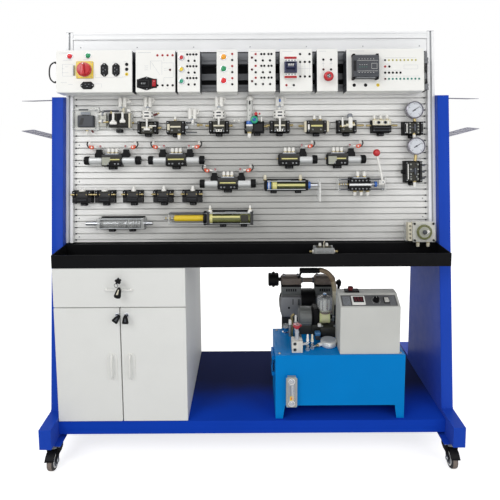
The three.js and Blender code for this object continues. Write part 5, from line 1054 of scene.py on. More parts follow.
dial_gauge("upper_gauge", 688, 554, (684, 478), (84, 58), 35)
dial_gauge("lower_gauge", 694, 402, (683, 295), (73, 92), 32)


# Modules behind the top of the panel: a dark case with a white face each
MODULE_FACE, MODULE_BACK = -118.3, -34.3
MODULE_LOW, MODULE_HIGH = 623, 794
LINE = 0.25


def module(name, left, width):
    """A module's case and its stepped white face, in a frame at the lower left corner of the face."""
    piece = Piece(name, PANEL @ Matrix.Translation((left, MODULE_FACE, MODULE_LOW)))
    deep, high = MODULE_BACK - MODULE_FACE, MODULE_HIGH - MODULE_LOW
    piece.box((0.6, width - 0.6), (2.4, deep), (0.6, high - 0.6), "dark_grey", 1.5)
    # A pale plate on the case's underside: painted light, lighter than the case so that the shaded
    # underside reads as lit.
    piece.box((1, width - 1), (3.6, deep - 1), (0, 1.4), "plate_pale", 0.3)
    for level, side in product((28, 124), (0.2, width - 0.2)):
        piece.box(around(side, 1), (22.3, 66.3), (level, level + 4), "soft_black", 0.3)
    piece.prism(rounded((0, width), (0, high), 2.5), "y", (0.7, 3.4), "module_white", 0.5)
    piece.prism(rounded((2.6, width - 2.6), (2.6, high - 2.6), 1.5), "y", (0, 1.2), "module_white", 0.3)
    return piece


def jack(piece, across, up, look="soft_black", radius=3.9):
    """A safety socket for a test lead."""
    spot = (across, 0, up)
    piece.turned([(2.1, -0.5), (radius + 0.8, -0.5), (radius + 0.8, 0.5), (radius, 0.9), (radius, 2.5),
        (radius - 0.6, 3), (2.1, 3)], spot, OUT, look, 16, closed=True)
    piece.capped([(2.2, -0.4), (2.2, 0.6)], spot, OUT, "ink", 10)


def jack_rows(piece, acrosses, ups, look="soft_black"):
    """A jack at each crossing of the places given."""
    for across, up in product(acrosses, ups):
        jack(piece, across, up, look)


def signal_lamp(piece, across, up, look, radius=11):
    """A domed lamp in a bright bezel."""
    spot = (across, 0, up)
    piece.capped([(radius + 1.6, 0), (radius + 1.6, 1.4), (radius, 2.6)], spot, OUT, "chrome", 28)
    piece.turned([(0, 2), (radius - 0.6, 2), (radius - 0.8, 4), (radius * 0.78, 7), (radius * 0.45, 8.6),
        (0, 9)], spot, OUT, look, 28)


def printed(piece, strips):
    """Plain thin marks on a face, each as (across, up, width, height)."""
    for across, up, width, height in strips:
        piece.box((across, across + width), (-LINE, 0.2), (up, up + height), "label_grey", 0.05)


def appliance_socket(piece, across, up, flat=False):
    """A recessed appliance socket in a pointed flange with two screws and three pins."""
    spot = (across, 0, up)
    turn = Matrix.Translation(spot) @ (Matrix.Rotation(pi / 2, 4, "Y") if flat else WORLD)
    half, tall, tip = 15, 16, 27
    flange = [(-half, -tall), (-4, -tip), (4, -tip), (half, -tall), (half, tall), (4, tip), (-4, tip),
        (-half, tall)]
    piece.prism(flange, "y", (-3.4, 0.4), "soft_black", 0.9, turn)
    for x in ((-11.5, -9.5), (9.5, 11.5)):
        piece.box(x, (-5.4, -3), (-15.5, 15.5), "black_plastic", 0.6, turn)
    for z in ((-17.5, -15.5), (15.5, 17.5)):
        piece.box((-11.5, 11.5), (-5.4, -3), z, "black_plastic", 0.6, turn)
    piece.box((-9.4, 9.4), (-4.0, -3.2), (-15.4, 15.4), "ink", 0.2, turn)
    for x, z in ((-4.5, -7), (-4.5, 7), (4.5, 0)):
        piece.box(around(x, 1.8), (-5.2, -3.8), around(z, 5), "mid_grey", 0.3, turn)
    for z in (-22, 22):
        piece.screw(turn @ Vector((0, -3.4, z)), OUT, 2.8)


power = module("power_module_case", -786, 308)
signal_lamp(power, 56, 147, "red_lamp")
signal_lamp(power, 130, 149, "green_lamp")
power.box(around(117, 69), (-6, 0.4), around(91, 69), "yellow", 2)
power.ring((117, -5.6, 91), OUT, 31.5, 28, 0.6, "pale_yellow", 36)
for across, up in product(around(117, 58), around(91, 58)):
    power.screw((across, -6, up), OUT, 2.2)
for across in (196, 243):
    appliance_socket(power, across, 91)
appliance_socket(power, 127, 28, flat=True)
for up in (113, 93):
    jack(power, 286, up, radius=6)
jack(power, 286, 73, "yellow", 6)
printed(power, [(26, 66, 40, 0.7), (26, 114, 40, 0.7), (26, 66, 0.7, 48), (66, 66, 0.7, 48)])
power.box((71, 75), (-2, 0), (68, 110), "olive", 0.5)
power.box((76, 79), (-2, 0), (68, 110), "pale_yellow", 0.5)
printed(power, [(24, 96, 10, 0.7), (36, 104, 12, 0.7), (24, 80, 26, 0.7), (20, 40, 24, 0.7),
    (50, 32, 18, 0.7), (158, 60, 112, 0.7), (158, 60, 0.7, 14), (270, 60, 0.7, 6), (150, 34, 34, 0.7),
    (184, 20, 0.7, 14), (182, 122, 12, 0.7), (229, 122, 12, 0.7), (274, 124, 12, 0.7), (274, 62, 12, 0.7),
    (28, 130, 38, 0.7), (108, 132, 26, 0.7), (12, 160, 44, 1.0)])
power.done("module_white", replaces="power_module")

knob = Piece("main_switch_handle", power.place)
knob_spot = (117, -6.3, 91)
knob.capped([(29, 0), (29, 7), (28, 12), (25.5, 18), (22, 20)], knob_spot, OUT, "red", 44)
knob.prism([(-8.5, -21), (-4.5, -25.5), (4.5, -25.5), (8.5, -21), (5.5, 21), (3.2, 24.5), (-3.2, 24.5),
    (-5.5, 21)], "y", (-32, -19), "red", 2.2, Matrix.Translation(knob_spot))
knob.capped([(2.6, 0), (2.6, 0.5)], (knob_spot[0] + 3, knob_spot[1] - 32, knob_spot[2] + 19), OUT,
    "module_white", 14)
for index in range(12):
    angle = tau * index / 12
    knob.box((-1.4, 1.4), (-6, -1), (28.2, 29.2), "dark_red", 0.3, placed(knob_spot, angle))
knob.done("red", "main_switch_knob_body", "main_switch_knob")

supply = module("supply_module_case", -464, 160)
for across in (88.5, 109, 129.4, 149.8):
    jack(supply, across, 149, "red")
    jack(supply, across, 27)
jack(supply, 139.5, 90, "dark_red")
hexagon = [(5, 19), (44, 7), (83.4, 19), (83.4, 51), (44, 63), (5, 51)]
supply.prism(hexagon, "y", (-1.8, 0.4), "soft_black")
for up in (12, 58):
    supply.screw((46, -1.8, up), OUT, 2.8)
for a, b in ((7, 11), (51, 55)):
    supply.box((a, b), (-4, 0), (21, 49), "black_plastic", 0.8)
for a, b in ((21, 25), (45, 49)):
    supply.box((8, 54), (-4, 0), (a, b), "black_plastic", 0.8)
for a in (24, 38, 31):
    supply.box(around(a, 2), (-3.4, -1), around(35, 6), "zinc", 0.3)
for a in (65.2, 84.8):
    supply.box(around(a, 2.6), (-3, 0), around(35, 36), "black_plastic", 0.6)
for b in (17.6, 52.4):
    supply.box(around(75, 22), (-3, 0), around(b, 2.4), "black_plastic", 0.6)
printed(supply, [(60, 92, 0.7, 34), (60, 126, 46, 0.7), (106, 70, 0.7, 56), (106, 118, 46, 0.7),
    (152, 60, 0.7, 58), (114, 30, 0.7, 28), (114, 58, 38, 0.7), (114, 126, 0.7, 18), (36, 98, 14, 0.7),
    (36, 106, 14, 0.7), (36, 90, 14, 0.7), (114, 88, 14, 0.7), (114, 96, 14, 0.7), (10, 160, 52, 1.0),
    (124, 14, 8, 0.7)])
slant = placed((60, 0, 126), radians(56))
supply.box((0, 68), (-LINE, 0.2), (-0.35, 0.35), "label_grey", 0.05, slant)
supply.done("module_white", replaces="supply_module")

# The rocker is turned a little about its own middle, as its CAD solid is
rocker_box = box_in("supply_rocker", PANEL)
rocker_middle = [sum(pair) / 2 for pair in rocker_box]
rocker = Piece("power_rocker", PANEL)
tip = placed((rocker_middle[0], MODULE_FACE, rocker_middle[2]), radians(-10), "X")
rocker.prism([(3, -7.5), (3, 7.5), (-2, 14.4), (-5.6, 13.2), (-3.9, 0), (-5.6, -13.2), (-2, -14.4)], "x",
    (-7.3, 7.3), "rocker_red", 0.7, tip)
rocker.box((-2.6, 2.6), (-5.3, -4.4), (7.2, 8.2), "module_white", 0.1, tip)
rocker.ring(tip @ Vector((0, -4.0, -7.6)), tip.to_3x3() @ Vector((0, -1, 0.12)), 2.4, 1.6, 0.7,
    "module_white", 16)
rocker.done("red", "supply_rocker_body", "supply_rocker")

buttons = module("button_module_case", -295, 91)
for up in (139, 91, 43):
    spot = (17, 0, up)
    buttons.turned([(8.6, -1), (12, -1), (12, 0.8), (11, 1.8), (11, 5.2), (10.3, 6), (8.6, 6)], spot, OUT,
        "chrome", 28, closed=True)
jack_rows(buttons, (40, 52, 65, 77), (56, 104, 152))
jack_rows(buttons, (45, 70), (30, 78, 126))
printed(buttons, [(45 + 25 * i, 36 + 48 * k, 0.6, 14) for i in (0, 1) for k in (0, 1, 2)]
    + [(8, 162, 30, 0.9)] + [(38 + 25 * i, 66 + 48 * k, 14, 0.6) for i in (0, 1) for k in (0, 1, 2)])
buttons.done("module_white", replaces="button_module")
for colour in ("red", "yellow", "green"):
    cap = Piece(f"{colour}_button_cap", PANEL)
    across, deep, up = box_in(f"{colour}_push_button", PANEL)
    spot = (sum(across) / 2, deep[1], sum(up) / 2)
    cap.turned([(0, 0), (7.9, 0), (7.9, 4.6), (7.2, 5.6), (5.8, 5.9), (4, 5.2), (0, 4.9)], spot, OUT,
        colour, 28)
    cap.done(colour, f"{colour}_push_button_body", f"{colour}_push_button")

lamps = module("lamp_module_case", -136, 85)
for look, up in (("red_lamp", 45), ("green_lamp", 93), ("orange_lamp", 141)):
    signal_lamp(lamps, 28, up, look, 12)
for number in range(6):
    jack(lamps, 63, 30 + 24.6 * number, "red" if number % 2 else "soft_black")
printed(lamps, [(63, 36 + 49.2 * k, 0.6, 13) for k in range(3)] + [(8, 162, 34, 0.9)]
    + [(45, 45 + 48 * k, 12, 0.6) for k in range(3)])
lamps.done("module_white", replaces="lamp_module")

relays = module("relay_module_case", -8, 110)
jack_rows(relays, (15,), (42, 89.5, 138), "dark_red")
jack_rows(relays, (30,), (56, 104, 152), "red")
jack_rows(relays, (30,), (30, 78, 126))
jack_rows(relays, (53, 65, 82, 94), (56, 104, 152))
jack_rows(relays, (59, 88), (30, 78, 126))
printed(relays, [(22, 36 + 48 * k, 0.6, 14) for k in range(3)] + [(10, 162, 40, 0.9)]
    + [(a, 36 + 48 * k, 0.6, 12) for a in (59, 88) for k in range(3)])
relays.done("module_white", replaces="relay_module")

finish("navy", "262b50", rough=0.34, vary=0.12, worn="5a5f86", coat=0.15)
breaker = module("breaker_module_case", 120, 131)
middle, level = 41, 92
for side in (-1, 1):
    breaker.box(around(middle, 50), (-26, 0.4), sorted([level + side * 22, level + side * 44]),
        "module_white", 1.5)
    breaker.box(around(middle, 49), (-27.4, -20), sorted([level + side * 34, level + side * 43]), "red",
        0.8)
    for number in range(4):
        spot = (middle - 18 + 12 * number, -25.6, level + side * 28)
        breaker.capped([(3.4, 0), (3.4, 0.9)], spot, OUT, "zinc", 12)
        breaker.box(around(spot[0], 4.6), (spot[1] - 1.2, spot[1]), around(spot[2], 0.9), "ink", 0.1)
        breaker.box(around(middle - 18 + 12 * number, 3), (-28, -26), around(level + side * 38.5, 6),
            "dark_red", 0.4)
for z in ((level + 18, level + 22), (level - 22, level - 18)):
    breaker.box(around(middle, 50), (-38, -20), z, "navy")
for side in (-1, 1):
    breaker.box(sorted([middle + side * 17.6, middle + side * 25]), (-38, -20), (level - 19, level + 19),
        "navy", 1.2)
breaker.box(around(middle, 36), (-27, -20), (level - 19, level + 19), "navy", 0.4)
for number in range(1, 4):
    breaker.box(around(middle - 25 + 12.5 * number, 0.7), (-38.5, -37), (level + 18, level + 21), "ink",
        0.1)
jack_rows(breaker, (82, 101, 120), (60, 119))
jack_rows(breaker, (82, 120), (151,))
jack(breaker, 26, 25, "red")
jack(breaker, 56, 25)
printed(breaker, [(a, 68, 0.6, 48) for a in (82, 101, 120)] + [(76, 92, 50, 0.6), (10, 162, 42, 0.9),
    (26, 14, 30, 0.6)])
breaker.done("module_white", replaces="breaker_module")

toggle = Piece("breaker_toggle", breaker.place)
toggle_y = -38
toggle.rod((middle - 16.8, toggle_y, level), (middle + 16.8, toggle_y, level), 6, "navy", 20, 0.5)
lift = placed((0, toggle_y, level), radians(-30), "X")
toggle.box((middle - 16.8, middle + 16.8), (-16, -3), (-2.4, 2.4), "navy", 1.2, lift)
for number in range(3):
    toggle.box(around(middle - 8 + 8 * number, 6), (-16.2, -6), (-2.7, 2.7), "fitting_white", 0.9, lift)
toggle.done("module_white", "breaker_lever_body", "breaker_lever")

stop = module("stop_module_case", 270, 84)
jack(stop, 26, 128)
jack(stop, 57, 128)
jack(stop, 26, 88, "dark_red")
jack(stop, 57, 88)
stop.turned([(9.6, -1), (17, -1), (17, 1), (15, 2.4), (14, 7), (13.2, 8), (9.6, 8)], (44, 0, 57), OUT,
    "mid_grey", 28, closed=True)
printed(stop, [(26, 98, 0.6, 28), (57, 98, 0.6, 28), (20, 112, 12, 0.6), (51, 112, 12, 0.6),
    (8, 162, 30, 0.9)])
stop.done("module_white", replaces="stop_module")
head = Piece("stop_head", stop.place)
head_spot = (44, -13.5, 57)
head.capped([(8.8, -8), (8.8, 0), (17, 0), (19.6, 1.6), (20, 5), (19.4, 9.6), (17, 13.4), (13, 15.6),
    (9.4, 16), (8.6, 15.2), (8.4, 14.2)], head_spot, OUT, "red", 44)
head.capped([(8.2, 14), (8, 15.2), (6.4, 16)], head_spot, OUT, "dark_steel", 28)
for index in range(3):
    head.box((-1, 1), (-16.3, -15.6), (2.2, 6.4), "module_white", 0.1,
        placed(head_spot, tau * index / 3 + 0.5))
head.done("red", "stop_button_body", "stop_button")

control = module("controller_module_case", 390, 314)
cx, cz = 71, 94
DEEP = -42
control.box(around(cx, 103), (DEEP + 3, 0.4), around(cz, 86), "dark_grey", 2)
control.box((cx - 40, cx + 47), (DEEP, DEEP + 6), (cz - 33, cz + 33), "dark_grey", 2)
control.box((cx - 51, cx - 38), (DEEP + 1, DEEP + 8), (cz - 20, cz + 22), "black_plastic", 1.5)
control.box((cx - 51, cx - 41), (DEEP - 0.4, DEEP + 2), (cz - 12, cz + 4), "ink", 0.6)
for side in (-1, 1):
    control.box(around(cx, 97), (-30, 0.4), sorted([cz + side * 37, cz + side * 47]), "dark_grey", 1.5)
    for end in (-1, 1):
        control.box(sorted([cx + end * 42, cx + end * 52]), (-31, 0),
            sorted([cz + side * 42, cz + side * 51]), "soft_black", 0.8)
    for number in range(13):
        along = cx - 35 + 5.75 * number
        control.capped([(2.1, 0), (2.1, 0.8)], (along, -30, cz + side * 45), OUT, "zinc", 10)
        control.box(around(along, 3.2), (-31.1, -30.4), around(cz + side * 45, 0.6), "ink", 0.1)
        control.box(around(along + 2.87, 0.7), (-32, -29), around(cz + side * 44, 6), "mid_grey", 0.2)
        if number % 2:
            control.box(around(along, 3), (DEEP - 0.3, DEEP + 0.4), around(cz + side * 27, 1.6),
                "fitting_white", 0.1)
    control.box((cx - 36, cx + 45), (DEEP - 0.3, DEEP + 0.4), around(cz + side * 21, 0.8), "fitting_white",
        0.1)
outline_marks = [((cx + 20, cx + 42), (cz - 12, cz - 11.2)), ((cx + 20, cx + 42), (cz + 9, cz + 9.8)),
    ((cx + 20, cx + 20.8), (cz - 12, cz + 9.8)), ((cx + 41.2, cx + 42), (cz - 12, cz + 9.8))]
for x, z in outline_marks:
    control.box(x, (DEEP - 0.3, DEEP + 0.4), z, "fitting_white", 0.1)
for number in range(4):
    control.box(around(cx - 26 + 9 * number, 4), (DEEP - 0.3, DEEP + 0.4), around(cz + 4, 1),
        "fitting_white", 0.1)
    control.turned([(0, 0), (1.3, 0), (1, 0.8), (0, 0.9)], (cx - 26 + 9 * number, DEEP, cz - 5), OUT,
        "green", 10)
for number in range(9):
    jack(control, 156 + 15.5 * number, 124.5, "pale_yellow" if number else "soft_black", 3.4)
for across, look in ((156, "red"), (173, "soft_black")):
    jack(control, across, 98.5, look)
for number in range(5):
    jack(control, 156 + 15.5 * number, 73.5)
for number in range(10):
    jack(control, 156 + 15.2 * number, 48.5, "teal" if number else "dark_red", 3.4)
for across, look in ((30, "soft_black"), (76, "soft_black"), (126, "yellow")):
    jack(control, across, 23.5, look, 6)
printed(control, [(156, 134, 126, 0.7), (156, 108, 20, 0.7), (156, 83, 64, 0.7), (150, 59, 142, 0.7),
    (24, 36, 110, 0.7), (12, 162, 60, 0.9), (232, 88, 56, 0.7), (232, 104, 56, 0.7), (232, 88, 0.7, 16),
    (288, 88, 0.7, 16)])
control.done("module_white", replaces="controller_module")

side_strip = Piece("module_end_strip", PANEL)
side_strip.box((706, 716), (-60, -34.3), (626, 790), "post_aluminium")
side_strip.box((718, 727), (-56, -34.3), (628, 788), "olive", 0.8)
for number in range(8):
    side_strip.ring((722.5, -56, 642 + 18 * number), OUT, 3, 1.4, 1, "dark_red", 12)
side_strip.done("aluminium")

# The lead clipped beside the power module
LOOP_X, LOOP_Y, LOOP_TOP, LOOP_LOW = -786.4, -97.3, 748, 669
lead = Piece("side_lead_loop", PANEL)
lead.tube([(LOOP_X + 1, LOOP_Y, LOOP_TOP), (LOOP_X - 14, LOOP_Y, LOOP_TOP + 2), (LOOP_X - 30, LOOP_Y, 738),
    (LOOP_X - 35, LOOP_Y, 712), (LOOP_X - 31, LOOP_Y, 684), (LOOP_X - 15, LOOP_Y, LOOP_LOW - 1),
    (LOOP_X + 1, LOOP_Y, LOOP_LOW)], 3, "lead_black", 14)
for z in (LOOP_TOP, LOOP_LOW):
    lead.capped([(6, 0), (6, 3), (4.6, 4), (4.2, 12), (3.4, 13)], (LOOP_X + 0.4, LOOP_Y, z), LEFT,
        "soft_black", 18)
lead.done("black_plastic", replaces="side_lead")


# Five speed controllers on the lower board
for number, x in enumerate((-709, -614, -497, -370, -248), 1):
    small = Piece(f"speed_controller_{number}", PANEL)
    small.box((x - 42, x + 42), (-9, -1), (170, 224), "soft_black", 1.2)
    small.box((x - 40, x + 40), (-36, -8), (172, 197), "black_plastic", 2)
    small.box((x - 40, x - 24), (-38, -8), (193, 222), "soft_black", 2)
    small.box((x + 24, x + 40), (-38, -8), (193, 222), "soft_black", 2)
    small.box((x - 25, x + 25), (-32, -8), (195, 219), "cast_dark", 1.5)
    small.box((x - 24, x + 24), (-39, -34), (176, 193), "soft_black")
    small.bars((x - 20, x + 20), (-39.6, -38), ((181, 182.4), (187, 188.4)), "dark_grey")
    for side in (-1, 1):
        small.screw((x + side * 20, -38, 206), OUT, 3, "brass")
        small.screw((x + side * 33, -38, 215), OUT, 2.4)
        side_fitting(small, x + side * 30, 206, side, -36, 17, 4)
    small.box((x - 18, x + 18), (-35, -30), (213, 218), "olive")
    if number > 2:
        air_fitting(small, (x + 3, -22, 219), UP, 22, 6.5)
        small.capped([(9, 0), (10, 2), (10, 7), (8, 9)], (x + 3, -22, 218), UP, "fitting_white", 20)
    else:
        small.capped([(13, 0), (14, 2), (14, 7), (11, 9)], (x - 2, -22, 219), UP, "fitting_white")
    clip_foot(small, x + 4, 171)
    small.done("black_plastic")

# Solenoid valves
SOLENOID_Y = -20.3


def solenoid_coil(piece, start, z, sense):
    """A bright coil with its black cap, socket, grey plug and short black lead."""
    end = start + sense * 55
    piece.capped([(15.5, 0), (17, 1.5), (17, 53.5), (15.5, 55)], (start, SOLENOID_Y, z), (sense, 0, 0),
        "coil_steel", 40)
    for share in (0.04, 0.94):
        piece.ring((start + sense * 55 * share, SOLENOID_Y, z), (sense, 0, 0), 17.4, 15, 1.6, "zinc", 32)
    ribbed_knob(piece, (end, SOLENOID_Y, z), (sense, 0, 0), 18.2, 21, "soft_black", 20, 0.8)
    piece.capped([(4, 0), (4, 1.2)], (end + sense * 20.4, SOLENOID_Y, z), (sense, 0, 0), "zinc", 6)
    socket = start + sense * 15
    base = z + 12
    piece.prism([(socket - 16, base), (socket + 16, base), (socket + 16, base + 16),
        (socket + 11, base + 22), (socket + 10, base + 34), (socket - 10, base + 34),
        (socket - 11, base + 22), (socket - 16, base + 16)], "y", (-33, -8), "soft_black", 1.5)
    piece.box(around(socket, 21), (-31, -10), (base + 33, base + 48), "clear_plastic", 2)
    piece.box(around(socket, 12), (-27, -14), (base + 32, base + 42), "motor_grey", 1.5)
    piece.rod((socket - sense * 4, SOLENOID_Y, base + 40), (socket - sense * 4, SOLENOID_Y, base + 52), 4,
        "wheel_red", 14)
    plug_z = base + 44
    piece.rod((socket + sense * 8, SOLENOID_Y, plug_z), (socket + sense * 24, SOLENOID_Y - 2, plug_z + 1),
        4.6, "fitting_white", 14)
    wedge = [(20, -3), (26, -9), (36, -8), (43, 2), (40, 9), (28, 7), (21, 4)]
    piece.prism([(socket + sense * x, plug_z + h) for x, h in wedge], "y", (-31, -19), "orange", 2)
    piece.box(around(socket + sense * 29, 6), (-33, -30), (plug_z - 4, plug_z + 3), "fitting_white", 0.8)
    piece.tube([(socket + sense * 38, SOLENOID_Y - 3, plug_z - 4), (socket + sense * 47, SOLENOID_Y - 4,
        plug_z + 4), (socket + sense * 50, SOLENOID_Y - 4, plug_z + 14),
        (socket + sense * 46, SOLENOID_Y - 4, plug_z + 24)], 3, "lead_black", 10)
    for height in (12, 19):
        piece.box(around(socket + sense * 39, 10), (-29, -21), (plug_z + height, plug_z + height + 4),
            "fitting_white")


def solenoid_valve(name, node, x, z, senses, pale):
    """A valve block between coils, with three fittings above and a clip foot below."""
    piece = Piece(name, PANEL)
    piece.box(around(x, 84), (-10, -1), around(z, 52), "soft_black", 1.4)
    piece.box(around(x, 80), (-38, -9), (z - 25, z + 25), "olive", 2)
    piece.box(around(x, 84), (-40, -30), (z - 24, z - 4), "soft_black", 1.6)
    piece.box(around(x, 66), (-40.3, -36), (z + 1, z + 6), "pale_yellow", 0.8)
    piece.box(around(x, 84), (-39, -34), (z + 14, z + 25), "cast_dark", 1.4)
    if pale:
        piece.prism([(x - 41, z + 13), (x - 41, z - 20), (x - 20, z - 20), (x - 6, z - 2), (x - 6, z + 13)],
            "y", (-41, -37), "smoke", 1)
    for across in (-28, -14, 14, 28):
        piece.ring((x + across, -40, z - 15), OUT, 3.2, 1.6, 1.4, "zinc", 12)
    for side in (-1, 1):
        piece.box(around(x + side * 40, 6), (-38, -4), (z - 22, z + 22), "black_plastic", 1.2)
    piece.box(around(x, 54), (-36, -6), (z + 24, z + 29), "label_grey")
    for number in (-1, 0, 1):
        air_fitting(piece, (x + 17 * number, SOLENOID_Y, z + 29), UP, 22, 7.2)
        piece.capped([(7.6, 0), (7.6, 5), (6, 6)], (x + 17 * number, SOLENOID_Y, z + 27), UP,
            "fitting_white", 16)
    for sense in senses:
        solenoid_coil(piece, x + sense * 42, z, sense)
    if len(senses) == 1:
        side = -senses[0]
        piece.box(around(x + side * 44, 6), (-37, -6), (z - 21, z + 21), "soft_black", 1.5)
        piece.rod((x + side * 46, SOLENOID_Y, z + 4), (x + side * 53, SOLENOID_Y, z + 4), 4, "brass", 12)
    clip_foot(piece, x, z - 26, 34)
    piece.done("black_plastic", replaces=node)


for number, (x, z) in enumerate(((-583, 349), (-314, 349), (-97, 249)), 1):
    solenoid_valve(f"double_solenoid_{number}", f"double_solenoid_valve_{number}", x, z, (-1, 1),
        number == 1)
for number, (x, z) in enumerate(((163, 349), (367, 349)), 1):
    solenoid_valve(f"single_solenoid_{number}", f"single_solenoid_valve_{number}", x, z, (1,), number == 2)

# Hand lever valve
LEVER_Y, LEVER_Z = -22, 243
lever_body = Piece("lever_valve_body", PANEL)
lever_body.box((412, 505), (-10, -1), (215, 271), "soft_black", 1.5)
lever_body.box((416, 501), (-38, -9), (219, 267), "cast_dark", 2)
for z in ((250, 268), (217, 234)):
    lever_body.box((414, 503), (-42, -34), z, "soft_black", 2)
lever_body.box((412, 505), (-42.6, -38), (238, 246), "post_aluminium")
lever_body.box((430, 486), (-36, -8), (267, 273), "label_grey")
for x in range(424, 500, 15):
    for z in (259, 225):
        lever_body.ring((x, -42, z), OUT, 3, 1.4, 1.4, "zinc", 12)
for x in (366.5, 563.5):
    lever_body.box(around(x, 5), (-40, -4), (214, 272), "clear_plastic")
for z in (LEVER_Z - 21, LEVER_Z + 21):
    lever_body.rod((369, LEVER_Y, z), (561, LEVER_Y, z), 3, "dark_steel", 14)
    for x in (372, 552):
        lever_body.rod((x, LEVER_Y, z), (x + 6, LEVER_Y, z), 5, "zinc", 6)
lever_body.rod((369, LEVER_Y, LEVER_Z), (412, LEVER_Y, LEVER_Z), 4, "brass", 14)
for x in (378, 388, 398):
    lever_body.ring((x, LEVER_Y, LEVER_Z), RIGHT, 8, 4, 4, "zinc", 16)
lever_body.rod((505, LEVER_Y, LEVER_Z), (541, LEVER_Y, LEVER_Z), 5, "steel")
lever_body.ring((521, LEVER_Y, LEVER_Z), RIGHT, 12, 5, 10, "ring_blue")
lever_body.box((539, 562), (-34, -12), (240, 262), "fitting_white", 2)
for x in (451, 479):
    air_fitting(lever_body, (x, LEVER_Y, 271), UP, 26, 7)
for x in (438, 465, 492):
    air_fitting(lever_body, (x, LEVER_Y, 216), DOWN, 20, 7)
lever_body.done("clear_plastic", replaces="lever_valve")
lever = Piece("hand_lever", PANEL)
lever.rod((549, -46.4, 262), (527.5, -46.4, 366), 5, "fitting_white")
lever.capped([(8, 0), (8.6, 1.2), (8.6, 6.4), (8, 7.4)], (551, -42.8, 253), OUT, "fitting_white")
lever.screw((551, -50.2, 253), OUT, 4)
lever.rod((528.5, -46.4, 360), (527, -46.4, 368), 5.4, "dark_red")
lever.ball((526, -46.4, 375), 15, "red", 32)
lever.done("red", "valve_lever_body", "valve_lever")


# Cylinders: clear barrels with end blocks, tie rods and clip strips
BLUE_Z, GREY_Z, GOLD_Z = 241, 85, 106


def air_cylinder(name, left, right, z, radius, barrel, ends, feet):
    """A cylinder between two end blocks; gives the piece and the depth of its middle line."""
    piece = Piece(name, PANEL)
    y = -12.3 - radius
    for start in (left, right - 12):
        piece.prism([(y + a, z + b) for a, b in rounded((-radius, radius), (-radius, radius), 4)], "x",
            (start, start + 12), ends, 1.2)
        for a, b in product((-1, 1), repeat=2):
            piece.capped([(3.4, 0), (3.4, 2)], (start + (0 if start == left else 12), y + a * radius * 0.74,
                z + b * radius * 0.74), (-1 if start == left else 1, 0, 0), "zinc", 6)
    inner = radius * 0.72
    piece.ring((left + 11, y, z), RIGHT, radius * 0.84, inner, right - left - 22, barrel, 36)
    for a, b in product((-1, 1), repeat=2):
        piece.rod((left + 10, y + a * radius * 0.78, z + b * radius * 0.78),
            (right - 10, y + a * radius * 0.78, z + b * radius * 0.78), 2.2, "zinc", 10)
    piece.box((left + 6, right - 6), (-14, -1), (z + radius * 0.45, z + radius + 4), "soft_black", 1.5)
    piece.box((left + 4, right - 4), (-16, -1), (z - radius - 3, z - radius * 0.5), "soft_black", 1.5)
    piece.box((left + 20, right - 20), (-12.6, -1), (z - radius * 0.5, z + radius * 0.5), "black_plastic")
    for x in feet:
        clip_foot(piece, x, z - radius, 26)
    return piece, y


blue, blue_y = air_cylinder("blue_ring_cylinder", 56, 239, BLUE_Z, 22, "barrel", "soft_black", (96, 200))
for start, length in ((66, 7), (77, 6)):
    blue.capped([(20.4, 0), (21, 1), (21, length - 1), (20.4, length)], (start, blue_y, BLUE_Z), RIGHT,
        "ring_blue", 36)
blue.capped([(20, 0), (20, 5)], (72.6, blue_y, BLUE_Z), RIGHT, "fitting_white", 36)
blue.capped([(20, 0), (20, 18)], (90, blue_y, BLUE_Z), RIGHT, "pale_yellow", 36)
blue.turned([(5.6, 0), (16, 0), (19, 2), (20, 6), (20, 12), (17, 17), (5.6, 17)], (229, blue_y, BLUE_Z),
    RIGHT, "ring_blue", 36, closed=True)
blue.turned([(5.4, 0), (15, 0), (14, 4), (5.4, 4)], (245.6, blue_y, BLUE_Z), RIGHT, "ring_blue", 28,
    closed=True)
blue.box((112, 170), (-16.4, -13), (254, 262), "label_grey", 0.8)
blue.box((110, 226), (blue_y - 19.8, blue_y - 17.8), (239, 246), "pale_yellow", 0.8)
for low in (228, 250):
    blue.box((110, 226), (blue_y - 17.6, blue_y - 13), (low, low + 5), "soft_black", 0.8)
for x in (150, 192, 216):
    blue.screw((x, -16, 226), OUT, 2.6)
for x in (60, 208):
    air_fitting(blue, (x, blue_y, 260), UP, 25, 6.8, "cream")
blue.done("clear_plastic", replaces="single_rod_cylinder")
blue_rod = Piece("tee_plate_rod", PANEL)
blue_rod.rod((122, blue_y, BLUE_Z), (284, blue_y, BLUE_Z), 4.8, "chrome", 24)
blue_rod.capped([(15.4, 0), (15.4, 4), (13.6, 5), (13.6, 9), (15.4, 10), (15.4, 14)], (112, blue_y, BLUE_Z),
    RIGHT, "dark_grey", 32)
blue_rod.box((281, 285), (blue_y - 16, blue_y + 14), (172, 267), "clear_plastic")
blue_rod.box((285.4, 291.6), (blue_y - 16, blue_y + 14), (172, 255), "plate_clear")
blue_rod.rod((281, blue_y, BLUE_Z), (292, blue_y, BLUE_Z), 8, "zinc", 6)
blue_rod.done("steel", "single_cylinder_rod_body", "single_cylinder_rod")

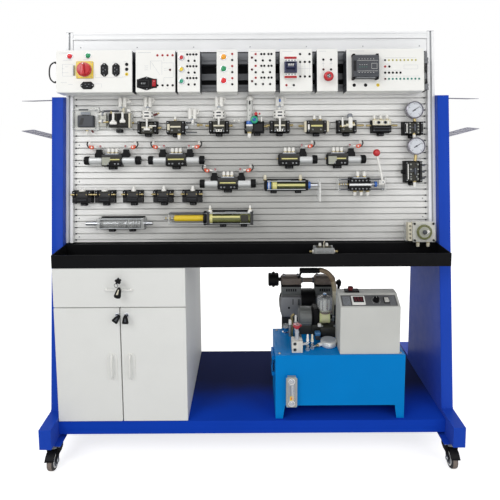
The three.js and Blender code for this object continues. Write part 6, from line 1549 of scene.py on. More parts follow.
grey, grey_y = air_cylinder("through_rod_cylinder", -639, -443, GREY_Z, 24, "bore_clear", "clear_plastic",
    (-586, -500))
for start in (-627, -461):
    grey.turned([(8.6, 0), (19, 0), (19, 6), (8.6, 6)], (start, grey_y, GREY_Z), RIGHT, "dark_grey", 32,
        closed=True)
for x in (-520, -490, -478):
    grey.ring((x, grey_y, GREY_Z), RIGHT, 21, 17.4, 4, "zinc", 32)
grey.box((-600, -500), (-17, -13), (96, 106), "dark_grey")
grey.done("clear_plastic", replaces="double_rod_cylinder")
grey_rod = Piece("through_rod", PANEL)
grey_rod.rod((-691, grey_y, GREY_Z), (-411, grey_y, GREY_Z), 7.8, "steel", 28, 1)
grey_rod.capped([(16.8, 0), (16.8, 5), (15, 6), (15, 12), (16.8, 13), (16.8, 18)], (-551, grey_y, GREY_Z),
    RIGHT, "dark_steel", 32)
grey_rod.rod((-419, grey_y, GREY_Z), (-411.2, grey_y, GREY_Z), 8, "brass", 6)
grey_rod.done("steel", "double_cylinder_rod_body", "double_cylinder_rod")

gold, gold_y = air_cylinder("plunger_barrel", -184, 9, GOLD_Z, 27, "barrel", "cast_dark", (-118, -30))
gold.turned([(13.8, 0), (28, 0), (30, 2), (30, 10), (28, 12), (13.8, 12)], (-198, gold_y, GOLD_Z), RIGHT,
    "soft_black", 36, closed=True)
gold.turned([(13.6, 0), (24, 0), (24, 12), (13.6, 12)], (-172, gold_y, GOLD_Z), RIGHT, "pale_yellow", 36,
    closed=True)
gold.box((-42, -12), (gold_y - 27.4, gold_y - 20), (92, 120), "olive", 2)
# A pale strip along the clear barrel's front, just above its middle line: a painted highlight.
gold.box((-160, -46), (gold_y - 24, gold_y - 22), (109, 116), "pale_yellow", 0.8)
for z in ((122, 127), (85, 90)):
    gold.box((-160, -46), (gold_y - 23.6, gold_y - 20), z, "soft_black", 0.8)
gold.box((-110, -62), (-17, -13), (120, 130), "label_grey", 0.8)
for x in (-128, -34, -14):
    gold.ring((x, -41, 88), OUT, 4, 2, 2, "zinc", 14)
for x in (-171, -4):
    gold.capped([(11, 0), (9, 8), (6, 14)], (x, gold_y, 128), UP, "fitting_white", 20)
    air_fitting(gold, (x, gold_y, 140), UP, 18, 5.6)
for a in (-1, 1):
    gold.rod((-342, gold_y + a * 19, GOLD_Z + 21), (-184, gold_y + a * 19, GOLD_Z + 21), 2.2, "dark_steel",
        12)
    gold.rod((-342, gold_y + a * 19, GOLD_Z - 21), (-184, gold_y + a * 19, GOLD_Z - 21), 2.2, "zinc", 12)
gold.turned([(7, 0), (26, 0), (26, 4.6), (7, 4.6)], (-343.8, gold_y, GOLD_Z), RIGHT, "clear_plastic", 4,
    spin=0.5, closed=True)
gold.done("clear_plastic", replaces="plunger_cylinder")
ram = Piece("yellow_ram", PANEL)
ram.capped([(10.8, 0), (13, 2.2), (13, 150)], (-320, gold_y, GOLD_Z), RIGHT, "yellow", 32)
ram.rod((-363, gold_y, GOLD_Z), (-320, gold_y, GOLD_Z), 4.8, "brass", 18)
for start, radius, length in ((-363, 5.6, 5), (-352, 6.2, 6), (-334, 6.4, 8)):
    ram.rod((start, gold_y, GOLD_Z), (start + length, gold_y, GOLD_Z), radius, "zinc", 6)
ram.done("yellow", "cylinder_plunger_body", "cylinder_plunger")

# Rotary motor with its clear cover
motor = Piece("rotary_motor_cover", PANEL)
mx, mz = 714, 46
motor.prism(rounded((mx - 47, mx + 47), (mz - 42, mz + 42), 4), "y", (-64, -58), "clear_plastic", 1)
motor.prism(rounded((mx - 45, mx + 45), (mz - 40, mz + 40), 4), "y", (-57.6, -34), "cream", 1.5)
motor.prism(rounded((mx - 47, mx + 47), (mz - 42, mz + 42), 4), "y", (-34, -30), "clear_plastic", 1)
motor.capped([(31, 0), (31, 7), (29, 8)], (mx, -64, mz), OUT, "barrel", 44)
motor.ring((mx, -64, mz), OUT, 34, 31, 3, "clear_plastic", 44)
motor.ring((mx, -71.4, mz), OUT, 29, 23, 1.4, "barrel", 40)
motor.capped([(22.4, 0), (22.4, 1)], (mx, -71.4, mz), OUT, "smoke", 40)
motor.rod((mx, -71, mz), (mx, -80, mz), 9, "dark_grey", 20, 1)
motor.prism([(mx + 2, mz - 12), (mx + 22, mz + 2), (mx + 14, mz + 10), (mx - 2, mz - 2)], "y", (-78, -72),
    "fitting_white", 1)
for a, b in product((-1, 1), repeat=2):
    motor.rod((mx + a * 39, -63.6, mz + b * 34), (mx + a * 39, -69, mz + b * 34), 5, "soft_black", 6)
motor.box((mx - 64, mx - 47.4), (-60, -30), (mz - 38, mz + 38), "cream", 2)
for b in (-24, -8, 8, 24):
    motor.ring((mx - 56, -60, mz + b), OUT, 4, 2, 2, "olive", 14)
motor.box((mx - 66, mx - 52), (-30, -3), (mz - 42, mz + 30), "clear_plastic")
motor.box((mx - 50, mx + 20), (-30, -1), (mz - 30, mz + 30), "soft_black", 2)
for x in (mx - 21, mx + 21):
    air_fitting(motor, (x, -48, mz - 40), DOWN, 22, 7, "cream")
motor.done("clear_plastic", replaces="rotary_motor")


# Cabinet fronts, drawer and keys
FRONT, LEAF = -281, 18
CAB_LEFT, CAB_RIGHT, SPLIT = -780, -259, -519.5
DRAWER_LOW, CAB_TOP, CAB_LOW = 646, 804, 169.3


def key_bow(piece, x, z, tilt):
    """A fan-shaped key head that hangs from x, z, turned by tilt."""
    turn = placed((x, 0, z), radians(tilt))
    fan = [(-5, 4), (-9, -6), (-13, -27), (-10, -31), (10, -31), (13, -27), (9, -6), (5, 4), (0, 6)]
    piece.prism(fan, "y", (-309, -303), "soft_black", 1.8, turn)
    piece.prism([(-4, -22), (4, -22), (2, -8), (-2, -8)], "y", (-309.5, -308.6), "dark_grey", 0.3, turn)


def lock_barrel(piece, x, z):
    """A round lock with a slot for its key."""
    radius = 9
    piece.capped([(radius, 0), (radius, 2), (radius - 1, 3), (radius * 0.66, 3), (radius * 0.6, 2.2)],
        (x, FRONT, z), OUT, "chrome", 28)
    piece.box(around(x, 1.6), (FRONT - 2.6, FRONT - 2), around(z, 8), "ink", 0.1)


finish("handle_grey", "e6e6e2", rough=0.30, vary=0.03, coat=0.2, worn="fafafa")
drawer = Piece("drawer_front")
drawer.box((CAB_LEFT, CAB_RIGHT), (FRONT, FRONT + LEAF), (DRAWER_LOW + 1.6, CAB_TOP), "cabinet_grey", 1.6)
drawer.box((CAB_LEFT + 3, CAB_RIGHT - 3), (FRONT + LEAF - 1, FRONT + LEAF + 0.6),
    (DRAWER_LOW + 5, CAB_TOP - 5), "mid_grey", 0.4)
lock_barrel(drawer, SPLIT, 756)
drawer.done("cabinet_grey", "cabinet_drawer_body", "cabinet_drawer")
tub = Piece("drawer_tub")
TUB_LEFT, TUB_RIGHT, TUB_BACK, TUB_LOW, TUB_TOP = -766, -273, 199, 656, 784
tub.box((TUB_LEFT, TUB_RIGHT), (-263, TUB_BACK), (TUB_LOW, TUB_LOW + 1.5), "cabinet_grey", 0.3)
for x in (TUB_LEFT, TUB_RIGHT - 1.5):
    tub.box((x, x + 1.5), (-263, TUB_BACK), (TUB_LOW, TUB_TOP), "cabinet_grey", 0.3)
    tub.box((x - 0.6, x + 2.1), (-263, TUB_BACK), (TUB_TOP - 2, TUB_TOP + 0.4), "cabinet_grey", 0.6)
tub.box((TUB_LEFT, TUB_RIGHT), (TUB_BACK - 1.5, TUB_BACK), (TUB_LOW, TUB_TOP), "cabinet_grey", 0.3)
for x in (TUB_LEFT - 6, TUB_RIGHT + 0.5):
    tub.box((x, x + 5.5), (-258, TUB_BACK - 10), (TUB_LOW + 24, TUB_LOW + 40), "zinc")
tub.done("cabinet_grey", "cabinet_drawer_body")
grip = Piece("drawer_handle")
for side in (-1, 1):
    x = SPLIT + side * 49
    grip.turned([(0, 0), (6, 0), (6, 4), (4.6, 8), (2.4, 10.4), (0, 11)], (x, FRONT, 720), OUT,
        "handle_grey")
grip.rod((SPLIT - 47, FRONT - 8, 720), (SPLIT + 47, FRONT - 8, 720), 3.2, "handle_grey", 16, 1)
grip.done("cabinet_grey", "cabinet_drawer_body")
key = Piece("drawer_lock_key")
key.capped([(7, 0), (7, 3), (5, 6)], (SPLIT, FRONT - 0.4, 756), OUT, "dark_steel")
key.box(around(SPLIT, 2.4), (-303, FRONT - 4), (752.5, 759.5), "chrome", 0.6)
trefoil = []
for k in range(40):
    angle = tau * k / 40
    reach = 10.6 + 2.2 * cos(5 * (angle - pi / 2))
    trefoil.append((SPLIT + 5.5 + reach * cos(angle), 764 + reach * sin(angle)))
key.prism(trefoil, "y", (-317, -303), "soft_black", 2.2)
key.ring((SPLIT - 3, -311, 746), (0.2, 1, 0.1), 8.6, 6.6, 1.8, "dark_steel")
key.prism([(SPLIT - 13, 706), (SPLIT - 11, 699), (SPLIT, 694), (SPLIT + 11, 695), (SPLIT + 14, 702),
    (SPLIT + 16, 728), (SPLIT + 13, 737), (SPLIT + 7, 740), (SPLIT + 1, 735)], "y", (-313, -306),
    "soft_black", 2)
key.prism([(SPLIT - 4, 710), (SPLIT + 4, 710), (SPLIT + 9, 731), (SPLIT + 5, 731)], "y", (-313.8, -312.6),
    "cream", 0.4)
key.done("steel", "drawer_key_body", "drawer_key")
for side, sign, left, right in (("left", -1, CAB_LEFT, SPLIT - 1), ("right", 1, SPLIT + 1, CAB_RIGHT)):
    leaf = Piece(f"{side}_door_leaf")
    meet = right - 1 if sign < 0 else left + 1
    leaf.box(sorted([meet, left if sign < 0 else right]), (FRONT, FRONT + LEAF),
        (CAB_LOW + 1, DRAWER_LOW - 2), "cabinet_grey", 1.6)
    leaf.box((left + 30, right - 30), (FRONT + LEAF - 0.5, FRONT + LEAF + 0.6),
        (CAB_LOW + 40, DRAWER_LOW - 40), "cabinet_grey", 0.5)
    middle_x = SPLIT + sign * 36
    low_z, high_z = 348.3, 460.3
    bullet = [(middle_x - 20, low_z), (middle_x + 20, low_z)]
    bullet += [(middle_x + 20 * cos(pi * i / 12), high_z - 22 + 22 * sin(pi * i / 12)) for i in range(13)]
    leaf.prism(bullet, "y", (FRONT - 2.4, FRONT + 0.2), "handle_grey", 1.2)
    inner = [(middle_x + (x - middle_x) * 0.8, low_z + 4 + (z - low_z) * 0.92) for x, z in bullet]
    leaf.prism(inner, "y", (FRONT - 3, FRONT - 0.4), "cabinet_grey", 0.9)
    leaf.tube([(middle_x, FRONT - 1, low_z + 8), (middle_x, FRONT - 10, low_z + 11),
        (middle_x, FRONT - 15, low_z + 26), (middle_x, FRONT - 16, low_z + 56),
        (middle_x, FRONT - 15, high_z - 26), (middle_x, FRONT - 10, high_z - 11),
        (middle_x, FRONT - 1, high_z - 8)], 4.2, "handle_grey", 16)
    leaf.ball((middle_x, FRONT - 3, high_z - 12), 4.4, "handle_grey", 16)
    leaf.capped([(3.4, 0), (3.4, 1)], (middle_x, FRONT - 2, low_z + 7), OUT, "dark_grey", 16)
    lock_x = SPLIT + (-10 if sign < 0 else 27)
    lock_barrel(leaf, lock_x, 616)
    leaf.box(around(lock_x, 2.4), (-303, FRONT - 2), (612.5, 619.5), "chrome", 0.6)
    key_bow(leaf, lock_x + (1 if sign > 0 else 12), 621, 38 if sign < 0 else 2)
    for z in (CAB_LOW + 60, DRAWER_LOW - 70):
        hinge_x = left if sign < 0 else right
        leaf.rod((hinge_x - sign * 4, FRONT + LEAF + 1.5, z), (hinge_x - sign * 4, FRONT + LEAF + 1.5,
            z + 50), 2.4, "zinc", 12)
    leaf.done("cabinet_grey", f"{side}_door_body", f"{side}_door")

# Lead racks keep their CAD shape
keep("left_lead_rack", "rack_grey", 0.5)
keep("right_lead_rack", "rack_grey", 0.5)
for side, sign in SIDES:
    bolts = Piece(f"{side}_rack_screws")
    low_corner, high_corner = (1000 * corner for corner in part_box(f"{side}_lead_rack"))
    for number in range(5):
        for along in (25.4 + 22 * number, 34.6 + 22 * number):
            rise = low_corner[2] + along * 0.2586
            outline = [(sign * (829.3 + along), rise - 0.3), (sign * (831.3 + along), rise + 0.3),
                (sign * (831.3 + along), rise + 2.3), (sign * (829.3 + along), rise + 1.7)]
            bolts.prism(outline[::sign], "y", (low_corner[1] + 15, high_corner[1] - 15), "rack_grey", 0)
    for y, z in ((-46, 1310), (42, 1310), (-46, 1440), (42, 1440)):
        bolts.screw((sign * 832.3, y, z), (sign, 0, 0), 5)
    bolts.done("steel")

# Welds where the columns stand on the feet
for side, sign in SIDES:
    seam = Piece(f"{side}_frame_weld")
    beads = []
    for step in range(95):
        y = -231 + 4.68 * step
        beads.append((sign * 830.2, y, 186.4 + 0.5 * (step % 2)))
    seam.tube(beads, 1.7, "frame_blue", 8, soft=False)
    seam.tube([(sign * (782 + 3 * i), -232.4 - 0.4 * (i % 2), 186.8) for i in range(16)], 1.8, "frame_blue",
        8, soft=False)
    seam.done("frame_blue")

# Casters
AXLE_Z, WHEEL_RADIUS = 37.5, 37.5
for corner, sx, sy in (("front_left", -1, -1), ("front_right", 1, -1), ("rear_left", -1, 1),
        ("rear_right", 1, 1)):
    cx, pin_y, axle_y = sx * 792.5, sy * 300.5, sy * 326.5
    plate = Piece(f"{corner}_caster_bolts")
    for a, b in product((-1, 1), repeat=2):
        plate.turned([(0, 0), (5.6, 0), (5.6, -3.4), (5, -4), (0, -4)][::-1],
            (cx + a * 29, pin_y + b * 29, 100.8), UP, "zinc", 6)
    plate.done("steel")
    fork = Piece(f"{corner}_caster_yoke")
    fork.capped([(27, 100.4), (28, 99), (28, 95), (24, 93), (24, 90), (27, 88), (27, 84), (22, 81)],
        (cx, pin_y, 0), UP, "zinc", 36)
    fork.capped([(8, 83), (8, 78)], (cx, pin_y, 0), UP, "dark_steel", 6)
    for side in (-1, 1):
        cheek = [(pin_y - 24, 88), (pin_y + 24, 88), (pin_y + 22, 78), (axle_y + 14, 40), (axle_y + 8, 28),
            (axle_y - 8, 28), (axle_y - 14, 40), (pin_y - 22, 78)]
        flare = [(cx + side * 15.4, 88), (cx + side * 27, 88), (cx + side * 25, 68), (cx + side * 18.6, 50),
            (cx + side * 15.4, 50)]
        fork.prism(flare[::side], "y", (pin_y - 21, pin_y + 21), "soft_black")
        fork.prism(cheek, "x", sorted([cx + side * 15.4, cx + side * 18.6]), "soft_black")
        fork.capped([(9, 0), (9, 3), (7, 5)], (cx + side * 18.6, axle_y, AXLE_Z), (side, 0, 0), "zinc", 6)
        fork.ring((cx + side * 18.4, axle_y, AXLE_Z), (side, 0, 0), 13, 8, 1.6, "dark_steel", 28)
    arc = [(axle_y + sy * 42 * cos(radians(a)), AXLE_Z + 42 * sin(radians(a))) for a in range(30, 151, 6)]
    arc += [(axle_y + sy * 39.6 * cos(radians(a)), AXLE_Z + 39.6 * sin(radians(a))) for a in range(150, 29,
        -6)]
    fork.prism(arc, "x", (cx - 18.4, cx + 18.4), "soft_black", 0.5)
    fork.box((cx - 18, cx + 18), sorted([axle_y + sy * 34, axle_y + sy * 42]), (56, 60), "soft_black", 1.5)
    fork.done("black_plastic", f"{corner}_caster_fork_body", f"{corner}_caster_fork")
    roll = Piece(f"{corner}_caster_tyre")
    roll.turned([(33, -8), (37.2, -8), (WHEEL_RADIUS, -4), (WHEEL_RADIUS, 4), (37.2, 8), (33, 8)],
        (cx, axle_y, AXLE_Z), RIGHT, "tread_tan", 48, closed=True)
    roll.turned([(24, -12.4), (31, -13), (35, -11.4), (36.8, -8.4), (37, -4), (37, 4), (36.8, 8.4),
        (35, 11.4), (31, 13), (24, 12.4)], (cx, axle_y, AXLE_Z), RIGHT, "tyre_grey", 48, closed=True)
    roll.turned([(0, -9), (8, -9.4), (8, -11), (12, -11), (13, -9), (21, -9), (24.4, -12), (24.4, 12),
        (21, 9), (13, 9), (12, 11), (8, 11), (8, 9.4), (0, 9)], (cx, axle_y, AXLE_Z), RIGHT, "mid_grey", 36)
    for side in (-1, 1):
        roll.ring((cx + side * 11.6, axle_y, AXLE_Z), (side, 0, 0), 27, 21, 1.6, "fitting_white", 40)
    roll.rod((cx - 13.6, axle_y, AXLE_Z), (cx + 13.6, axle_y, AXLE_Z), 5, "dark_steel")
    roll.done("dark_grey", f"{corner}_caster_wheel_body", f"{corner}_caster_wheel")

# Oil tank fittings
TANK_FRONT, TANK_TOP = -268, 438
level_gauge = Piece("oil_level_gauge")
level_gauge.prism(rounded((136.6, 181.4), (226.8, 354.4), 7), "y", (-285, TANK_FRONT + 0.2), "plate_grey",
    1.6)
level_gauge.prism(rounded((143, 175), (233, 348), 4), "y", (-286, -284), "steel", 0.6)
for z in (244, 337):
    level_gauge.capped([(9, 0), (10, 1.4), (10, 3.4), (8.6, 5)], (159, -285.4, z), OUT, "chrome", 6)
    level_gauge.ring((159, -285.4, z), OUT, 13, 10, 1.6, "fitting_white", 28)
level_gauge.box((149, 169), (-287.4, -285), (256, 325), "label_grey")
level_gauge.rod((162, -288, 258), (162, -288, 323), 4.2, "clear_plastic", 20)
level_gauge.box((150, 156), (-287.8, -286.8), (262, 320), "mid_grey", 0.2)
level_gauge.box((151, 167), (-288, -286.6), (258, 276), "yellow", 0.6)
level_gauge.box((155, 163), (-288.6, -287.4), (263, 271), "orange", 0.6)
for k in range(6):
    level_gauge.box((165, 168), (-287.8, -287.2), (282 + 7 * k, 283 + 7 * k), "ink", 0.1)
level_gauge.done("steel")
tank_top = Piece("tank_cover_fittings")
for x, y in ((112, -252), (600, -252), (112, -40), (600, -40), (230, -40), (340, -40)):
    tank_top.screw((x, y, TANK_TOP), UP, 6)
tank_top.capped([(15, 0), (15, 4), (11, 6), (11, 16), (14, 19), (14, 25)], (150, -62, TANK_TOP), UP,
    "chrome", 32)
tank_top.turned([(0, 0), (13, 0), (13.6, 3), (13.6, 12), (10, 15), (0, 16)], (150, -62, TANK_TOP + 24), UP,
    "bowl_clear", 32)
tank_top.ring((150, -62, TANK_TOP + 16), UP, 13, 10, 5, "ring_blue", 32)
tank_top.capped([(17, 0), (17, 4), (14, 6), (14, 10)], (560, -63, TANK_TOP), UP, "soft_black", 28)
tank_top.done("steel")
tank_side = Piece("tank_side_handle")
for x, z in (((84, 87), (306, 394)), ((84.5, 95), (376, 394)), ((84.5, 95), (306, 322))):
    tank_side.box(x, (-185, -105), z, "tank_blue")
tank_side.box((83, 85), (-172, -118), (346, 366), "soft_black", 0.6)
tank_side.done("tank_blue")

# Control box face, in a frame that lies on its slope
SLOPE_TILT = radians(29.36)
SLOPE = placed((354, -262, 633.3), SLOPE_TILT, "X")
DIAL_X, DIAL_UP = 148.8, 36.7
face = Piece("control_box_face", SLOPE)
face.box((8.6, 231.4), (8.6, 64.8), (-5.4, -4.2), "panel_dark", 0.4)
for k in range(9):
    face.box((16 + 3.4 * k, 17 + 3.4 * k), (14, 58), (-4.4, -3.9), "label_grey", 0.1)
    face.box((204 + 2.6 * k, 204.8 + 2.6 * k), (14, 58), (-4.4, -3.9), "mid_grey", 0.1)
face.box((50, 104), (14, 58), (-4.4, 2.5), "module_white", 2)
face.box((56, 98), (24, 52), (1.8, 3), "ink", 0.6)
for k in range(3):
    x = 62 + 12 * k
    for bar in ((0, 7, 47, 48.6), (0, 7, 38.2, 39.8), (0, 7, 29, 30.6), (0, 1.6, 30, 48), (5.4, 7, 30, 48)):
        face.box((x + bar[0], x + bar[1]), (bar[2], bar[3]), (2.8, 3.4), "meter_red", 0.1)
for k in range(11):
    angle = radians(225 - 27 * k)
    turn = placed((DIAL_X, DIAL_UP, 0), angle, "Z")
    face.box((15, 18.5), (-0.5, 0.5), (-4.3, -3.9), "module_white", 0.1, turn)
face.box((180, 202), (22, 52), (-4.4, 0), "soft_black")
face.prism([(26, -1), (48, -1), (48, 2), (37, 4), (26, 9)], "x", (182.5, 199.5), "fitting_white")
face.done("black_plastic")
speed = Piece("speed_dial_knob", SLOPE)
speed.capped([(12.5, -4), (12.5, -2.6)], (DIAL_X, DIAL_UP, 0), UP, "black_plastic", 32)
ribbed_knob(speed, (DIAL_X, DIAL_UP, -3), UP, 10.8, 16, "soft_black", 16, 0.8)
speed.box(around(DIAL_X, 1), (38, 46.5), (12.6, 13.4), "module_white", 0.1)
speed.done("black_plastic", "speed_knob_body", "speed_knob")
top_switch = Piece("box_top_switch")
top_switch.box((384, 442), (-200, -166), (669.5, 676.5), "soft_black", 1.4)
top_switch.capped([(9, 0), (9, 6), (11, 7), (11, 13), (8, 15)], (408, -183, 676), UP, "dark_red", 28)
top_switch.done("black_plastic")
box_detail = Piece("control_box_screws")
for y, z in ((-250, 455), (-165, 455), (-165, 650)):
    for x, sense in ((354, -1), (594, 1)):
        box_detail.screw((x, y, z), (sense, 0, 0), 4)
for k in range(7):
    box_detail.box((593.8, 594.4), (-240 + 9 * k, -236 + 9 * k), (500, 540), "ink", 0.1)
box_detail.done("steel")


# Air compressor behind the tank
finish("housing_grey", "9fa0a2", rough=0.44, vary=0.12, bump=0.16, worn="a2a4a6")
finish("tube_cream", "efe8ce", rough=0.32, vary=0.08, bump=0.04, coat=0.1)
finish("tube_tan", "d2c2a0", rough=0.32, bump=0.04, coat=0.1)
finish("tube_brown", "a08a70", rough=0.34, vary=0.12, bump=0.04, shine=0.3)
finish("block_blue", "4c86bc", rough=0.34, vary=0.12, coat=0.2)
finish("soot", "232420", rough=0.55, vary=0.20, bump=0.2, worn="55564f")

compressor = Piece("compressor_receiver")
RECEIVER_Z, COMPRESSOR_Y = 274, 120
MOTOR_Z, SHAFT_Z, FILTER_Z = 512, 612, 616
profile = [(0, 0), (36, 1), (62, 5), (80, 14), (88, 26), (88, 294), (80, 306), (62, 315), (36, 319),
    (0, 320)]
compressor.turned(profile, (104, COMPRESSOR_Y, RECEIVER_Z), RIGHT, "cast_dark", 56)
for x in (128, 400):
    compressor.ring((x - 1.5, COMPRESSOR_Y, RECEIVER_Z), RIGHT, 88.9, 86, 4, "cast_dark", 56)
for x in (150, 350):
    compressor.prism([(62, 169.3), (178, 169.3), (178, 174), (160, 178), (150, 220), (90, 220), (80, 178),
        (62, 174)], "x", (x, x + 30), "cast_dark", 1)
compressor.capped([(12, 0), (12, 8), (8, 9), (8, 14)], (264, COMPRESSOR_Y, 188), DOWN, "brass", 6)
compressor.done("dark_grey", replaces="air_compressor")
HEAD_FRONT, HEAD_BACK, CAP_LOW, CAP_TOP, SHROUD_LOW = 90, 144, 590, 636, 442
for number, left in ((1, 139), (2, 296)):
    head = Piece(f"compressor_head_{number}")
    right = left + 98
    head.box((left, right), (HEAD_FRONT, HEAD_BACK), (CAP_LOW + 3, CAP_TOP), "cast_grey", 10)
    for k in range(4):
        head.box((left + 6, right - 6), (HEAD_FRONT - 1.2, HEAD_BACK + 1.2),
            (CAP_LOW + 10 + 9 * k, CAP_LOW + 12 + 9 * k), "cast_grey", 0.8)
    head.box((left + 1.5, right - 1.5), (HEAD_FRONT + 1, HEAD_BACK - 1), (CAP_LOW - 2, CAP_LOW + 4),
        "soft_black", 0.6)
    for x, y in product((left + 16, right - 16), (HEAD_FRONT + 14, HEAD_BACK - 14)):
        head.capped([(5, 0), (5, 4), (3, 5)], (x, y, CAP_TOP - 1), UP, "dark_steel", 6)
    band = (CAP_LOW - 44, CAP_LOW - 1)
    head.box((left + 3, right - 3), (HEAD_FRONT + 2, HEAD_BACK - 2), band, "motor_grey", 4)
    for k in range(5):
        head.box((left + 24 + 10.4 * k, left + 31 + 10.4 * k), (HEAD_FRONT + 0.8, HEAD_FRONT + 6),
            (band[1] - 23, band[1] - 10), "ink", 0.5)
    shroud = [(left + 3, band[0] + 1), (left - 2, band[0] - 14), (left - 4, 514), (left - 3, 486),
        (left + 1, 462), (left + 8, SHROUD_LOW), (right - 4, SHROUD_LOW), (right + 3, 462),
        (right + 5, 486), (right + 5, 514), (right + 3, band[0] - 14), (right - 2, band[0] + 1)]
    head.prism(shroud, "y", (HEAD_FRONT - 6, HEAD_BACK + 4), "housing_grey", 7)
    head.prism([(x - 3, z) for x, z in shroud], "y", (HEAD_FRONT + 12, HEAD_BACK - 8), "soft_black", 5)
    for x, low, high in ((left + 54, 505, 532), (right - 12, 502, 532), (right - 19, 502, 532)):
        head.box((x, x + 4), (HEAD_FRONT - 6.6, HEAD_FRONT - 2), (low, high), "ink", 0.5)
    head.box((left + 6, right - 6), (HEAD_FRONT - 6.5, HEAD_FRONT - 3), (band[0] - 5, band[0] - 2.6), "ink",
        0.3)
    head.capped([(5, 0), (5, 1.6)], (left + 37, HEAD_FRONT - 5.6, 490), OUT, "soft_black", 18)
    head.box((left + 6, right - 6), (HEAD_FRONT + 6, HEAD_BACK - 6), (350, SHROUD_LOW + 4), "cast_dark", 3)
    head.done("dark_grey")
drive = Piece("compressor_motor")
drive.capped([(55, 0), (55, 66)], (234, COMPRESSOR_Y, MOTOR_Z), RIGHT, "soft_black", 40)
for k in range(8):
    drive.ring((243 + 6 * k, COMPRESSOR_Y, MOTOR_Z), RIGHT, 57, 52, 3, "soft_black", 40)
drive.rod((234, COMPRESSOR_Y, SHAFT_Z), (298, COMPRESSOR_Y, SHAFT_Z), 11, "cast_grey", 20)
for x in (236, 288):
    drive.ring((x, COMPRESSOR_Y, SHAFT_Z), RIGHT, 14, 10, 7, "dark_steel", 6)
drive.done("dark_grey")
filters = Piece("compressor_filters")
filters.capped([(27, 0), (31, 3), (31, 12), (30, 13), (30, 15), (31, 16), (31, 32), (30, 33), (30, 35),
    (31, 36), (31, 45), (27, 48)], (81, COMPRESSOR_Y, FILTER_Z), RIGHT, "soft_black", 28)
for z in (647, 585):
    filters.ball((105, COMPRESSOR_Y, z), 7, "soft_black", 16)
filters.rod((126, COMPRESSOR_Y, FILTER_Z), (142, COMPRESSOR_Y, FILTER_Z), 9, "soft_black", 18)
filters.prism([(402, 596), (404, 606), (410, 612), (420, 614), (425, 606), (424, 592), (418, 580),
    (416, 562), (408, 562), (408, 582)], "y", (104, 128), "soft_black", 4)
filters.rod((390, COMPRESSOR_Y, 596), (406, 118, 598), 7, "soft_black", 14)
filters.done("black_plastic")
bar = Piece("compressor_handle")
bend = smooth_path([(298, 15, 693), (316, 15, 694), (346, 15, 680), (366, 15, 650), (376, 15, 612),
    (378, 15, 570), (377, 22, 510), (374, 40, 440), (370, 70, 352)])
for start, end, look in ((0, 20, "tube_brown"), (19, 27, "tube_tan"), (26, len(bend), "tube_cream")):
    bar.tube(bend[start:end], 11, look, 20, soft=False)
bar.capped([(10.5, 0), (12.5, 2), (12.5, 80), (11.5, 82), (11.5, 84), (12.5, 86), (12.5, 89), (10, 90)],
    (218, 15, 693), RIGHT, "soft_black", 28)
for k in range(9):
    bar.ring((226 + 7 * k, 15, 693), RIGHT, 13.0, 11, 2.6, "soft_black", 28)
bar.rod((222, 15, 680), (222, 90, 634), 5, "soft_black", 12)
bar.done("black_plastic")

# Hydraulic pump on the tank
pump = Piece("pump_motor_body")
PUMP_Z, PUMP_Y, PUMP_FOOT = 513, -60, TANK_TOP + 0.4
pump.capped([(26, 0), (36, 3), (41, 10), (41, 58), (38, 61)], (205, PUMP_Y, PUMP_Z), RIGHT, "motor_grey",
    48)
for k in range(18):
    turn = placed((0, PUMP_Y, PUMP_Z), tau * k / 18, "X")
    pump.box((217, 259), (-1, 1), (40, 42.2), "motor_grey", 0.5, turn)
pump.ring((260, PUMP_Y, PUMP_Z), RIGHT, 42, 20, 6, "soft_black", 48)
pump.box((266, 296), (-94, -26), (484, 556), "soft_black", 6)
pump.box((262, 300), (-95, -25), (PUMP_FOOT, 486), "soot", 4)
pump.box((294, 366), (-118, -40), (PUMP_FOOT, 486), "soot", 5)
pump.box((206, 264), (-84, -36), (PUMP_FOOT, 478), "soot", 3)
for x, y in product((304, 356), (-108, -50)):
    pump.capped([(5, 0), (5, 5)], (x, y, 486), UP, "zinc", 6)
for a in (-22, 22):
    pump.rod((296, PUMP_Y + a, 521 + a), (300, PUMP_Y + a, 521 + a), 5, "zinc", 6)
pump.done("dark_grey", replaces="pump_motor")
coil = Piece("pump_coil")
COIL_Y, COIL_Z = -72, 513
coil.capped([(24, 0), (27, 2), (27, 7), (26, 8), (26, 38), (27, 39), (27, 44), (24, 46)],
    (295, COIL_Y, COIL_Z), RIGHT, "coil_green", 40)
for k in range(7):
    coil.ring((306 + 4 * k, COIL_Y, COIL_Z), RIGHT, 26.8, 25, 1.6, "cream", 40)
coil.rod((341, COIL_Y, COIL_Z), (352, COIL_Y, COIL_Z), 10, "soft_black", 6)
coil.rod((350, COIL_Y, COIL_Z), (362, COIL_Y, COIL_Z), 7, "zinc", 6)
coil.rod((372, -60, 470), (372, -60, 560), 9, "soft_black")
coil.box((360, 376), (-72, -48), (PUMP_FOOT, 478), "soot", 2)
coil.box((285, 300), (-116, -100), (486, 499), "fitting_white", 2)
coil.done("dark_grey")
bowl = Piece("pump_oil_bowl")
BOWL_X = 321
bowl.turned([(24, 0), (32, 3), (34, 8), (34, 56), (31, 62), (20, 66), (19, 63), (29, 59), (31, 54), (31, 8),
    (22, 4)], (BOWL_X, PUMP_Y, 536), UP, "bowl_clear", 44, closed=True)
bowl.capped([(30, 0), (33, 2), (33, 7)], (BOWL_X, PUMP_Y, 531), UP, "cast_grey", 40)
bowl.rod((322, -66, 540), (322, -66, 592), 8, "dial_white", 18)
bowl.prism([(326, 548), (334, 548), (333, 572), (328, 580)], "y", (-80, -74), "dark_red", 1)
bowl.rod((304, -72, 540), (304, -72, 584), 3.4, "fitting_white", 12)
bowl.rod((340, -60, 540), (340, -60, 586), 3.4, "fitting_white", 12)
bowl.turned([(0, 0), (19, 0), (19, 4), (9, 6), (9, 12), (0, 13)], (BOWL_X, PUMP_Y, 599), UP, "panel_dark",
    32)
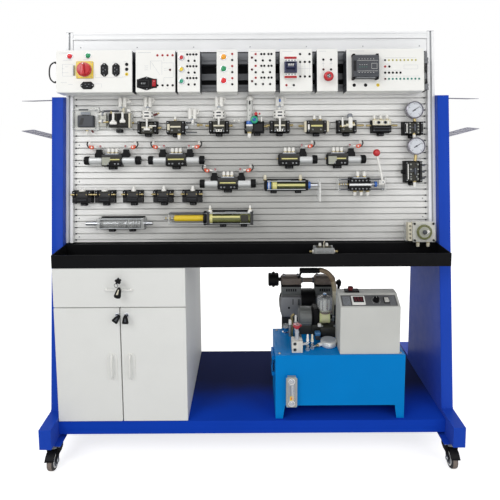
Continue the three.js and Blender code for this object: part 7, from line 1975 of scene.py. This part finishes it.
bowl.turned([(0, 0), (8, 0), (7, 4), (0, 5)], (BOWL_X, PUMP_Y, 611), UP, "block_blue")
bowl.done("dark_grey")
relief = Piece("relief_block")
RELIEF_X, RELIEF_Y = 184, -228
relief.box((162, 206), (-251, -205), (PUMP_FOOT, 488), "block_grey", 2)
for x in (190, 197):
    relief.box((x, x + 1.6), (-251.8, -250), (441, 485), "label_grey", 0.3)
for z in (453, 478):
    relief.ring((174, -251, z), OUT, 8, 5.6, 1.4, "zinc", 28)
    relief.capped([(6, 0), (6, 0.8)], (174, -251, z), OUT, "ink")
relief.ring((206, RELIEF_Y, 474), RIGHT, 8, 5, 2, "zinc")
relief.capped([(10, 0), (10, 5), (7.4, 7), (7.4, 26), (9, 27), (9, 33), (6, 35), (6, 44)],
    (RELIEF_X, RELIEF_Y, 488), UP, "label_grey")
relief.ball((198, -224, 500), 6, "dark_grey", 18)
relief.rod((206, RELIEF_Y, 466), (226, RELIEF_Y, 466), 6, "zinc")
for x, y, high, look in ((228, -226, 506, "fitting_white"), (248, -214, 500, "cream")):
    relief.rod((x, y, PUMP_FOOT), (x, y, high - 16), 4, "bowl_clear", 20)
    relief.capped([(6, 0), (6, 8), (4.4, 10), (4.4, 24), (3, 28)], (x, y, high - 28), UP, look, 20)
    relief.ring((x, y, 468), UP, 7.6, 4, 4, "chrome")
    relief.capped([(7, 0), (7, 6)], (x, y, 452), UP, "zinc", 6)
    relief.ring((x, y - 2, 444), OUT, 8, 5, 5, "bowl_clear")
relief.rod((246, -216, 447), (284, -196, 449), 3.6, "zinc")
relief.rod((274, -206, 450), (290, -196, 450), 7, "fitting_white", 18)
relief.rod((266, -210, 450), (275, -206, 450), 5, "brass", 18)
relief.turned([(0, 0), (28, 0), (31, 2), (32, 8), (31, 14), (30, 16), (34, 18), (34, 23), (31, 26),
    (0, 27)], (320, -186, PUMP_FOOT), UP, "cup_silver", 44)
relief.capped([(28, 0), (27, 1.4)], (320, -186, 465), UP, "label_grey", 40)
relief.tube([(176, -100, 438.6), (176, -100, 500), (174, -102, 528), (184, -104, 540)], 5, "brass", 14)
relief.box((160, 172), (-112, -94), (494, 514), "fitting_white", 2)
relief.rod((166, -100, 438.6), (166, -100, 494), 5, "zinc", 14)
relief.rod((190, -108, 470), (190, -108, 536), 4.6, "fitting_white")
relief.capped([(7, 0), (7, 8)], (190, -108, 500), UP, "zinc", 6)
relief.rod((190, -108, 438.6), (190, -108, 470), 4, "brass")
relief.box((272, 292), (-141, -119), (PUMP_FOOT, 458), "dark_grey", 2)
relief.box((270, 294), (-142, -118), (457, 473), "block_blue", 3)
relief.done("module_white", replaces="relief_valve_block")
wheel_piece = Piece("relief_wheel")
rim = []
for k in range(40):
    angle = tau * k / 40
    reach = 17 + 2 * cos(5 * angle)
    rim.append((RELIEF_X + reach * cos(angle), RELIEF_Y + reach * sin(angle)))
wheel_piece.prism(rim, "z", (540, 550.4), "wheel_red", 2.6)
wheel_piece.capped([(8, 0), (11, 6), (11, 10)], (RELIEF_X, RELIEF_Y, 532), UP, "wheel_red")
wheel_piece.capped([(5, 0), (4, 1.4)], (RELIEF_X, RELIEF_Y, 550), UP, "dark_red", 6)
wheel_piece.done("red", "relief_handwheel_body", "relief_handwheel")

# Clear valve that lies in the tray
loose = Piece("tray_valve")
LOOSE_Y = -160
loose.box((258, 340), (-180, -140), (809.4, 813), "clear_plastic")
loose.box((262, 336), (-176, -144), (813, 851), "mid_grey", 3)
for y in ((-182, -178), (-142, -138)):
    loose.box((258, 340), y, (812, 853), "clear_plastic")
loose.box((268, 330), (-178, -142), (850, 855), "olive")
for x in (276, 299, 322):
    loose.ring((x, -182, 838), OUT, 4, 2, 1.6, "zinc", 14)
for x, sense in ((258, -1), (340, 1)):
    loose.rod((x, LOOSE_Y, 832), (x + sense * 6, LOOSE_Y, 832), 8, "fitting_white", 18)
    side_fitting(loose, x + sense * 4, 832, sense, LOOSE_Y, 14)
for x in (284, 312):
    air_fitting(loose, (x, LOOSE_Y, 853), UP, 15, 6)
loose.tube([(298, -176, 853), (297, -178, 872), (300, -178, 882)], 2, "cream", 8)
loose.done("clear_plastic", replaces="loose_valve")
